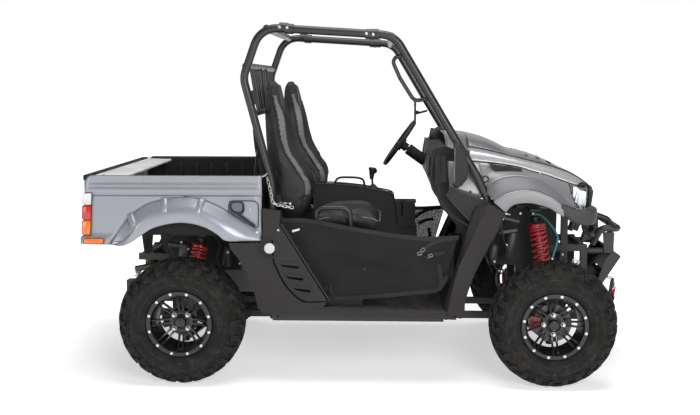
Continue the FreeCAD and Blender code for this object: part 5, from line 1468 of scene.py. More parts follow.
@dataclass
class BedSide:
    """The pressed outer skin of the cargo bed with its flare, grooves and latch."""

    sheet_y: float = 0.690
    flare_y: float = 0.730
    sheet_thick: float = 0.0022
    groove_zs: tuple[float, float] = (1.057, 1.036)
    groove_deep: float = 0.0048
    groove_half: float = 0.0052
    ledge_z: float = 1.016
    ledge_deep: float = 0.010
    front_x: float = -0.507
    columns: int = 48
    cuts: int = 8

    LIP = (
        (-1.294, 0.7385), (-1.262, 0.7350), (-1.222, 0.7370), (-1.180, 0.7540), (-1.130, 0.7880),
        (-1.060, 0.8310), (-0.956, 0.8560), (-0.878, 0.8560), (-0.801, 0.8370), (-0.735, 0.8010),
        (-0.690, 0.7660), (-0.600, 0.7645), (-0.514, 0.7645)
    )
    RIDGE = (
        (-1.228, 0.7550), (-1.200, 0.7820), (-1.133, 0.8430), (-1.080, 0.8750), (-1.028, 0.8960),
        (-0.976, 0.9060), (-0.925, 0.9090), (-0.848, 0.9040), (-0.782, 0.8760), (-0.721, 0.8400),
        (-0.645, 0.7870), (-0.570, 0.7720), (-0.514, 0.7695)
    )
    CREST = (
        (-1.291, 0.7440), (-1.256, 0.8000), (-1.215, 0.8560), (-1.162, 0.9080), (-1.093, 0.9500),
        (-1.005, 0.9760), (-0.927, 0.9860), (-0.850, 0.9820), (-0.748, 0.9460), (-0.660, 0.8970),
        (-0.590, 0.8490), (-0.540, 0.8180), (-0.516, 0.8060)
    )

    def build(self) -> None:
        """Makes both sides."""
        for side, label in NAMED_SIDES:
            self.build_sheet(side, label)
            self.build_latch(side, label)

    def depth_at(self, z: float) -> float:
        """Returns how far out the flat sheet is at a height, with its grooves and ledge."""
        y = self.sheet_y
        for middle in self.groove_zs:
            y -= self.groove_deep * math.exp(-(((z - middle) / self.groove_half) ** 4))
        if z < self.ledge_z:
            y -= self.ledge_deep * min(1.0, (self.ledge_z - z) / 0.025)
        return y

    def build_sheet(self, side: int, label: str) -> None:
        """Makes one side: a grid for the sheet, a swept flare and its ribs.

        Args:
            side: -1 for the right side, 1 for the left.
            label: the side's name.
        """
        shape = Shape()
        rows = [
            1.095, 1.0935, 1.086, 1.070, 1.0655, 1.062, 1.0595, 1.057, 1.0545, 1.052, 1.0485, 1.0445, 1.041,
            1.0385, 1.036, 1.0335, 1.031, 1.0275, 1.020, 1.0165, 1.0125, 1.010, 1.000, 0.990
        ]
        columns = [k / self.columns for k in range(self.columns + 1)]
        upper = []
        for z in rows:
            left = self.rear_edge(z)
            ring = []
            for share in columns:
                x = left + (self.front_x - left) * share
                inset = 0.004 if z > 1.094 else 0.0
                y = self.depth_at(z) - inset
                if 1.025 < z < 1.068 and (x < -1.385 or x > -0.536):
                    y = self.sheet_y
                ring.append((x, side * y, z))
            upper.append(ring)
        self.grid(shape, upper)
        crest, ridge, lip = (
            smooth_path([(x, 0, z) for x, z in row], 5) for row in (self.CREST, self.RIDGE, self.LIP)
        )
        bottom = rows[-1]
        base_y = self.depth_at(bottom)
        body_rings: list[list[Point]] = []
        count = len(crest)
        for i in range(count):
            c, r, l = crest[i], ridge[i], lip[i]
            t = i / (count - 1)
            fade = min(1.0, 6 * t, 0.30 + 3.2 * (1 - t))
            out = self.sheet_y + (self.flare_y - self.sheet_y) * fade
            body_rings.append(
                [
                    (c.x, side * (base_y - 0.0005), c.z),
                    (c.x * 0.86 + r.x * 0.14, side * (base_y + 0.006 * fade), c.z * 0.86 + r.z * 0.14),
                    (
                        c.x * 0.45 + r.x * 0.55, side * (base_y * 0.45 + out * 0.55 + 0.004 * fade),
                        c.z * 0.45 + r.z * 0.55
                    ),
                    (c.x * 0.1 + r.x * 0.9, side * (out + 0.0005), c.z * 0.1 + r.z * 0.9),
                    (r.x * 0.85 + l.x * 0.15, side * (out + 0.0018), r.z * 0.85 + l.z * 0.15),
                    (r.x * 0.4 + l.x * 0.6, side * (out + 0.001), r.z * 0.4 + l.z * 0.6),
                    (r.x * 0.06 + l.x * 0.94, side * (out - 0.0005), r.z * 0.06 + l.z * 0.94),
                    (l.x, side * (out - 0.0035), l.z), (l.x, side * (out - 0.022), l.z + 0.003)
                ]
            )
        # The flare's upper band, crest to ridge, takes mark 1, the darker copy of the bed paint: painted
        # shade on the top of the flare.
        self.grid(shape, [ring[:4] for ring in body_rings], 1)
        self.grid(shape, [ring[3:] for ring in body_rings])
        self.fill_between(shape, side, crest, bottom, base_y)
        self.ribs(shape, side)
        piece = shape.done(
            f"bed_side_{label}", Body.BED, [BED_PAINT, BED_FLARE_PAINTED_SHADE], "silver_paint", sharp=38,
            stands_for=("bed_sides",)
        )
        thicken(piece, self.sheet_thick)

    @staticmethod
    def grid(shape: Shape, rows: Sequence[Sequence[Point]], mark: int = 0) -> None:
        """Skins an open grid of points."""
        n = len(rows[0])
        faces = [
            (k * n + i, k * n + i + 1, (k + 1) * n + i + 1, (k + 1) * n + i)
            for k in range(len(rows) - 1)
            for i in range(n - 1)
        ]
        shape.add([p for row in rows for p in row], faces, mark)

    def rear_edge(self, z: float) -> float:
        """Returns the x of the sheet's rear edge at a height."""
        table = (
            (1.095, -1.388), (1.087, -1.404), (1.078, -1.412), (1.057, -1.416), (1.010, -1.421),
            (0.901, -1.428), (0.784, -1.434), (0.776, -1.449), (0.700, -1.450)
        )
        for (z1, x1), (z0, x0) in zip(table, table[1:]):
            if z >= z0:
                return x0 + (x1 - x0) * (z - z0) / (z1 - z0)
        return table[-1][1]

    def fill_between(self, shape: Shape, side: int, crest: list[Vector], top: float, y: float) -> None:
        """Fills the flat sheet between the flare's crest and the ledge.

        Args:
            shape: the side's shape.
            side: -1 for the right side, 1 for the left.
            crest: the flare's outer line.
            top: the height of the sheet's lower row.
            y: the sheet's depth.
        """
        line = [p for p in crest if p.z < top]
        high = max(crest, key=lambda p: p.z)
        rear = [p for p in line if p.x < high.x]
        fore = [p for p in line if p.x > high.x]
        n = self.cuts

        def run(x0: float, x1: float) -> list[float]:
            """Returns evenly spaced places between two."""
            return [x0 + (x1 - x0) * k / n for k in range(n + 1)]

        rows = []
        for p in rear:
            foot = max(p.z, 0.742)
            out = y + self.ledge_deep * max(0.0, min(1.0, (0.784 - foot) / 0.008))
            across = enumerate(run(self.rear_edge(foot), p.x))
            rows.append([(x, side * (out if k < n else y), foot) for k, x in across])
        rows.append([(x, side * y, top) for x in run(self.rear_edge(top), rear[-1].x + 0.012)])
        across = enumerate(run(self.rear_edge(0.740), rear[0].x))
        first = [(x, side * (y + (self.ledge_deep if k < n else 0.0)), 0.740 - 0.0005 * k) for k, x in across]
        self.grid(shape, [first] + rows)
        rows = [[(x, side * y, top) for x in run(fore[0].x - 0.012, self.front_x)]]
        for p in fore:
            rows.append([(x, side * y, p.z) for x in run(p.x, self.front_edge(p.z))])
        rows.append([(x, side * y, 0.766) for x in run(fore[-1].x, self.front_edge(0.766))])
        self.grid(shape, rows)

    @staticmethod
    def front_edge(z: float) -> float:
        """Returns the x of the sheet's front edge at a height."""
        return -0.514 + 0.007 * min(1.0, (z - 0.766) / 0.32)

    def ribs(self, shape: Shape, side: int) -> None:
        """Adds the three rounded ribs that cross the flare.

        Args:
            shape: the side's shape.
            side: -1 for the right side, 1 for the left.
        """
        for a, b in (
            ((-1.196, 0.902), (-1.158, 0.838)), ((-1.012, 0.986), (-0.999, 0.902)),
            ((-0.812, 0.984), (-0.836, 0.896))
        ):
            rings = []
            start = Vector((a[0], 0, a[1]))
            end = Vector((b[0], 0, b[1]))
            along = (end - start).normalized()
            across = along.cross(Y_AXIS)
            for t, wide, high in (
                (0.0, 0.4, 0.0), (0.05, 0.8, 0.009), (0.16, 1.0, 0.016), (0.55, 1.0, 0.019),
                (0.86, 0.95, 0.017), (0.96, 0.7, 0.010), (1.0, 0.3, 0.0)
            ):
                p = start + (end - start) * t
                y = self.sheet_y - 0.010 + (self.flare_y - self.sheet_y + 0.004) * min(1.0, t * 1.05)
                ring = []
                for k in range(9):
                    bend = math.pi * k / 8
                    off = across * (0.0185 * wide * math.cos(bend))
                    ring.append((p.x + off.x, side * (y - 0.004 + high * 0.9 * math.sin(bend)), p.z + off.z))
                rings.append(ring)
            shape.rings(rings)

    def build_latch(self, side: int, label: str) -> None:
        """Makes the recessed latch by the bed's front corner.

        Args:
            side: -1 for the right side, 1 for the left.
            label: the side's name.
        """
        y = side * (self.sheet_y + 0.0030)
        corners = [
            (-0.673, 0.966), (-0.678, 0.915), (-0.540, 0.826), (-0.526, 0.836), (-0.524, 0.953),
            (-0.545, 0.968)
        ]
        groove = Shape()
        groove.tube(
            smooth_path([(x, y, z) for x, z in self.eased(corners, 0.012)], 3, closed=True), 0.0024, 8,
            closed=True
        )
        groove.prism(
            self.eased(
                [(-0.671, 0.962), (-0.674, 0.918), (-0.640, 0.894), (-0.596, 0.905), (-0.600, 0.962)], 0.010
            ),
            y - side * 0.0035, y + side * 0.0008
        )
        groove.prism(
            [(-0.672, 0.918), (-0.640, 0.915), (-0.540, 0.842), (-0.543, 0.830)], y - side * 0.0035,
            y + side * 0.0010
        )
        groove.done(f"latch_well_{label}", Body.BED, [TRIM_PLASTIC], "black_plastic", bevel=0.0006)
        handle = Shape()
        handle.prism(
            self.eased(
                [(-0.662, 0.958), (-0.660, 0.926), (-0.636, 0.912), (-0.608, 0.914), (-0.606, 0.958)], 0.008
            ),
            y - side * 0.001, y + side * 0.009
        )
        handle.prism(
            self.eased([(-0.634, 0.960), (-0.634, 0.914), (-0.618, 0.912), (-0.616, 0.960)], 0.003), y,
            y + side * 0.0105, mark=1
        )
        handle.done(
            f"latch_handle_{label}", Body.BED, [FLARE_PLASTIC, STRAP_RED], "black_plastic", bevel=0.002,
            sharp=30
        )
        bolts = Shape()
        bolts.merge(
            button_bolt(0.0085, 0.0045),
            facing((-0.5335, side * (self.sheet_y + 0.0034), 0.806), outward(side))
        )
        bolts.merge(
            button_bolt(0.0038, 0.0020),
            facing((-0.566, side * (self.sheet_y + 0.0034), 0.925), outward(side))
        )
        bolts.done(f"latch_bolts_{label}", Body.BED, [ZINC], "steel", sharp=30)

    @staticmethod
    def eased(corners: Sequence[Row], r: float) -> list[Row]:
        """Returns a polygon with each corner cut back twice, so that it reads as round."""
        out: list[Row] = []
        n = len(corners)
        for i, p in enumerate(corners):
            for other in (corners[i - 1], corners[(i + 1) % n]):
                dx, dz = other[0] - p[0], other[1] - p[1]
                length = math.hypot(dx, dz)
                share = min(r, 0.45 * length) / length
                out.append((p[0] + dx * share, p[1] + dz * share))
        return out


@dataclass
class TailLamps:
    """The stacked corner lamps and the long side markers under them."""

    sheet_y: float = 0.690
    marker_low: Row = (-1.429, 0.7440)
    marker_high: Row = (-1.327, 0.7710)
    rim_margin: float = 0.001
    bulb_zs: tuple[float, ...] = (0.975, 0.904, 0.825)

    def build(self) -> None:
        """Makes the lamps of both sides."""
        for side, label in NAMED_SIDES:
            self.column(side, label)
            self.marker(side, label)

    def column(self, side: int, label: str) -> None:
        """Makes one stack of three lenses on its black base.

        Args:
            side: -1 for the right side, 1 for the left.
            label: the side's name.
        """
        edge = BedSide().rear_edge
        base = Shape()
        rings = []
        for z in (0.784, 0.850, 0.930, 1.006):
            x = edge(z)
            rings.append(
                [
                    (x + 0.030, side * 0.640, z), (x + 0.040, side * 0.6915, z),
                    (x + 0.002, side * 0.6915, z), (x - 0.004, side * 0.640, z)
                ]
            )
        base.rings(rings)
        base.done(
            f"lamp_base_{label}", Body.BED, [TRIM_PLASTIC], "black_plastic", bevel=0.001,
            stands_for=("tail_lamps",)
        )
        for low, high, finish, name, slot in (
            (0.944, 1.004, LAMP_WHITE, "clear", "lamp_clear"), (0.866, 0.941, LAMP_RED, "red", "lamp_red"),
            (0.787, 0.863, LAMP_AMBER, "amber", "lamp_red")
        ):
            lens = Shape()
            rows = []
            for t in (0.0, 0.03, 0.1, 0.5, 0.9, 0.97, 1.0):
                z = low + (high - low) * t
                x = edge(z)
                puff = 0.0045 * min(1.0, 4.5 * math.sin(math.pi * t)) if 0 < t < 1 else -0.001
                ring = []
                for a, b in (
                    (0.037, -0.050), (0.037, 0.001 + puff), (0.022, 0.0025 + puff),
                    (0.002 - puff * 0.3, 0.0022 + puff), (-0.006 - puff, -0.004 + puff),
                    (-0.009 - puff, -0.030), (0.002, -0.050)
                ):
                    ring.append((x + a, side * (self.sheet_y + b), z))
                rows.append(ring)
            lens.rings(rows)
            lens.done(f"tail_lens_{name}_{label}", Body.BED, [finish], slot, bevel=0.0012, sharp=40)
        glow = Shape()
        for z in self.bulb_zs:
            glow.lathe(
                [
                    (0.0005, 0.0), (0.006, 0.001), (0.013, 0.006), (0.0145, 0.010), (0.013, 0.0105),
                    (0.0005, 0.002)
                ],
                Vector((edge(z) + 0.014, side * 0.672, z)), outward(side), 20
            )
        glow.done(f"lamp_bowls_{label}", Body.BED, [CHROME], "steel", sharp=40)

    def marker(self, side: int, label: str) -> None:
        """Makes one long amber side marker.

        Args:
            side: -1 for the right side, 1 for the left.
            label: the side's name.
        """
        y = side * (self.sheet_y + 0.011)
        (x0, z0), (x1, z1) = self.marker_low, self.marker_high
        rings = []
        for out, shrink in ((-0.004, 0.0), (0.0035, 0.0), (0.006, 0.0025), (0.0068, 0.006)):
            loop = rounded_box((x0, z0), (x1, z1), 0.008, shrink)
            rings.append([(x, y + side * out, z) for x, z in loop])
        Shape().rings(rings).done(f"side_marker_{label}", Body.BED, [LAMP_AMBER], "lamp_red", sharp=50)
        m = self.rim_margin
        loop = rounded_box((x0 - m, z0 - m), (x1 + m, z1 + m), 0.009)
        frame_loop = [(x, y + side * 0.001, z) for x, z in loop]
        Shape().tube(frame_loop, 0.0022, 8, closed=True).done(
            f"marker_rim_{label}", Body.BED, [TRIM_PLASTIC], "black_plastic", sharp=60
        )


@dataclass
class BedFittings:
    """Rails, ribs, fasteners, latch lever and tie-downs of the tub."""

    half_y: float = 0.640
    top_z: float = 1.0825
    front_x: float = -0.519
    rear_x: float = -1.363
    rib_steps: tuple[Point, ...] = (
        (0.815, 0.4, 0.0), (0.828, 1.0, 0.006), (1.045, 1.0, 0.006), (1.058, 0.4, 0.0)
    )

    def build(self) -> None:
        """Makes the fittings."""
        self.rails()
        self.floor_ribs()
        self.fasteners()
        self.lever()

    def rails(self) -> None:
        """Rolls the black top rails of both sides and of the front wall."""
        shape = Shape()
        for side in SIDES:
            y = side * 0.662
            path = [
                (self.rear_x - 0.018, y, self.top_z + 0.0045), (-0.95, y, self.top_z + 0.005),
                (self.front_x + 0.004, y, self.top_z + 0.005)
            ]
            section = [
                (-0.026, -0.006), (-0.024, 0.003), (-0.014, 0.0065), (0.014, 0.0065), (0.024, 0.003),
                (0.026, -0.006)
            ]
            shape.sweep(path, section, up=Z_AXIS)
        path = [
            (self.front_x - 0.004, -0.650, self.top_z + 0.005),
            (self.front_x - 0.004, 0.650, self.top_z + 0.005)
        ]
        shape.sweep(path, [(-0.015, -0.006), (-0.013, 0.004), (0.013, 0.004), (0.015, -0.006)], up=Z_AXIS)
        shape.done("bed_rails", Body.BED, [TUB_BLACK], "black_plastic", bevel=0.0015, sharp=40)

    def floor_ribs(self) -> None:
        """Presses upright ribs into the inner walls."""
        shape = Shape()
        for side in SIDES:
            y = side * (self.half_y - 0.0062)
            for k in range(8):
                x = self.rear_x + 0.075 + 0.098 * k
                rings = []
                for z, wide, deep in self.rib_steps:
                    rings.append(
                        [
                            (x - 0.016 * wide, y + side * 0.003, z), (x - 0.010 * wide, y - side * deep, z),
                            (x + 0.010 * wide, y - side * deep, z), (x + 0.016 * wide, y + side * 0.003, z)
                        ]
                    )
                shape.rings(rings)
        for k in range(11):
            y = -0.55 + 0.11 * k
            rings = []
            for z, wide, deep in self.rib_steps:
                x = self.front_x - 0.0062
                rings.append(
                    [
                        (x + 0.003, y - 0.018 * wide, z), (x - deep, y - 0.011 * wide, z),
                        (x - deep, y + 0.011 * wide, z), (x + 0.003, y + 0.018 * wide, z)
                    ]
                )
            shape.rings(rings)
        shape.done("bed_wall_ribs", Body.BED, [TUB_BLACK], "black_plastic", bevel=0.0015, sharp=30)

    def fasteners(self) -> None:
        """Sets bolts along the rails and the tie-down loops on the floor."""
        bolts = Shape()
        for side in SIDES:
            for x in (-1.33, -1.11, -0.89, -0.67, -0.545):
                bolts.merge(
                    button_bolt(0.0060, 0.0030), facing((x, side * 0.650, self.top_z + 0.0114), (0, 0, 1))
                )
            for x in (-1.30, -0.60):
                bolts.merge(hex_bolt(0.0075, 0.0055), facing((x, side * 0.48, 0.8062), (0, 0, 1)))
        bolts.done("bed_bolts", Body.BED, [DARK_STEEL], "steel", sharp=30)
        loops = Shape()
        for side in SIDES:
            for x in (-1.31, -0.57):
                y = side * 0.585
                loops.box((x - 0.024, y - 0.014, 0.8055), (x + 0.024, y + 0.014, 0.8085))
                loops.tube(
                    [
                        (x + 0.017 * math.cos(a), y, 0.812 + 0.022 * math.sin(a))
                        for a in (math.pi * k / 12 for k in range(13))
                    ],
                    0.0035, 8
                )
        loops.done("bed_tie_downs", Body.BED, [ZINC], "steel", bevel=0.0006, sharp=30)

    def lever(self) -> None:
        """Makes the thin tilt-latch lever that stands by the bed's front wall."""
        shape = Shape()
        path = smooth_path(
            [
                (-0.552, -0.585, 1.060), (-0.550, -0.585, 1.110), (-0.545, -0.586, 1.160),
                (-0.541, -0.587, 1.205)
            ],
            6
        )
        shape.sweep(
            path, [(-0.003, -0.0065), (-0.003, 0.0065), (0.003, 0.0065), (0.003, -0.0065)],
            lambda t: 1.5 - 0.5 * t
        )
        shape.lathe(
            [
                (0.0005, 0.0), (0.008, 0.002), (0.0095, 0.010), (0.0085, 0.024), (0.0045, 0.030),
                (0.0005, 0.031)
            ],
            Vector((-0.541, -0.587, 1.196)), Vector((0.1, 0, 1)), 14, mark=1
        )
        shape.done("bed_latch_lever", Body.BED, [BLACK_COAT, BOOT_RUBBER], "black_metal", sharp=40)


@dataclass
class Tailgate:
    """The tailgate: silver outside, pale pressed inner face and a black top rail."""

    x: float = -1.422
    half_y: float = 0.633
    foot_z: float = 0.786
    top_z: float = 1.092
    thick: float = 0.034
    hinge_x: float = -1.392

    def build(self) -> None:
        """Makes the panel, its inner sheet, rail, handle and hinges."""
        h = self.thick / 2
        outer = Shape()
        rings = []
        for z, out in (
            (self.foot_z, 0.002), (self.foot_z + 0.012, 0.0), (0.90, 0.0), (0.912, 0.005), (1.010, 0.005),
            (1.022, 0.0), (self.top_z - 0.020, 0.0)
        ):
            rings.append(
                [
                    (self.x + h - 0.006, -self.half_y, z), (self.x - h + out, -self.half_y, z),
                    (self.x - h + out, self.half_y, z), (self.x + h - 0.006, self.half_y, z)
                ]
            )
        outer.rings(rings)
        outer.done(
            "tailgate_panel", Body.TAILGATE, [BED_PAINT], "silver_paint", bevel=0.002, sharp=30,
            stands_for=("tailgate",)
        )
        inner = Shape()
        rows = []
        for z, base in (
            (0.800, 0.0), (0.815, 0.0), (0.823, 0.005), (0.930, 0.005), (0.938, 0.0), (0.952, 0.0),
            (0.960, 0.005), (1.050, 0.005), (1.058, 0.0), (self.top_z - 0.019, 0.0)
        ):
            rows.append(
                [
                    (self.x + h - 0.002 - (base if abs(y) < 0.57 else 0.0), y, z)
                    for y in (-0.628, -0.60, -0.571, -0.565, -0.3, 0.0, 0.3, 0.565, 0.571, 0.60, 0.628)
                ]
            )
        BedSide.grid(inner, rows)
        sheet = inner.done("tailgate_inner_sheet", Body.TAILGATE, [RAIL_WHITE], "silver_paint", sharp=25)
        thicken(sheet, 0.003, -1.0)
        shelf = Shape()
        rings = []
        for y in (-0.618, -0.612, 0.612, 0.618):
            ease = 0.004 if abs(y) > 0.615 else 0.0
            rings.append(
                [
                    (self.x + h - 0.004, y, 1.086), (self.x + h + 0.150 - ease, y, 1.083),
                    (self.x + h + 0.158 - ease, y, 1.079), (self.x + h + 0.158 - ease, y, 1.070),
                    (self.x + h + 0.152, y, 1.070), (self.x + h + 0.150, y, 1.078),
                    (self.x + h - 0.004, y, 1.081)
                ]
            )
        shelf.rings(rings)
        shelf.done("tailgate_shelf", Body.TAILGATE, [RAIL_WHITE], "silver_paint", bevel=0.001, sharp=40)
        rail = Shape()
        section = [
            (-0.020, -0.022), (-0.021, 0.0), (-0.016, 0.0055), (0.016, 0.0055), (0.021, 0.0), (0.020, -0.022)
        ]
        rail.sweep(
            [
                (self.x, -self.half_y - 0.001, self.top_z - 0.004),
                (self.x, self.half_y + 0.001, self.top_z - 0.004)
            ],
            section, up=Z_AXIS
        )
        rail.done("tailgate_rail", Body.TAILGATE, [TUB_BLACK], "black_plastic", bevel=0.0012, sharp=40)
        self.details(h)

    def details(self, h: float) -> None:
        """Adds the handle, the hinge barrels and the fasteners.

        Args:
            h: half the gate's thickness.
        """
        handle = Shape()
        handle.box((self.x - h - 0.003, -0.075, 1.028), (self.x - h + 0.004, 0.075, 1.066))
        handle.tube(
            smooth_path(
                [
                    (self.x - h - 0.001, -0.055, 1.047), (self.x - h - 0.018, -0.045, 1.047),
                    (self.x - h - 0.020, 0.0, 1.047), (self.x - h - 0.018, 0.045, 1.047),
                    (self.x - h - 0.001, 0.055, 1.047)
                ],
                6
            ),
            0.0055, 10
        )
        handle.done("tailgate_handle", Body.TAILGATE, [TRIM_PLASTIC], "black_plastic", bevel=0.0015, sharp=40)
        bolts = Shape()
        for y in (-0.60, -0.30, 0.0, 0.30, 0.60):
            bolts.merge(button_bolt(0.0065, 0.0032), facing((self.x + h - 0.0018, y, 0.8075), (1, 0, 0)))
            bolts.merge(button_bolt(0.0065, 0.0032), facing((self.x + h - 0.0018, y, 0.945), (1, 0, 0)))
        bolts.done("tailgate_bolts", Body.TAILGATE, [ZINC], "steel", sharp=30)
        hinges = Shape()
        for y in (-0.638, -0.40, 0.40, 0.638):
            hinges.lathe(
                [(0.0100, -0.017), (0.0105, -0.015), (0.0105, 0.015), (0.0100, 0.017)],
                Vector((self.hinge_x, y * 0.995, 0.800)), Y_AXIS, 20
            )
        hinges.done("tailgate_hinges", Body.TAILGATE, [BLACK_COAT], "black_metal", sharp=30)


# ---------------------------------------------------------------- front body


def even(line: Sequence[Point], steps: int) -> list[Vector]:
    """Returns evenly spaced points along the smooth line through some points."""
    path = smooth_path(line, 6)
    reach = [0.0]
    for a, b in zip(path, path[1:]):
        reach.append(reach[-1] + (b - a).length)
    out, i = [], 0
    for k in range(steps + 1):
        at = reach[-1] * k / steps
        while i < len(path) - 2 and reach[i + 1] < at:
            i += 1
        t = (at - reach[i]) / max(reach[i + 1] - reach[i], 1e-9)
        out.append(path[i].lerp(path[i + 1], min(t, 1.0)))
    return out


def plane_line(y: float, rows: Sequence[Row]) -> list[Point]:
    """Returns (x, z) rows as points of one upright plane."""
    return [(x, y, z) for x, z in rows]


def panel(name: str, body: Body, look: "Finish", slot: str, lines: Sequence[Sequence[Point]], steps: int = 36,
          across: int = 4, both: bool = True, stands_for: Sequence[str] = ()) -> bpy.types.Object:
    """Makes a thin smooth panel through a row of lines, on both sides when asked.

    Args:
        name: the piece's name.
        body: the body that it moves with.
        look: its finish.
        slot: the record's material slot.
        lines: the lines that it runs through, one edge to the other.
        steps: faces along the lines.
        across: faces between two lines.
        both: whether the other side gets the mirrored panel too.
        stands_for: the nodes that it is shown for.

    Returns:
        The panel.
    """
    rows = [even(line, steps) for line in lines]
    columns = [smooth_path([row[k] for row in rows], across) for k in range(steps + 1)]
    count = len(columns[0])
    faces = [
        (k * count + i, (k + 1) * count + i, (k + 1) * count + i + 1, k * count + i + 1)
        for k in range(steps)
        for i in range(count - 1)
    ]
    shape = Shape()
    for side in LEFT_FIRST if both else LEFT_FIRST[:1]:
        shape.add(
            [(p.x, p.y * side, p.z) for column in columns for p in column],
            faces if side > 0 else [f[::-1] for f in faces]
        )
    piece = shape.done(name, body, [look], slot, sharp=50, stands_for=stands_for)
    thicken(piece, PANEL_THICK)
    return piece


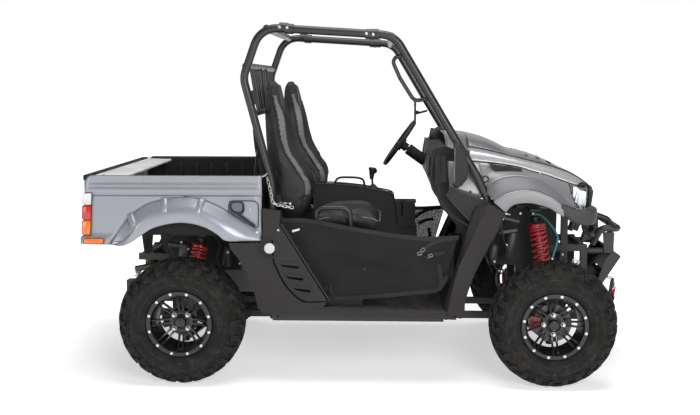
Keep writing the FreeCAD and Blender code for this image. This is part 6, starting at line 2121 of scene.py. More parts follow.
@dataclass
class FrontBody:
    """The hood, the cowl, the fenders with their flares, the lamps, the fascia and the bumper."""

    crest: tuple[Row, ...] = (
        (0.560, 1.285), (0.607, 1.276), (0.666, 1.261), (0.730, 1.237), (0.786, 1.209), (0.825, 1.192),
        (0.877, 1.181), (0.944, 1.163), (0.983, 1.150), (1.050, 1.122), (1.089, 1.101), (1.144, 1.076),
        (1.192, 1.050), (1.240, 1.018), (1.262, 0.994)
    )
    crease: tuple[Row, ...] = (
        (0.560, 1.229), (0.618, 1.220), (0.669, 1.209), (0.745, 1.191), (0.819, 1.172), (0.893, 1.154),
        (0.960, 1.137), (1.034, 1.115), (1.094, 1.093), (1.139, 1.067), (1.172, 1.042)
    )
    skirt: tuple[Row, ...] = (
        (0.560, 1.164), (0.655, 1.157), (0.750, 1.145), (0.830, 1.130), (0.875, 1.115), (0.947, 1.097),
        (1.020, 1.072), (1.076, 1.052), (1.120, 1.038)
    )
    arch: tuple[Row, ...] = (
        (0.640, 1.008), (0.654, 1.037), (0.682, 1.064), (0.725, 1.082), (0.778, 1.091), (0.832, 1.090),
        (0.903, 1.076), (0.969, 1.042), (1.005, 1.012), (1.042, 0.981), (1.066, 0.955), (1.090, 0.930)
    )
    ridge: tuple[Row, ...] = (
        (0.676, 0.972), (0.690, 0.985), (0.719, 1.004), (0.771, 1.021), (0.824, 1.029), (0.877, 1.029),
        (0.959, 0.999), (0.995, 0.974), (1.020, 0.954)
    )
    lip: tuple[Row, ...] = (
        (0.730, 0.918), (0.748, 0.941), (0.771, 0.957), (0.806, 0.965), (0.859, 0.966), (0.912, 0.955),
        (0.954, 0.941), (0.995, 0.914), (1.026, 0.898)
    )
    lens: tuple[Row, ...] = (
        (1.078, 1.048), (1.123, 1.029), (1.170, 1.017), (1.168, 0.970), (1.160, 0.922), (1.134, 0.911),
        (1.112, 0.921), (1.095, 0.981)
    )
    bumper_path: tuple[Row, ...] = (
        (1.010, 0.702), (1.050, 0.700), (1.090, 0.698), (1.130, 0.692), (1.172, 0.680), (1.200, 0.640),
        (1.212, 0.560), (1.216, 0.400), (1.217, 0.200), (1.217, 0.0)
    )

    def build(self) -> None:
        """Makes every panel of the front."""
        self.build_hood()
        self.build_cowl()
        self.build_fenders()
        self.build_lamps()
        self.build_fascia()
        self.build_bumper()

    def build_hood(self) -> None:
        """Makes the top, whose darker grey is painted shade on the band's paint, the bright shoulder band,
        the trim and the scoops.
        """
        half = [
            [(x, 0.0, z) for x, z in self.crest],
            [(x - 0.004, 0.16, z + 0.001) for x, z in self.crest],
            [(x - 0.020 * max(0.0, (x - 1.0) / 0.26), 0.30, z - 0.010) for x, z in self.crest],
        ]
        half.append([(p[0] - 0.03 * max(0.0, (p[0] - 0.9) / 0.36), 0.375, p[2] - 0.012) for p in half[2]])
        half.append(plane_line(0.428, [(x, z + 0.006) for x, z in self.crease]))
        lines = [[(x, -y, z) for x, y, z in line] for line in reversed(half[1:])] + half
        panel("hood_top", Body.HOOD, HOOD_TOP_PAINTED_SHADE, "grey_paint", lines, 44, 4, both=False, stands_for=("hood",))
        edge = [(x, 0.432, z) for x, z in self.crease]
        low = [(x, 0.518, z) for x, z in self.skirt]
        bulge = [
            (a[0] * 0.5 + b[0] * 0.5, 0.492, a[2] * 0.52 + b[2] * 0.48 + 0.012) for a,
            b in zip(even(edge, 10), even(low, 10))
        ]
        panel("hood_band", Body.HOOD, HOOD_PAINT, "silver_paint", [edge, bulge, low], 44, 5)
        trim = Shape()
        for side in LEFT_FIRST:
            front = [
                (1.262, 0.0, 0.990), (1.256, 0.16, 0.994), (1.236, 0.30, 1.000), (1.205, 0.385, 1.020),
                (1.176, 0.430, 1.038), (1.130, 0.514, 1.034)
            ]
            trim.tube(smooth_path([(x, side * y, z) for x, y, z in front], 5), 0.0075, 10)
            for x, z in ((0.868, 1.186), (0.930, 1.170), (0.992, 1.149)):
                rise = [
                    (x - 0.030, z - 0.008), (x + 0.026, z - 0.010), (x + 0.031, z - 0.020),
                    (x + 0.029, z - 0.030), (x - 0.028, z - 0.022)
                ]
                trim.prism(rise, side * 0.10, side * 0.27)
            groove = [(x, side * 0.4305, z + 0.0035) for x, z in self.crease]
            trim.tube(smooth_path(groove, 4), 0.0026, 8)
        trim.done("hood_trim", Body.HOOD, [TRIM_PLASTIC], "black_plastic", sharp=40)

    def build_cowl(self) -> None:
        """Makes the cowl behind the hood and its pale side panels; both take darker copies of the body paint,
        which is painted shade.
        """
        back = 0.440
        rows = (
            (0.0, 1.289, 1.286), (0.20, 1.288, 1.285), (0.34, 1.272, 1.268), (0.430, 1.240, 1.232),
            (0.505, 1.196, 1.186), (0.520, 1.178, 1.164)
        )
        half = [[(back, y, z0), (0.500, y, z0 + 0.001), (0.555, y, z1)] for y, z0, z1 in rows]
        lines = [[(x, -y, z) for x, y, z in line] for line in reversed(half[1:])] + half
        # The cowl top takes the hood top's darker copy of the paint: painted shade.
        panel(
            "cowl_top", Body.CHASSIS, HOOD_TOP_PAINTED_SHADE, "grey_paint", lines, 8, 4, both=False,
            stands_for=("front_cowl",)
        )
        # The side panels take the fender's darker copy of the body paint: painted shade.
        panel("cowl_sides", Body.CHASSIS, FENDER_PAINTED_SHADE, "grey_paint", [
            [(0.445, 0.522, 1.174), (0.560, 0.524, 1.158), (0.612, 0.525, 1.153)],
            [(0.447, 0.566, 1.100), (0.540, 0.572, 1.082), (0.628, 0.576, 1.076)],
            [(0.453, 0.597, 1.036), (0.533, 0.600, 1.004), (0.606, 0.603, 0.978), (0.640, 0.606, 0.985)],
        ], 14, 4)
        bolts = Shape()
        for side in LEFT_FIRST:
            ring = [
                (0.0115, 0.0), (0.0180, 0.0), (0.0195, 0.003), (0.0180, 0.006), (0.0125, 0.006),
                (0.0110, 0.003)
            ]
            bolts.lathe(ring, Vector((0.637, side * 0.592, 1.075)), outward(side), 28, closed=True)
            for x, y, z, r in ((0.478, 0.600, 1.046, 0.007), (0.560, 0.604, 1.010, 0.006)):
                bolts.merge(button_bolt(r, 0.004), facing((x, side * y, z), outward(side)))
        bolts.done("cowl_fasteners", Body.CHASSIS, [TRIM_PLASTIC], "black_plastic", sharp=30)

    def build_fenders(self) -> None:
        """Makes the fender sides in a darker copy of the body paint as painted shade, the flares with their
        bright lips in a lighter copy of the flare grey as painted highlight, and the side vents.
        """
        top = plane_line(0.524, [(0.592, 1.156)] + [(x, z - 0.006) for x, z in self.skirt if 0.6 < x < 1.08])
        foot = plane_line(0.608, ((0.600, 0.984), (0.622, 0.996)) + self.arch[:-1] + ((1.094, 0.926),))
        foot[-1] = (1.100, 0.590, 0.924)
        waist = [
            (a[0] * 0.5 + b[0] * 0.5, 0.556, a[2] * 0.48 + b[2] * 0.52) for a,
            b in zip(even(top, 10), even(foot, 10))
        ]
        # The fender sides take a darker copy of the body paint: painted shade.
        panel(
            "fender_sides", Body.CHASSIS, FENDER_PAINTED_SHADE, "grey_paint", [top, waist, foot], 40, 5,
            stands_for=("front_fenders",)
        )
        outer = plane_line(0.612, [(x, z - 0.002) for x, z in self.arch])
        edge = plane_line(0.6245, [(x, z - 0.006) for x, z in self.arch])
        ridge = plane_line(0.692, self.ridge)
        deep = [
            (a.x * 0.45 + b.x * 0.55, 0.668, a.z * 0.45 + b.z * 0.55) for a,
            b in zip(even(edge, 12), even(ridge, 12))
        ]
        panel(
            "flare_uppers", Body.CHASSIS, FLARE_PLASTIC, "dark_grey_plastic", [outer, edge, deep, ridge], 44,
            4
        )
        lip = plane_line(0.701, self.lip)
        under = plane_line(0.664, [(x, z + 0.004) for x, z in self.lip])
        # The lips take a lighter copy of the flare's grey: painted highlight on the upright lips.
        panel(
            "flare_lips", Body.CHASSIS, FLARE_LIP_PAINTED_HIGHLIGHT, "grey_paint",
            [
                plane_line(0.688, [(x, z - 0.004) for x, z in self.ridge]),
                plane_line(0.699, [(x, z - 0.009) for x, z in self.ridge]), lip, under
            ],
            44, 4
        )
        vent = Shape()
        outline = [
            (0.655, 1.152), (0.826, 1.126), (0.832, 1.118), (0.808, 1.098), (0.722, 1.095), (0.712, 1.098)
        ]
        for side in LEFT_FIRST:
            vent.prism(outline, side * 0.536, side * 0.5555)
            for k in range(4):
                z = 1.104 + 0.011 * k
                vent.prism(
                    [
                        (0.712 - 0.015 * k, z), (0.806, z - 0.001), (0.806, z + 0.003),
                        (0.712 - 0.015 * k, z + 0.004)
                    ],
                    side * 0.550, side * 0.559
                )
        vent.done("fender_vents", Body.CHASSIS, [TRIM_PLASTIC], "black_plastic", bevel=0.001, sharp=30)

    def build_lamps(self) -> None:
        """Makes the headlights: dark housings, bright bowls, a pale bar and clear lenses."""
        centre = Vector((1.130, 0.0, 0.970))

        def ring(y: float, size: float, dx: float = 0.0) -> list[Point]:
            """Returns the lens outline at a height across the body, made smaller and set forward."""
            return [
                (centre.x + (x - centre.x) * size + dx, y, centre.z + (z - centre.z) * size) for x,
                z in self.lens
            ]

        for side, label in NAMED_SIDES:
            house = Shape().rings(
                [
                    ring(side * y, size, dx) for y, size,
                    dx in ((0.524, 0.96, 0.0), (0.44, 0.95, 0.012), (0.27, 0.90, 0.036))
                ]
            )
            house.done(
                f"headlight_house_{label}", Body.CHASSIS, [TRIM_PLASTIC], "black_plastic", bevel=0.002,
                sharp=30, stands_for=("headlights",)
            )
            inner = Shape()
            for y, z, r in ((0.41, 0.972, 0.030), (0.33, 0.968, 0.030)):
                inner.lathe(
                    [
                        (0.006, 0.001), (r * 0.6, 0.006), (r, 0.020), (r + 0.002, 0.020), (r * 0.62, 0.003),
                        (0.006, -0.002)
                    ],
                    Vector((1.168 + (0.45 - y) * 0.2, side * y, z)), X_AXIS, 28, closed=True
                )
            inner.prism(
                [(1.131, 1.011), (1.164, 1.004), (1.161, 0.930), (1.136, 0.920), (1.122, 0.946)],
                side * 0.524, side * 0.5285
            )
            inner.prism(
                [(1.100, 1.030), (1.118, 1.024), (1.108, 0.968), (1.100, 0.985)], side * 0.524, side * 0.5275
            )
            inner.prism([(1.138, 1.000), (1.155, 0.996), (1.143, 0.955)], side * 0.528, side * 0.5305, mark=1)
            inner.prism(
                [(1.120, 1.020), (1.129, 1.014), (1.119, 0.946), (1.110, 0.950)], side * 0.526, side * 0.5295,
                mark=1
            )
            inner.done(
                f"headlight_bowls_{label}", Body.CHASSIS, [CHROME, TRIM_PLASTIC], "lamp_clear", sharp=30
            )
            glass = Shape().rings(
                [
                    ring(side * y, size, dx) for y, size,
                    dx in (
                        (0.548, 0.90, 0.0), (0.5465, 0.97, 0.0), (0.540, 1.0, 0.001), (0.44, 1.0, 0.014),
                        (0.26, 0.94, 0.040)
                    )
                ]
            )
            glass.done(f"headlight_lens_{label}", Body.CHASSIS, [CLEAR_LENS], "lamp_clear", sharp=50)

    def build_fascia(self) -> None:
        """Makes the black fascia between the lamps with its grille bars."""
        shape = Shape()
        rings = []
        for y, dx in (
            (-0.512, 0.0), (-0.500, 0.003), (-0.40, 0.022), (-0.25, 0.040), (0.0, 0.047), (0.25, 0.040),
            (0.40, 0.022), (0.500, 0.003), (0.512, 0.0)
        ):
            rings.append(
                [
                    (1.184 + dx, y, 1.012), (1.206 + dx, y, 1.000), (1.200 + dx, y, 0.950),
                    (1.192 + dx, y, 0.900), (1.172 + dx, y, 0.902), (1.180 + dx, y, 0.955)
                ]
            )
        shape.rings(rings)
        for k in range(6):
            z = 0.912 + 0.016 * k
            shape.box((1.226, -0.225, z), (1.2535, 0.225, z + 0.006))
        for y in (-0.225, -0.075, 0.075, 0.225):
            shape.box((1.224, y - 0.004, 0.902), (1.250, y + 0.004, 1.002))
        shape.done(
            "fascia_grille", Body.CHASSIS, [TRIM_PLASTIC], "black_plastic", bevel=0.0015, sharp=30,
            stands_for=("front_grille",)
        )

    def build_bumper(self) -> None:
        """Makes the bumper skin round the front corners and the lamp barrels under it."""
        plan = [Vector((x, y, 0)) for x, y in self.bumper_path]
        plan += [Vector((p.x, -p.y, 0)) for p in reversed(plan[:-1])]
        lines = []
        for inset, z in (
            (0.040, 0.932), (0.010, 0.930), (0.0, 0.922), (0.0, 0.880), (0.004, 0.858), (0.016, 0.850),
            (0.030, 0.850)
        ):
            line = []
            for k, p in enumerate(plan):
                along = plan[min(k + 1, len(plan) - 1)] - plan[max(k - 1, 0)]
                inward = Vector((along.y, -along.x, 0)).normalized()
                sag = 0.022 * max(0.0, 1 - abs(p.y) / 0.60)
                rise = max(0.0, 1.10 - p.x) * (0.34 if z > 0.9 else 0.62)
                line.append((p.x + inward.x * inset, p.y + inward.y * inset, z - sag + rise))
            lines.append(line)
        panel(
            "bumper_skin", Body.CHASSIS, BUMPER_GREY, "dark_grey_plastic", lines, 80, 2, both=False,
            stands_for=("front_valance",)
        )
        barrels = Shape()
        for side in LEFT_FIRST:
            at = Vector((1.176, side * 0.560, 0.822))
            barrels.lathe(
                [
                    (0.022, 0.004), (0.029, 0.0), (0.033, 0.004), (0.033, 0.046), (0.026, 0.060),
                    (0.010, 0.064), (0.010, 0.050), (0.022, 0.044)
                ],
                at + Vector((0, side * 0.03, 0)), Vector((0.0, -side, 0)), 28, closed=True
            )
            barrels.tube(
                smooth_path(
                    [
                        (1.150, side * 0.545, 0.850), (1.160, side * 0.555, 0.812),
                        (1.190, side * 0.55, 0.785), (1.212, side * 0.50, 0.775)
                    ],
                    5
                ),
                0.012, 12
            )
            barrels.prism(
                [(1.150, 0.856), (1.212, 0.846), (1.206, 0.822), (1.160, 0.826)], side * 0.50, side * 0.53
            )
        barrels.done("bumper_barrels", Body.CHASSIS, [TRIM_PLASTIC], "black_plastic", bevel=0.001, sharp=30)


# ---------------------------------------------------------------- soft goods


def baked(piece: bpy.types.Object) -> bpy.types.Mesh:
    """Returns a new mesh with a piece's modifiers worked in."""
    graph = bpy.context.evaluated_depsgraph_get()
    return bpy.data.meshes.new_from_object(piece.evaluated_get(graph))


def run_cloth(
    piece: bpy.types.Object, pressure: float, gravity: float, frames: int, cap: float, stiff: float = 15.0,
    pins: str = ""
) -> None:
    """Lets a mesh settle as cloth and keeps the result, with each point's movement capped.

    Args:
        piece: the object to settle.
        pressure: air pressure inside it.
        gravity: share of gravity that acts.
        frames: how many frames to run.
        cap: the most that a point may move, in metres.
        stiff: how hard it resists stretching.
        pins: the vertex group that is held, if any.
    """
    before = [v.co.copy() for v in piece.data.vertices]
    cloth = piece.modifiers.new("cloth", "CLOTH")
    cloth.settings.quality = 3
    cloth.settings.mass = 0.3
    cloth.settings.tension_stiffness = stiff
    cloth.settings.compression_stiffness = stiff
    cloth.settings.bending_stiffness = 0.6
    cloth.settings.use_pressure = pressure > 0
    cloth.settings.uniform_pressure_force = pressure
    cloth.settings.effector_weights.gravity = gravity
    if pins:
        cloth.settings.vertex_group_mass = pins
    cloth.point_cache.frame_start = 1
    cloth.point_cache.frame_end = frames
    scene = bpy.context.scene
    for k in range(1, frames + 1):
        scene.frame_set(k)
    after = baked(piece)
    piece.modifiers.remove(cloth)
    for v, old, new in zip(piece.data.vertices, before, after.vertices):
        move = new.co - old
        if move.length > cap:
            move *= cap / move.length
        v.co = old + move
    bpy.data.meshes.remove(after)
    scene.frame_set(1)


def plump(
    name: str, shape: Shape, looks: Sequence["Finish"], pick: Callable[[Vector], int],
    stands_for: Sequence[str] = ()
) -> bpy.types.Object:
    """Turns a closed form into a stuffed cushion.

    Args:
        name: the piece's name.
        shape: the form, a little smaller than the cushion.
        looks: its finishes.
        pick: gives the finish of a face from its centre.
        stands_for: the nodes that it is shown for.

    Returns:
        The cushion.
    """
    piece = shape.done(name, Body.CHASSIS, looks, "seat_vinyl", sharp=180, stands_for=stands_for)
    skin = piece.modifiers.new("skin", "REMESH")
    skin.mode = "VOXEL"
    skin.voxel_size = 0.006
    mesh = baked(piece)
    piece.modifiers.clear()
    old = piece.data
    piece.data = mesh
    bpy.data.meshes.remove(old)
    run_cloth(piece, pressure=4.0, gravity=0.0, frames=20, cap=0.012)
    mesh.materials.clear()
    for look in looks:
        mesh.materials.append(look.material())
    for face in mesh.polygons:
        face.material_index = pick(face.center)
        face.use_smooth = True
    round_off = piece.modifiers.new("round_off", "SMOOTH")
    round_off.factor = 0.5
    round_off.iterations = 2
    return piece


@dataclass
class Seats:
    """Two high-backed bucket seats with grey front bolsters, each cushion settled on its own."""

    mid_y: float = 0.330
    half: float = 0.222
    driver_on: float = 0.035
    foot_z: float = 0.840
    back_h: float = 0.746
    sections: int = 30
    fronts: tuple[Row, ...] = (
        (0.840, -0.318), (0.900, -0.292), (0.960, -0.276), (1.012, -0.268), (1.056, -0.276), (1.125, -0.320),
        (1.203, -0.372), (1.272, -0.396), (1.367, -0.414), (1.452, -0.434), (1.529, -0.452), (1.575, -0.462),
        (1.586, -0.476)
    )
    rears: tuple[Row, ...] = (
        (0.840, -0.415), (0.871, -0.430), (0.967, -0.474), (1.098, -0.482), (1.272, -0.498), (1.401, -0.508),
        (1.529, -0.508), (1.586, -0.490)
    )
    widths: tuple[Row, ...] = (
        (0.840, 0.80), (0.90, 0.95), (1.00, 1.0), (1.25, 0.98), (1.33, 0.88), (1.42, 0.70), (1.52, 0.62),
        (1.575, 0.54), (1.586, 0.44)
    )

    def build(self) -> None:
        """Makes both seats."""
        for side, label, on in ((-1, "right", 0.0), (1, "left", self.driver_on)):
            self.build_back(side, label, on)
            self.build_cushion(side, label, on)

    @staticmethod
    def read(table: Sequence[Row], z: float) -> float:
        """Returns a table's value at a height."""
        for (z0, a), (z1, b) in zip(table, table[1:]):
            if z <= z1:
                return a + (b - a) * max(0.0, (z - z0)) / (z1 - z0)
        return table[-1][1]

    def build_back(self, side: int, label: str, on: float) -> None:
        """Makes one seat back with its piping and seams.

        Args:
            side: -1 for the right-hand seat, 1 for the left.
            label: its name.
            on: how far forward it sits.
        """
        shape = Shape()
        rings = []
        mid = side * self.mid_y
        for k in range(self.sections + 1):
            z = self.foot_z + self.back_h * k / self.sections
            front, rear, wide = self.read(
                self.fronts, z
            ) + on, self.read(self.rears, z) + on, self.half * self.read(self.widths, z)
            dip = 0.040 * min(1.0, max(0.0, (1.50 - z) / 0.2)) + 0.004
            half = [
                (rear, 0.0), (rear + 0.002, wide * 0.70), (rear + 0.016, wide * 0.94), (front - 0.050, wide),
                (front - 0.014, wide * 0.985), (front - 0.002, wide * 0.90), (front, wide * 0.80),
                (front - 0.012, wide * 0.68), (front - dip, wide * 0.56), (front - dip - 0.004, 0.0)
            ]
            rings.append(
                [(x, mid + y, z) for x, y in half] + [(x, mid - y, z) for x, y in reversed(half[1:-1])]
            )
        shape.rings(rings)

        def pick(at: Vector) -> int:
            """Returns 1 for the grey bolster faces."""
            front = self.read(self.fronts, at.z) + on
            edge = abs(at.y - mid) / (self.half * self.read(self.widths, at.z))
            return int(at.x > front - 0.024 and edge > 0.84 and 0.985 < at.z < 1.50)

        plump(
            f"seat_back_{label}", shape, [SEAT_BLACK, SEAT_GREY], pick, stands_for=("seat_backs",)
        )
        seams = Shape()
        for out in (-1, 1):
            line, groove = [], []
            for k in range(22):
                z = 0.900 + 0.655 * k / 21
                wide = self.half * self.read(self.widths, z) + 0.004
                line.append((self.read(self.fronts, z) + on - 0.030, mid + out * wide, z))
                groove.append(
                    (
                        self.read(self.rears, z) + on + 0.030 + 0.060 * max(0.0, 1 - (z - 0.9) / 0.5),
                        mid + out * wide, z
                    )
                )
            seams.tube(line, 0.0026, 8)
            seams.tube(groove, 0.0022, 8)
        for z in (1.08, 1.20, 1.32):
            seams.tube(
                [
                    (self.read(self.fronts, z) + on - 0.041, mid + y, z)
                    for y in (-0.11, -0.05, 0.0, 0.05, 0.11)
                ],
                0.0028, 8
            )
        seams.done(f"seat_back_seams_{label}", Body.CHASSIS, [TRIM_PLASTIC], "seat_vinyl", sharp=60)

    def build_cushion(self, side: int, label: str, on: float) -> None:
        """Makes one seat cushion with its welt.

        Args:
            side: -1 for the right-hand seat, 1 for the left.
            label: its name.
            on: how far forward it sits.
        """
        profile = (
            (-0.262, 0.798), (-0.266, 0.850), (-0.232, 0.878), (-0.160, 0.897), (-0.060, 0.905),
            (0.010, 0.900), (0.062, 0.884), (0.084, 0.862), (0.088, 0.836), (0.078, 0.806), (0.050, 0.798)
        )
        shape = Shape()
        rings = []
        mid = side * self.mid_y
        for t in (
            -1.0, -0.985, -0.93, -0.86, -0.76, -0.66, -0.30, 0.0, 0.30, 0.66, 0.76, 0.86, 0.93, 0.985, 1.0
        ):
            ease = 0.93 if abs(t) > 0.99 else (0.975 if abs(t) > 0.98 else 1.0)
            dip = 0.022 * min(1.0, max(0.0, (0.80 - abs(t)) / 0.12))
            ring = []
            for x, z in profile:
                up = max(0.0, z - 0.80) / 0.1
                ring.append(
                    (
                        -0.089 + (x + 0.089) * ease + on, mid + t * self.half,
                        0.842 + (z - 0.842) * ease - dip * min(1.0, up)
                    )
                )
            rings.append(ring)
        shape.rings(rings)
        plump(
            f"seat_cushion_{label}", shape, [SEAT_BLACK], lambda at: 0,
            stands_for=("seat_cushions",)
        )
        welt = Shape()
        for out in (-1, 1):
            y = mid + out * (self.half + 0.0035)
            welt.tube(
                smooth_path(
                    [
                        (-0.250 + on, y, 0.850), (-0.170 + on, y, 0.866), (-0.05 + on, y, 0.872),
                        (0.040 + on, y, 0.864), (0.085 + on, y, 0.848)
                    ],
                    6
                ),
                0.0034, 10
            )
        front = 0.0935 + on
        welt.tube([(front, mid + t * self.half, 0.846) for t in (-0.95, -0.5, 0.0, 0.5, 0.95)], 0.0032, 10)
        welt.done(f"seat_welt_{label}", Body.CHASSIS, [SEAT_GREY], "seat_vinyl", sharp=60)


@dataclass
class SideNets:
    """The cloth side nets, hung in folds between the posts, with their hems, straps and buckles."""

    y: float = 0.641
    top: tuple[Row, ...] = (
        (-0.430, 0.868), (-0.310, 0.872), (-0.178, 0.852), (-0.047, 0.828), (0.084, 0.806), (0.198, 0.790),
        (0.329, 0.778), (0.420, 0.782), (0.502, 0.786)
    )
    foot: tuple[Row, ...] = (
        (-0.195, 0.462), (-0.150, 0.446), (0.000, 0.454), (0.140, 0.466), (0.280, 0.480), (0.388, 0.494),
        (0.430, 0.540), (0.440, 0.570)
    )
    folds: tuple[tuple[float, float, float, float], ...] = (
        (0.0070, 2.2, 5.5, 0.4), (0.0045, -4.0, 8.5, 1.2), (0.0028, 9.0, 6.0, 0.3)
    )
    steps: int = 84
    rows: int = 40
    cloth_thick: float = 0.0016
    pin_reach: float = 0.030
    pins_top: tuple[int, ...] = (0, 20, 42, 64, -1)
    pins_foot: tuple[int, ...] = (0, 30, 60, -1)
    hem_lift: float = 0.008
    hem_out: float = 0.0035

    def build(self) -> None:
        """Makes both nets."""
        for side, label in NAMED_SIDES:
            self.build_net(side, label)

    def build_net(self, side: int, label: str) -> None:
        """Hangs one net and sews on its hems.

        Args:
            side: -1 for the right-hand net, 1 for the left.
            label: its name.
        """
        high, low = even(plane_line(self.y, self.top), self.steps), even(
            plane_line(self.y, self.foot), self.steps
        )
        verts, faces, creases = [], [], []
        for i in range(self.steps + 1):
            for k in range(self.rows + 1):
                t, u = k / self.rows, i / self.steps
                p = high[i].lerp(low[i], t)
                slack = math.sin(math.pi * t) * math.sin(math.pi * u) ** 0.6
                folds = sum(
                    deep * (1.0 - 2.0 * abs(math.sin(a * u + b * t + c))) for deep, a, b, c in self.folds
                )
                creases.append(Vector((0, side * slack * folds, 0)))
                verts.append((p.x, side * p.y, p.z))
        span = self.rows + 1
        for i in range(self.steps):
            for k in range(self.rows):
                a = i * span + k
                faces.append((a, a + span, a + span + 1, a + 1))
        net = Shape().add(verts, faces).done(
            f"side_net_{label}", Body.CHASSIS, [NET_BLACK if side > 0 else NET_CLOTH], "net_fabric",
            sharp=180, stands_for=("side_nets",)
        )
        held = net.vertex_groups.new(name="held")
        pins = [high[k] for k in self.pins_top] + [low[k] for k in self.pins_foot]
        edge = [
            v.index
            for v in net.data.vertices
            if min(abs(v.co.x - p.x) + abs(v.co.z - p.z) for p in pins) < self.pin_reach
        ]
        held.add(edge, 1.0, "REPLACE")
        run_cloth(net, pressure=0.0, gravity=0.6, frames=14, cap=0.016, stiff=40.0, pins="held")
        for vertex, crease in zip(net.data.vertices, creases):
            vertex.co += crease
        thicken(net, self.cloth_thick)
        hems = Shape()
        by_end = [net.data.vertices[i * span].co for i in range(self.steps + 1)]
        by_foot = [net.data.vertices[i * span + self.rows].co for i in range(self.steps + 1)]
        flat = [(-0.0012, -0.011), (-0.0012, 0.011), (0.0012, 0.011), (0.0012, -0.011)]
        for path, shift in ((by_end, -self.hem_lift), (by_foot, self.hem_lift)):
            line = [Vector((p.x, p.y + side * self.hem_out, p.z + shift)) for p in path[::2]]
            hems.sweep(line, [(b, a) for a, b in flat], up=Y_AXIS)
        hems_piece = hems.done(f"net_hems_{label}", Body.CHASSIS, [WEBBING], "net_fabric", sharp=40)
        self.build_hardware(side, label)

    def build_hardware(self, side: int, label: str) -> None:
        """Adds the tie straps, the slide buckles and the end bolts.

        Args:
            side: -1 for the right-hand net, 1 for the left.
            label: its name.
        """
        straps, metal = Shape(), Shape()
        y = side * (self.y + 0.006)
        flat = ribbon(0.010, 0.0013)
        runs = (
            ((0.300, 0.700), (0.345, 0.735), (0.395, 0.760), (0.470, 0.772)),
            ((0.330, 0.668), (0.375, 0.690), (0.430, 0.700)),
            ((-0.190, 0.500), (-0.165, 0.520), (-0.150, 0.470), (-0.120, 0.455)),
            ((0.400, 0.640), (0.412, 0.560), (0.404, 0.500))
        )
        for run in runs:
            straps.sweep(smooth_path([(x, y, z) for x, z in run], 6), flat, up=Y_AXIS)
        for x, z, turn in ((0.318, 0.712, 0.6), (0.356, 0.684, 0.3), (0.300, 0.694, 0.2)):
            loop = [(-0.010, -0.007), (0.010, -0.007), (0.010, 0.007), (-0.010, 0.007)]
            points = [
                (
                    x + a * math.cos(turn) - b * math.sin(turn), y + side * 0.003,
                    z + a * math.sin(turn) + b * math.cos(turn)
                ) for a,
                b in loop
            ]
            metal.tube(points, 0.0014, 8, closed=True)
        for x, z in ((-0.410, 0.836), (-0.196, 0.470)):
            metal.merge(button_bolt(0.0085, 0.005), facing((x, y + side * 0.004, z), outward(side)))
        metal.prism([(-0.356, 0.800), (-0.318, 0.812), (-0.318, 0.822), (-0.358, 0.812)], y, y + side * 0.003)
        straps.done(f"net_straps_{label}", Body.CHASSIS, [WEBBING], "net_fabric", sharp=40)
        metal.done(f"net_buckles_{label}", Body.CHASSIS, [ZINC], "steel", sharp=30)


# ---------------------------------------------------------------- cab sides and fittings


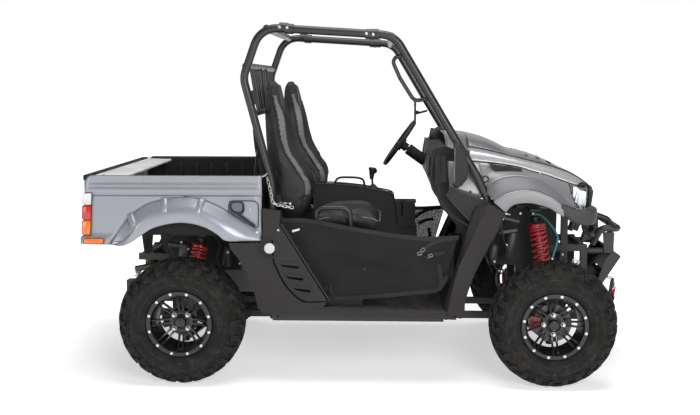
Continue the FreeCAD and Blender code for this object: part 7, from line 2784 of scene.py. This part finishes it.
@dataclass
class CabSides:
    """The posts, shoulder panels, quarter panel details, fuel cap, mirrors and sill trim."""

    skin_y: float = 0.690
    inner: tuple[Row, ...] = (
        (0.428, 0.408), (0.440, 0.440), (0.466, 0.539), (0.510, 0.679), (0.544, 0.817), (0.571, 0.891),
        (0.588, 0.935)
    )
    crease: tuple[Row, ...] = ((0.443, 0.376), (0.452, 0.412), (0.498, 0.613), (0.573, 0.780), (0.652, 0.955))
    outer: tuple[Row, ...] = (
        (0.515, 0.360), (0.530, 0.400), (0.534, 0.456), (0.576, 0.586), (0.637, 0.716), (0.690, 0.817),
        (0.740, 0.934)
    )
    strip: tuple[Row, ...] = (
        (-0.420, 0.846), (-0.173, 0.450), (-0.279, 0.447), (-0.328, 0.471), (-0.379, 0.525), (-0.407, 0.569),
        (-0.428, 0.615), (-0.446, 0.660), (-0.452, 0.78)
    )
    cap_at: Row = (-0.470, 0.723)

    def build(self) -> None:
        """Makes the side panels' details and both mirrors."""
        self.build_posts()
        self.build_quarters()
        self.build_mirrors()

    def build_posts(self) -> None:
        """Makes the front posts with their crease and the dark shoulder panels above them, with lighter grey
        tubes along the panels' edges as painted highlight lines.
        """
        middle = even(plane_line(0.695, self.crease), 12)
        lines = [
            plane_line(0.600, self.inner), plane_line(0.660, self.inner),
            plane_line(0.664, [(x + 0.002, z) for x, z in self.inner]),
            [(p.x - 0.003, 0.6938, p.z) for p in middle], [tuple(p) for p in middle],
            [(p.x + 0.003, 0.6942, p.z) for p in middle],
            plane_line(0.676, [(x - 0.003, z) for x, z in self.outer]), plane_line(0.670, self.outer),
            plane_line(0.600, self.outer)
        ]
        panel(
            "front_post_skins", Body.CHASSIS, CAB_PLASTIC, "dark_grey_plastic", lines, 30, 3,
            stands_for=("front_posts",)
        )
        shoulder = [
            (0.447, 1.036), (0.533, 1.003), (0.606, 0.977), (0.655, 0.955), (0.612, 0.905), (0.566, 0.852),
            (0.505, 0.918), (0.462, 0.965), (0.434, 1.003)
        ]
        shape = Shape()
        for side in LEFT_FIRST:
            shape.prism(shoulder, side * 0.560, side * 0.636)
            shape.prism(
                [(0.590, 0.934), (0.655, 0.960), (0.735, 0.938), (0.690, 0.905)], side * 0.600, side * 0.655
            )
        shape.done("shoulder_panels", Body.CHASSIS, [CAB_PLASTIC], "dark_grey_plastic", bevel=0.005, sharp=25)
        # Lighter grey tubes along the shoulder panels' edges: painted highlight lines.
        lips = Shape()
        for side in LEFT_FIRST:
            lips.tube(
                smooth_path(
                    [
                        (0.447, side * 0.634, 1.036), (0.533, side * 0.634, 1.003),
                        (0.606, side * 0.634, 0.977), (0.650, side * 0.634, 0.958)
                    ],
                    4
                ),
                0.0035, 8
            )
            lips.tube(
                smooth_path(
                    [
                        (0.434, side * 0.636, 1.003), (0.462, side * 0.636, 0.965),
                        (0.505, side * 0.636, 0.918), (0.566, side * 0.636, 0.852)
                    ],
                    4
                ),
                0.0040, 8
            )
        lips.done("shoulder_painted_highlights", Body.CHASSIS, [BUMPER_GREY], "dark_grey_plastic", sharp=60)

    def build_quarters(self) -> None:
        """Adds the raised strip, the louvres with near-black painted shade in their openings and along the
        strip's edge, a darker plate by the dash as painted shade of a recess, the fuel cap, the sill rib and
        the screws.
        """
        y = self.skin_y
        skin, cap, pale, louvre_shade = Shape(), Shape(), Shape(), Shape()
        for side in LEFT_FIRST:
            # A darker plate by the dash end stands for a recess: painted shade.
            cap.prism(
                [(0.380, 1.190), (0.428, 1.200), (0.436, 1.070), (0.380, 1.050)], side * 0.618, side * 0.6425
            )
            skin.tube(
                smooth_path(
                    [
                        (0.372, side * 0.638, 1.224), (0.360, side * 0.640, 1.150),
                        (0.356, side * 0.640, 1.072), (0.368, side * 0.640, 1.020),
                        (0.410, side * 0.640, 0.962), (0.470, side * 0.640, 0.890),
                        (0.548, side * 0.640, 0.838)
                    ],
                    5
                ),
                0.005, 10
            )
            cap.tube(
                smooth_path(
                    [
                        (0.392, side * 0.646, 1.225), (0.400, side * 0.650, 1.150),
                        (0.394, side * 0.650, 1.070), (0.404, side * 0.646, 1.000)
                    ],
                    5
                ),
                0.006, 10
            )
            skin.prism(self.strip, side * (y - 0.004), side * (y + 0.0045))
            skin.prism(
                [(-0.402, 0.842), (-0.158, 0.452), (-0.168, 0.452), (-0.413, 0.842)], side * (y - 0.05),
                side * (y + 0.001)
            )
            skin.prism(
                [(-0.250, 0.411), (0.440, 0.400), (0.440, 0.392), (-0.250, 0.403)], side * (y - 0.010),
                side * (y + 0.0050)
            )
            for x0, z0, x1, z1 in (
                (-0.420, 0.646, -0.316, 0.636), (-0.390, 0.584, -0.292, 0.574), (-0.353, 0.524, -0.254, 0.512)
            ):
                path = smooth_path(
                    [
                        (x0, side * (y + 0.0045), z0),
                        ((x0 + x1) / 2, side * (y + 0.0045), (z0 + z1) / 2 + 0.001),
                        (x1, side * (y + 0.0045), z1)
                    ],
                    6
                )
                skin.sweep(
                    path,
                    [(-0.010, -0.004), (0.006, -0.004), (0.002, 0.007), (-0.004, 0.009), (-0.009, 0.004)],
                    lambda t: 0.35 + 0.65 * min(1.0, 6 * t, 6 * (1 - t)), up=Y_AXIS
                )
                # Each opening under a louvre hood is a near-black plate: painted shade in the opening.
                louvre_shade.prism(
                    [
                        (x0 + 0.004, z0 - 0.006), (x1 - 0.002, z1 - 0.006), (x1 - 0.010, z1 - 0.018),
                        (x0 + 0.020, z0 - 0.018)
                    ],
                    side * y, side * (y + 0.0054)
                )
            # A near-black tube along the raised strip's edge: painted shade of the recess line.
            louvre_shade.tube(
                smooth_path([(x - 0.004, side * (y + 0.0012), z - 0.002) for x, z in self.strip[:0:-1]], 4),
                0.0036, 8
            )
            at = Vector((self.cap_at[0], side * (y - 0.004), self.cap_at[1]))
            cap.lathe(
                [
                    (0.056, 0.0), (0.057, 0.007), (0.054, 0.010), (0.046, 0.0095), (0.041, 0.004),
                    (0.030, 0.003), (0.028, -0.004), (0.050, -0.004)
                ],
                at, outward(side), 44, closed=True
            )
            pale.lathe(
                [
                    (0.0005, 0.002), (0.026, 0.002), (0.0275, 0.006), (0.0265, 0.0095), (0.022, 0.011),
                    (0.0005, 0.0115)
                ],
                at, outward(side), 36
            )
            pale.merge(button_bolt(0.0062, 0.004), facing((-0.424, side * (y + 0.004), 0.818), outward(side)))
        skin.done("quarter_details", Body.CHASSIS, [CAB_PLASTIC], "dark_grey_plastic", bevel=0.0022, sharp=25)
        cap.done("fuel_cap_rings_and_painted_recess", Body.CHASSIS, [TRIM_PLASTIC], "black_plastic", sharp=35)
        louvre_shade.done("louvre_painted_shade", Body.CHASSIS, [SLOT_PAINTED_SHADE], "black_plastic", sharp=35)
        pale.done("fuel_cap_face", Body.CHASSIS, [RAIL_WHITE], "silver_paint", sharp=35)

    def build_mirrors(self) -> None:
        """Makes the rounded near mirror, the thin far one and their arms."""
        profile = (
            (0.466, 1.050), (0.480, 1.046), (0.506, 1.062), (0.528, 1.092), (0.536, 1.130), (0.533, 1.175),
            (0.521, 1.222), (0.503, 1.256), (0.484, 1.270), (0.466, 1.268)
        )
        shell, glass = Shape(), Shape()
        rings = []
        for y, size in (
            (0.652, 0.70), (0.655, 0.86), (0.664, 0.96), (0.685, 1.0), (0.780, 1.0), (0.800, 0.96),
            (0.811, 0.86), (0.814, 0.70)
        ):
            rings.append([(0.466 + (x - 0.466) * size, -y, 1.158 + (z - 1.158) * size) for x, z in profile])
        shell.rings(rings)
        glass.box((0.4652, -0.796, 1.070), (0.4672, -0.672, 1.246))
        shell.tube(
            smooth_path([(0.505, -0.612, 1.215), (0.505, -0.640, 1.205), (0.500, -0.662, 1.190)], 4), 0.009,
            12
        )
        rings = []
        for x, size in ((0.300, 0.92), (0.303, 1.0), (0.309, 0.98), (0.312, 0.88)):
            rings.append(
                [
                    (x, 0.690 + a * size * 0.085, 1.380 + b * size * 0.082) for a,
                    b in (
                        (-1, -0.7), (-0.8, -1), (0.8, -1), (1, -0.7), (1, 0.7), (0.8, 1), (-0.8, 1), (-1, 0.7)
                    )
                ]
            )
        shell.rings(rings)
        glass.box((0.2985, 0.615, 1.308), (0.3005, 0.765, 1.452))
        shell.tube(
            smooth_path([(0.306, 0.650, 1.380), (0.330, 0.628, 1.378), (0.382, 0.612, 1.392)], 4), 0.007, 12
        )
        shell.lathe(
            [(0.004, -0.012), (0.013, -0.010), (0.013, 0.010), (0.004, 0.012)], Vector((0.318, 0.640, 1.379)),
            Z_AXIS, 18
        )
        shell.done(
            "mirror_shells", Body.CHASSIS, [CAB_PLASTIC], "black_plastic", bevel=0.002, sharp=30,
            stands_for=("mirrors",)
        )
        glass.done("mirror_glasses", Body.CHASSIS, [MIRROR_GLASS], "mirror_black", bevel=0.001, sharp=30)


@dataclass
class CabFittings:
    """The console's bar and pocket, the shifter knob, the belts, the cage couplers and bolts."""

    chain: tuple[Row, ...] = (
        (-0.484, 1.086), (-0.474, 1.050), (-0.464, 1.000), (-0.454, 0.955), (-0.430, 0.945), (-0.390, 0.936),
        (-0.350, 0.930)
    )
    links: int = 14

    def build(self) -> None:
        """Makes the small things in and round the cab."""
        self.build_console()
        self.build_cage()
        self.build_belts()

    def build_console(self) -> None:
        """Adds the hold bar, the T-shaped knob, the pocket rim and the console lip."""
        shape = Shape()
        shape.tube(
            smooth_path(
                [
                    (-0.166, 0.0, 0.976), (-0.164, 0.0, 1.006), (-0.140, 0.0, 1.024), (-0.085, 0.0, 1.026),
                    (-0.030, 0.0, 1.022), (-0.004, 0.0, 1.006), (0.003, 0.0, 0.958)
                ],
                6
            ),
            0.0065, 12
        )
        shape.lathe(
            [
                (0.0005, 0.0), (0.009, 0.002), (0.012, 0.020), (0.018, 0.050), (0.022, 0.062), (0.020, 0.069),
                (0.0005, 0.071)
            ],
            Vector((0.040, 0.0, 1.014)), Vector((0.10, 0, 1)), 24
        )
        outline = [(-0.060, -0.050), (0.060, -0.050), (0.060, 0.050), (-0.060, 0.050)]
        shape.tube([(0.235 + a, b, 0.892) for a, b in outline], 0.006, 10, closed=True)
        for y in (-0.0665, 0.0665):
            shape.tube(
                smooth_path(
                    [
                        (-0.288, y, 0.995), (-0.159, y, 0.990), (-0.014, y, 0.976), (0.077, y, 0.958),
                        (0.156, y, 0.940), (0.172, y, 0.900), (0.190, y, 0.770)
                    ],
                    4
                ),
                0.004, 8
            )
        shape.done("console_fittings", Body.CHASSIS, [TRIM_PLASTIC], "black_plastic", sharp=40)

    def build_cage(self) -> None:
        """Adds the coupler sleeves and the clamp bolts on the cage."""
        rings, bolts = Shape(), Shape()
        for side in LEFT_FIRST:
            for a, b in (((-0.420, 1.8460), (-0.372, 1.8430)), ((0.020, 1.8125), (0.062, 1.8085))):
                rings.tube([(a[0], side * 0.610, a[1]), (b[0], side * 0.610, b[1])], 0.0255, 24)
                for x, z in (a, b):
                    bolts.merge(
                        hex_bolt(0.0055, 0.005),
                        facing((x * 0.8 + b[0] * 0.1 + a[0] * 0.1, side * 0.6355, z), outward(side))
                    )
        rings.done("cage_couplers", Body.CHASSIS, [CAGE_BLACK], "black_metal", bevel=0.002, sharp=30)
        bolts.done("cage_bolts", Body.CHASSIS, [ZINC], "steel", sharp=25)

    def build_belts(self) -> None:
        """Adds the belt webbing, its reels and the metal fittings beside both seats."""
        straps, metal = Shape(), Shape()
        flat = ribbon(0.020, 0.0012)
        for side in LEFT_FIRST:
            on = 0.020 if side > 0 else 0.0
            y = side * 0.583
            straps.sweep(
                smooth_path(
                    [
                        (-0.545 + on, y, 1.330), (-0.530, y, 1.200), (-0.492, y, 1.060), (-0.455, y, 0.965),
                        (-0.400, y, 0.935)
                    ],
                    6
                ),
                flat, up=Y_AXIS
            )
            straps.box((-0.470, y - 0.020, 0.925), (-0.425, y + 0.020, 0.985))
            for x, z in (
                (-0.470, 1.060), (-0.462, 1.020), (-0.452, 0.975), (-0.430, 0.952), (-0.398, 0.944),
                (-0.372, 0.942)
            ):
                metal.merge(hex_bolt(0.0050, 0.004), facing((x, y + side * 0.004, z), outward(side)))
            metal.tube(
                smooth_path(
                    [
                        (-0.482, y + side * 0.004, 1.092), (-0.468, y + side * 0.006, 1.040),
                        (-0.455, y + side * 0.006, 0.985), (-0.425, y + side * 0.006, 0.948),
                        (-0.380, y + side * 0.006, 0.944)
                    ],
                    5
                ),
                0.0030, 8
            )
            self.add_chain(metal, side)
            metal.tube(
                smooth_path(
                    [
                        (-0.510, side * 0.640, 1.088), (-0.498, side * 0.636, 1.092),
                        (-0.486, side * 0.628, 1.104)
                    ],
                    4
                ),
                0.0045, 10
            )
        straps.done("seat_belts", Body.CHASSIS, [WEBBING], "net_fabric", sharp=40)
        metal.done("belt_hardware", Body.CHASSIS, [ZINC], "steel", sharp=30)

    def add_chain(self, metal: Shape, side: int) -> None:
        """Adds the short link chain from the cage's foot towards the seat.

        Args:
            metal: the shape that gets the links.
            side: -1 for the right-hand side, 1 for the left.
        """
        line = even([Vector((x, side * 0.656, z)) for x, z in self.chain], self.links)
        loop = [
            (-0.0105, -0.0035), (-0.0070, -0.0060), (0.0070, -0.0060), (0.0105, -0.0035), (0.0105, 0.0035),
            (0.0070, 0.0060), (-0.0070, 0.0060), (-0.0105, 0.0035)
        ]
        for k, (start, end) in enumerate(zip(line, line[1:])):
            along, out = (end - start).normalized(), outward(side)
            across = along.cross(out) if k % 2 else out * 0.6 + along.cross(out) * 0.4
            middle = (start + end) / 2
            metal.tube([middle + along * a + across * b for a, b in loop], 0.0016, 6, closed=True)


@dataclass
class RunningGear:
    """The hoses, brackets and fittings that show in the wheel arches and at both ends."""

    drum_at: Row = (1.318, 0.415)
    drum_r: float = 0.0335
    drum_half: float = 0.074
    rope_turns: int = 17
    rope_points: int = 420

    def build(self) -> None:
        """Makes the running gear's small parts."""
        self.build_hoses()
        self.build_clutter()
        self.build_tail()
        self.build_winch()

    def build_hoses(self) -> None:
        """Runs the teal brake hoses and the black lines, with their crimped ends."""
        hoses, lines, metal = Shape(), Shape(), Shape()
        for side in LEFT_FIRST:
            run = smooth_path(
                [
                    (0.904, side * 0.440, 0.880), (0.945, side * 0.455, 0.872), (0.985, side * 0.462, 0.836),
                    (1.028, side * 0.470, 0.776), (1.033, side * 0.476, 0.734), (1.015, side * 0.485, 0.672),
                    (1.003, side * 0.492, 0.640)
                ],
                8
            )
            hoses.tube(run, 0.0052, 12)
            for a, b in ((run[0], run[2]), (run[-1], run[-3])):
                metal.tube([a, b], 0.0078, 12)
            for pts in (
                [(0.760, 0.40, 0.900), (0.745, 0.41, 0.800), (0.772, 0.42, 0.690), (0.805, 0.43, 0.610)],
                [(0.700, 0.36, 0.860), (0.712, 0.37, 0.760), (0.690, 0.38, 0.640), (0.730, 0.40, 0.560)],
                [(-0.800, 0.40, 0.745), (-0.770, 0.41, 0.690), (-0.790, 0.42, 0.620), (-0.760, 0.43, 0.560)],
                [(-1.020, 0.36, 0.730), (-1.060, 0.37, 0.690), (-1.030, 0.39, 0.640), (-1.080, 0.41, 0.600)],
            ):
                lines.tube(smooth_path([(x, side * y, z) for x, y, z in pts], 7), 0.0050, 10)
        hoses.done("brake_hoses", Body.CHASSIS, [HOSE_TEAL], "rubber", sharp=60)
        lines.done("black_hoses", Body.CHASSIS, [BOOT_RUBBER], "rubber", sharp=60)
        metal.done("hose_ends", Body.CHASSIS, [ZINC], "steel", sharp=40)

    def build_clutter(self) -> None:
        """Adds brackets, canisters and bolts behind the wheels."""
        dark, bright = Shape(), Shape()
        for side in LEFT_FIRST:
            for x, z, r, h in (
                (0.795, 0.700, 0.030, 0.140), (0.700, 0.640, 0.026, 0.110), (-0.985, 0.650, 0.030, 0.090),
                (-0.750, 0.620, 0.024, 0.110)
            ):
                dark.lathe(
                    [
                        (0.001, 0.0), (r * 0.9, 0.002), (r, 0.008), (r, h - 0.012), (r * 0.8, h),
                        (r * 0.4, h + 0.008), (0.001, h + 0.009)
                    ],
                    Vector((x, side * 0.345, z - h / 2)), Vector((0.15, 0, 1)), 24
                )
            for x0, z0, x1, z1 in (
                (0.720, 0.865, 0.840, 0.835), (0.735, 0.775, 0.830, 0.790), (-0.700, 0.700, -0.640, 0.600),
                (-1.060, 0.700, -0.960, 0.690), (0.640, 0.700, 0.700, 0.560)
            ):
                dark.prism(
                    [(x0, z0), (x1, z1), (x1 + 0.004, z1 - 0.016), (x0 + 0.004, z0 - 0.018)], side * 0.36,
                    side * 0.395
                )
            for x, z in (
                (0.742, 0.862), (0.752, 0.842), (0.846, 0.872), (0.775, 0.700), (0.712, 0.610),
                (0.738, 0.560), (-0.985, 0.705), (-0.948, 0.668), (-0.732, 0.652), (-0.668, 0.590),
                (1.075, 0.650), (1.092, 0.610), (1.130, 0.600), (1.160, 0.585)
            ):
                bright.merge(hex_bolt(0.0048, 0.006), facing((x, side * 0.398, z), outward(side)))
            bright.tube(
                smooth_path(
                    [(0.735, side * 0.41, 0.850), (0.760, side * 0.415, 0.872), (0.790, side * 0.41, 0.866)],
                    4
                ),
                0.0070, 10
            )
            bright.lathe(
                [(0.006, 0.0), (0.020, 0.0), (0.022, 0.004), (0.020, 0.008), (0.012, 0.009), (0.010, 0.004)],
                Vector((1.146, side * 0.396, 0.612)), outward(side), 24, closed=True
            )
        dark.done("arch_brackets", Body.CHASSIS, [DARK_STEEL], "steel", bevel=0.0015, sharp=30)
        bright.done("arch_fittings", Body.CHASSIS, [ZINC], "steel", sharp=30)

    def build_tail(self) -> None:
        """Adds the hitch ball and the muffler's end cap, outlet and clamps."""
        ball = Shape().lathe(
            [
                (0.0005, 0.0), (0.012, 0.0), (0.012, 0.018), (0.021, 0.020), (0.021, 0.026), (0.012, 0.030),
                (0.0105, 0.036), (0.016, 0.041), (0.0215, 0.050), (0.0235, 0.060), (0.0215, 0.070),
                (0.0160, 0.078), (0.008, 0.082), (0.0005, 0.083)
            ],
            Vector((-1.328, 0.0, 0.418)), Z_AXIS, 32
        )
        ball.done("hitch_ball", Body.CHASSIS, [MACHINED], "steel", sharp=30)
        bar = Shape()
        bar.box((-1.352, -0.024, 0.404), (-1.230, 0.024, 0.420))
        bar.lathe(
            [(0.001, 0.0), (0.022, 0.0), (0.022, 0.014), (0.001, 0.014)], Vector((-1.328, 0.0, 0.390)),
            Z_AXIS, 6
        )
        bar.done("hitch_bar", Body.CHASSIS, [BLACK_COAT], "black_metal", bevel=0.002, sharp=30)
        can = Shape()
        at = Vector((-1.192, -0.150, 0.560))
        can.lathe(
            [
                (0.001, 0.0), (0.018, 0.0), (0.022, 0.006), (0.044, 0.004), (0.055, -0.004), (0.058, -0.012),
                (0.058, -0.30), (0.050, -0.32), (0.001, -0.325)
            ],
            at, TO_THE_RIGHT, 40
        )
        can.lathe(
            [(0.0600, -0.060), (0.0600, -0.078), (0.0575, -0.080), (0.0575, -0.058)], at, TO_THE_RIGHT, 40,
            closed=True
        )
        can.tube(
            smooth_path(
                [
                    at + Vector((0, 0.02, 0)), at + Vector((-0.010, -0.02, -0.006)),
                    at + Vector((-0.042, -0.03, -0.020))
                ],
                4
            ),
            0.014, 16
        )
        can.done("muffler_end", Body.CHASSIS, [EXHAUST_STEEL], "cast_grey", sharp=30)

    def build_winch(self) -> None:
        """Adds the winch rope on its drum, the hook and its red pull strap."""
        rope = Shape()
        path = []
        (x, z), r, n = self.drum_at, self.drum_r, self.rope_points
        for k in range(n + 1):
            t = k / n
            a = math.tau * self.rope_turns * t
            path.append((x + r * math.cos(a), self.drum_half * (2 * t - 1), z + r * math.sin(a)))
        rope.tube(path, 0.0040, 6)
        rope.done("winch_rope", Body.CHASSIS, [ROPE_GREY], "steel", sharp=60)
        hook, strap = Shape(), Shape()
        hook.tube(
            smooth_path(
                [
                    (1.428, 0.0, 0.446), (1.440, 0.0, 0.430), (1.446, 0.0, 0.408), (1.440, 0.0, 0.388),
                    (1.428, 0.0, 0.384), (1.420, 0.0, 0.396)
                ],
                6
            ),
            0.0062, 12
        )
        hook.tube([(1.404, 0.0, 0.452), (1.430, 0.0, 0.446)], 0.0085, 12)
        strap.sweep(
            smooth_path(
                [(1.444, 0.004, 0.398), (1.440, 0.006, 0.366), (1.434, 0.002, 0.335), (1.430, -0.002, 0.306)],
                6
            ),
            ribbon(0.012, 0.0014), up=Y_AXIS
        )
        hook.done("winch_hook", Body.CHASSIS, [ZINC], "steel", sharp=40)
        strap.done("winch_strap", Body.CHASSIS, [STRAP_RED], "net_fabric", sharp=40)


# ---------------------------------------------------------------- frame finishes


@dataclass
class FrameDress:
    """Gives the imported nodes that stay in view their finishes."""

    looks: tuple[tuple[Finish, tuple[str, ...]], ...] = (
        (BLACK_COAT, ("frame", "suspension_arms", "side_rails", "hitch", "brush_guard")),
        (DARK_STEEL, ("half_shafts", "pedals", "steering_rack")),
        (CAST_ALLOY, ("front_knuckle_left", "front_knuckle_right", "rear_knuckles", "powertrain")),
        (
            TRIM_PLASTIC,
            (
                "wheel_liners", "floor_pan", "seat_base", "steering_column", "steering_wheel", "headlights",
                "front_grille", "front_valance", "winch", "mirrors"
            )
        ),
        (EXHAUST_STEEL, ("muffler",)), (CAGE_BLACK, ("roll_cage", "hip_bars")),
        (CAB_PLASTIC, ("quarter_panels", "sill_panels", "front_posts", "console", "dashboard", "front_cowl")),
        (HOOD_PAINT, ("hood",)), (FLARE_PLASTIC, ("front_fenders",)), (TUB_BLACK, ("bed_tub",)),
        (BED_PAINT, ("bed_sides", "tailgate")), (RED_LENS, ("tail_lamps",)), (SPRING_RED, ("shocks",)),
        (NET_BLACK, ("side_nets",)), (SEAT_BLACK, ("seat_cushions", "seat_backs"))
    )
    groups: tuple[tuple[str, Finish], ...] = (("tyre_", TYRE_RUBBER), ("rim_", RIM_GLOSS))

    def dress(self) -> None:
        """Puts each node's finish on its object."""
        named = {name: finish for finish, names in self.looks for name in names}
        for name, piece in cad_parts.items():
            finish = named.get(name)
            if finish is None:
                finish = next((look for start, look in self.groups if name.startswith(start)), TRIM_PLASTIC)
            mesh = piece.data
            if not mesh.materials:
                mesh.materials.append(None)
            for i in range(len(mesh.materials)):
                mesh.materials[i] = finish.material()
            LOG.info("node %s wears %s", name, finish.name)


# ---------------------------------------------------------------- studio


@dataclass
class Studio:
    """The pale floor, the soft lamps and the camera."""

    camera_at: Point = (0.13397, -5.80208, 1.57066)
    pitch_deg: float = 7.0692
    yaw_deg: float = 2.1341
    lens_mm: float = 52.05
    floor_half: float = 60.0
    floor_tone: float = 0.86
    floor_drop: float = 0.0005
    sensor_mm: float = 36.0
    lamp_aim: Point = (0.0, 0.0, 0.8)
    lamps: tuple[tuple[str, Point, float, float], ...] = (
        ("key", (2.2, -6.6, 3.0), 3.2, 230.0),
        ("fill", (-5.2, -5.0, 1.9), 3.0, 70.0),
        ("rim", (0.2, -0.6, 5.6), 4.6, 260.0),
    )
    horizon_glow: float = 0.72
    zenith_glow: float = 0.06
    glow_from: float = 0.02
    glow_to: float = 0.62
    near_lift: float = 0.52
    far_lift: float = 1.05
    lift_from: float = 1.1
    lift_to: float = 3.4
    lift_stretch: float = 0.62

    def build(self) -> None:
        """Makes the whole studio."""
        self.build_floor()
        self.build_world()
        self.build_lamps()
        self.build_camera()

    def build_floor(self) -> None:
        """Makes the floor, white to the eye away from the shadow."""
        shape = Shape()
        s = self.floor_half
        shape.add([(-s, -s, 0), (s, -s, 0), (s, s, 0), (-s, s, 0)], [(0, 1, 2, 3)])
        mesh = bpy.data.meshes.new("floor")
        mesh.from_pydata([tuple(p) for p in shape.verts], [], shape.faces)
        floor = bpy.data.objects.new("floor", mesh)
        floor.location.z = -self.floor_drop
        bpy.context.scene.collection.objects.link(floor)
        look = bpy.data.materials.new("look_floor")
        look.use_nodes = True
        w = Wiring(look.node_tree)
        shader = look.node_tree.nodes["Principled BSDF"]
        mottle = w.between(w.noise(0.7, 4.0), 0.3, 0.7)
        w.feed(
            shader.inputs["Base Color"],
            w.blend(mottle, (self.floor_tone,) * 3, (self.floor_tone * 1.02,) * 3)
        )
        shader.inputs["Roughness"].default_value = 0.9
        shader.inputs["Specular IOR Level"].default_value = 0.0
        rays = w.add("LightPath")
        seen = w.sum(
            "MAXIMUM", rays.outputs["Is Camera Ray"],
            w.sum("MAXIMUM", rays.outputs["Is Glossy Ray"], rays.outputs["Is Transmission Ray"])
        )
        spot = w.add("SeparateXYZ", {0: w.add("TexCoord").outputs["Object"]})
        across = w.sum("MULTIPLY", spot.outputs["X"], self.lift_stretch)
        reach = w.sum(
            "SQRT",
            w.sum(
                "ADD", w.sum("MULTIPLY", across, across),
                w.sum("MULTIPLY", spot.outputs["Y"], spot.outputs["Y"])
            ),
            0.0
        )
        glow = w.between(reach, self.lift_from, self.lift_to, self.near_lift, self.far_lift)
        lift = w.add("Emission", {"Color": (1.0, 1.0, 1.0), "Strength": w.sum("MULTIPLY", seen, glow)})
        both = w.add("AddShader", {0: shader.outputs[0], 1: lift.outputs[0]})
        w.feed(look.node_tree.nodes["Material Output"].inputs["Surface"], both.outputs[0])
        mesh.materials.append(look)

    def build_world(self) -> None:
        """Makes the world: white to the eye, softer as a light."""
        world = bpy.data.worlds.new("studio")
        world.use_nodes = True
        w = Wiring(world.node_tree)
        sky = world.node_tree.nodes["Background"]
        sky.inputs["Color"].default_value = (1.0, 1.0, 1.0, 1.0)
        rays = w.add("LightPath")
        seen_flat = w.sum("MAXIMUM", rays.outputs["Is Camera Ray"], rays.outputs["Is Transmission Ray"])
        height = w.add("SeparateXYZ", {0: w.add("TexCoord").outputs["Generated"]}).outputs["Z"]
        glow = w.between(height, self.glow_from, self.glow_to, self.horizon_glow, self.zenith_glow)
        w.feed(sky.inputs["Strength"], w.sum("MAXIMUM", seen_flat, glow))
        bpy.context.scene.world = world

    def build_lamps(self) -> None:
        """Hangs three large soft lamps."""
        for name, at, size, energy in self.lamps:
            data = bpy.data.lights.new(name, "AREA")
            data.shape = "DISK"
            data.size = size
            data.energy = energy
            lamp = bpy.data.objects.new(name, data)
            lamp.location = at
            lamp.rotation_euler = (Vector(self.lamp_aim) - Vector(at)).to_track_quat("-Z", "Y").to_euler()
            bpy.context.scene.collection.objects.link(lamp)

    def build_camera(self) -> None:
        """Sets the camera at the eye of a person standing beside the vehicle."""
        data = bpy.data.cameras.new("camera")
        data.lens = self.lens_mm
        data.sensor_width = self.sensor_mm
        camera = bpy.data.objects.new("camera", data)
        camera.location = self.camera_at
        camera.rotation_euler = (math.radians(90.0 - self.pitch_deg), 0.0, math.radians(self.yaw_deg))
        bpy.context.scene.collection.objects.link(camera)
        bpy.context.scene.camera = camera
        bpy.context.scene.view_settings.view_transform = "Standard"


# ---------------------------------------------------------------- the whole vehicle

ASSEMBLIES: tuple = (
    *WHEELS, *CALIPERS, *SHOCKS, BedSide(), TailLamps(), BedFittings(), Tailgate(), FrontBody(), Seats(),
    SideNets(), CabSides(), CabFittings(), RunningGear()
)


def main() -> None:
    """Builds every sub-assembly in order."""
    logging.basicConfig(level=logging.INFO, format="%(message)s")
    Studio().build()
    FrameDress().dress()
    for assembly in ASSEMBLIES:
        LOG.info("building %s", assembly.__class__.__name__)
        assembly.build()


if __name__ == "__main__":
    main()
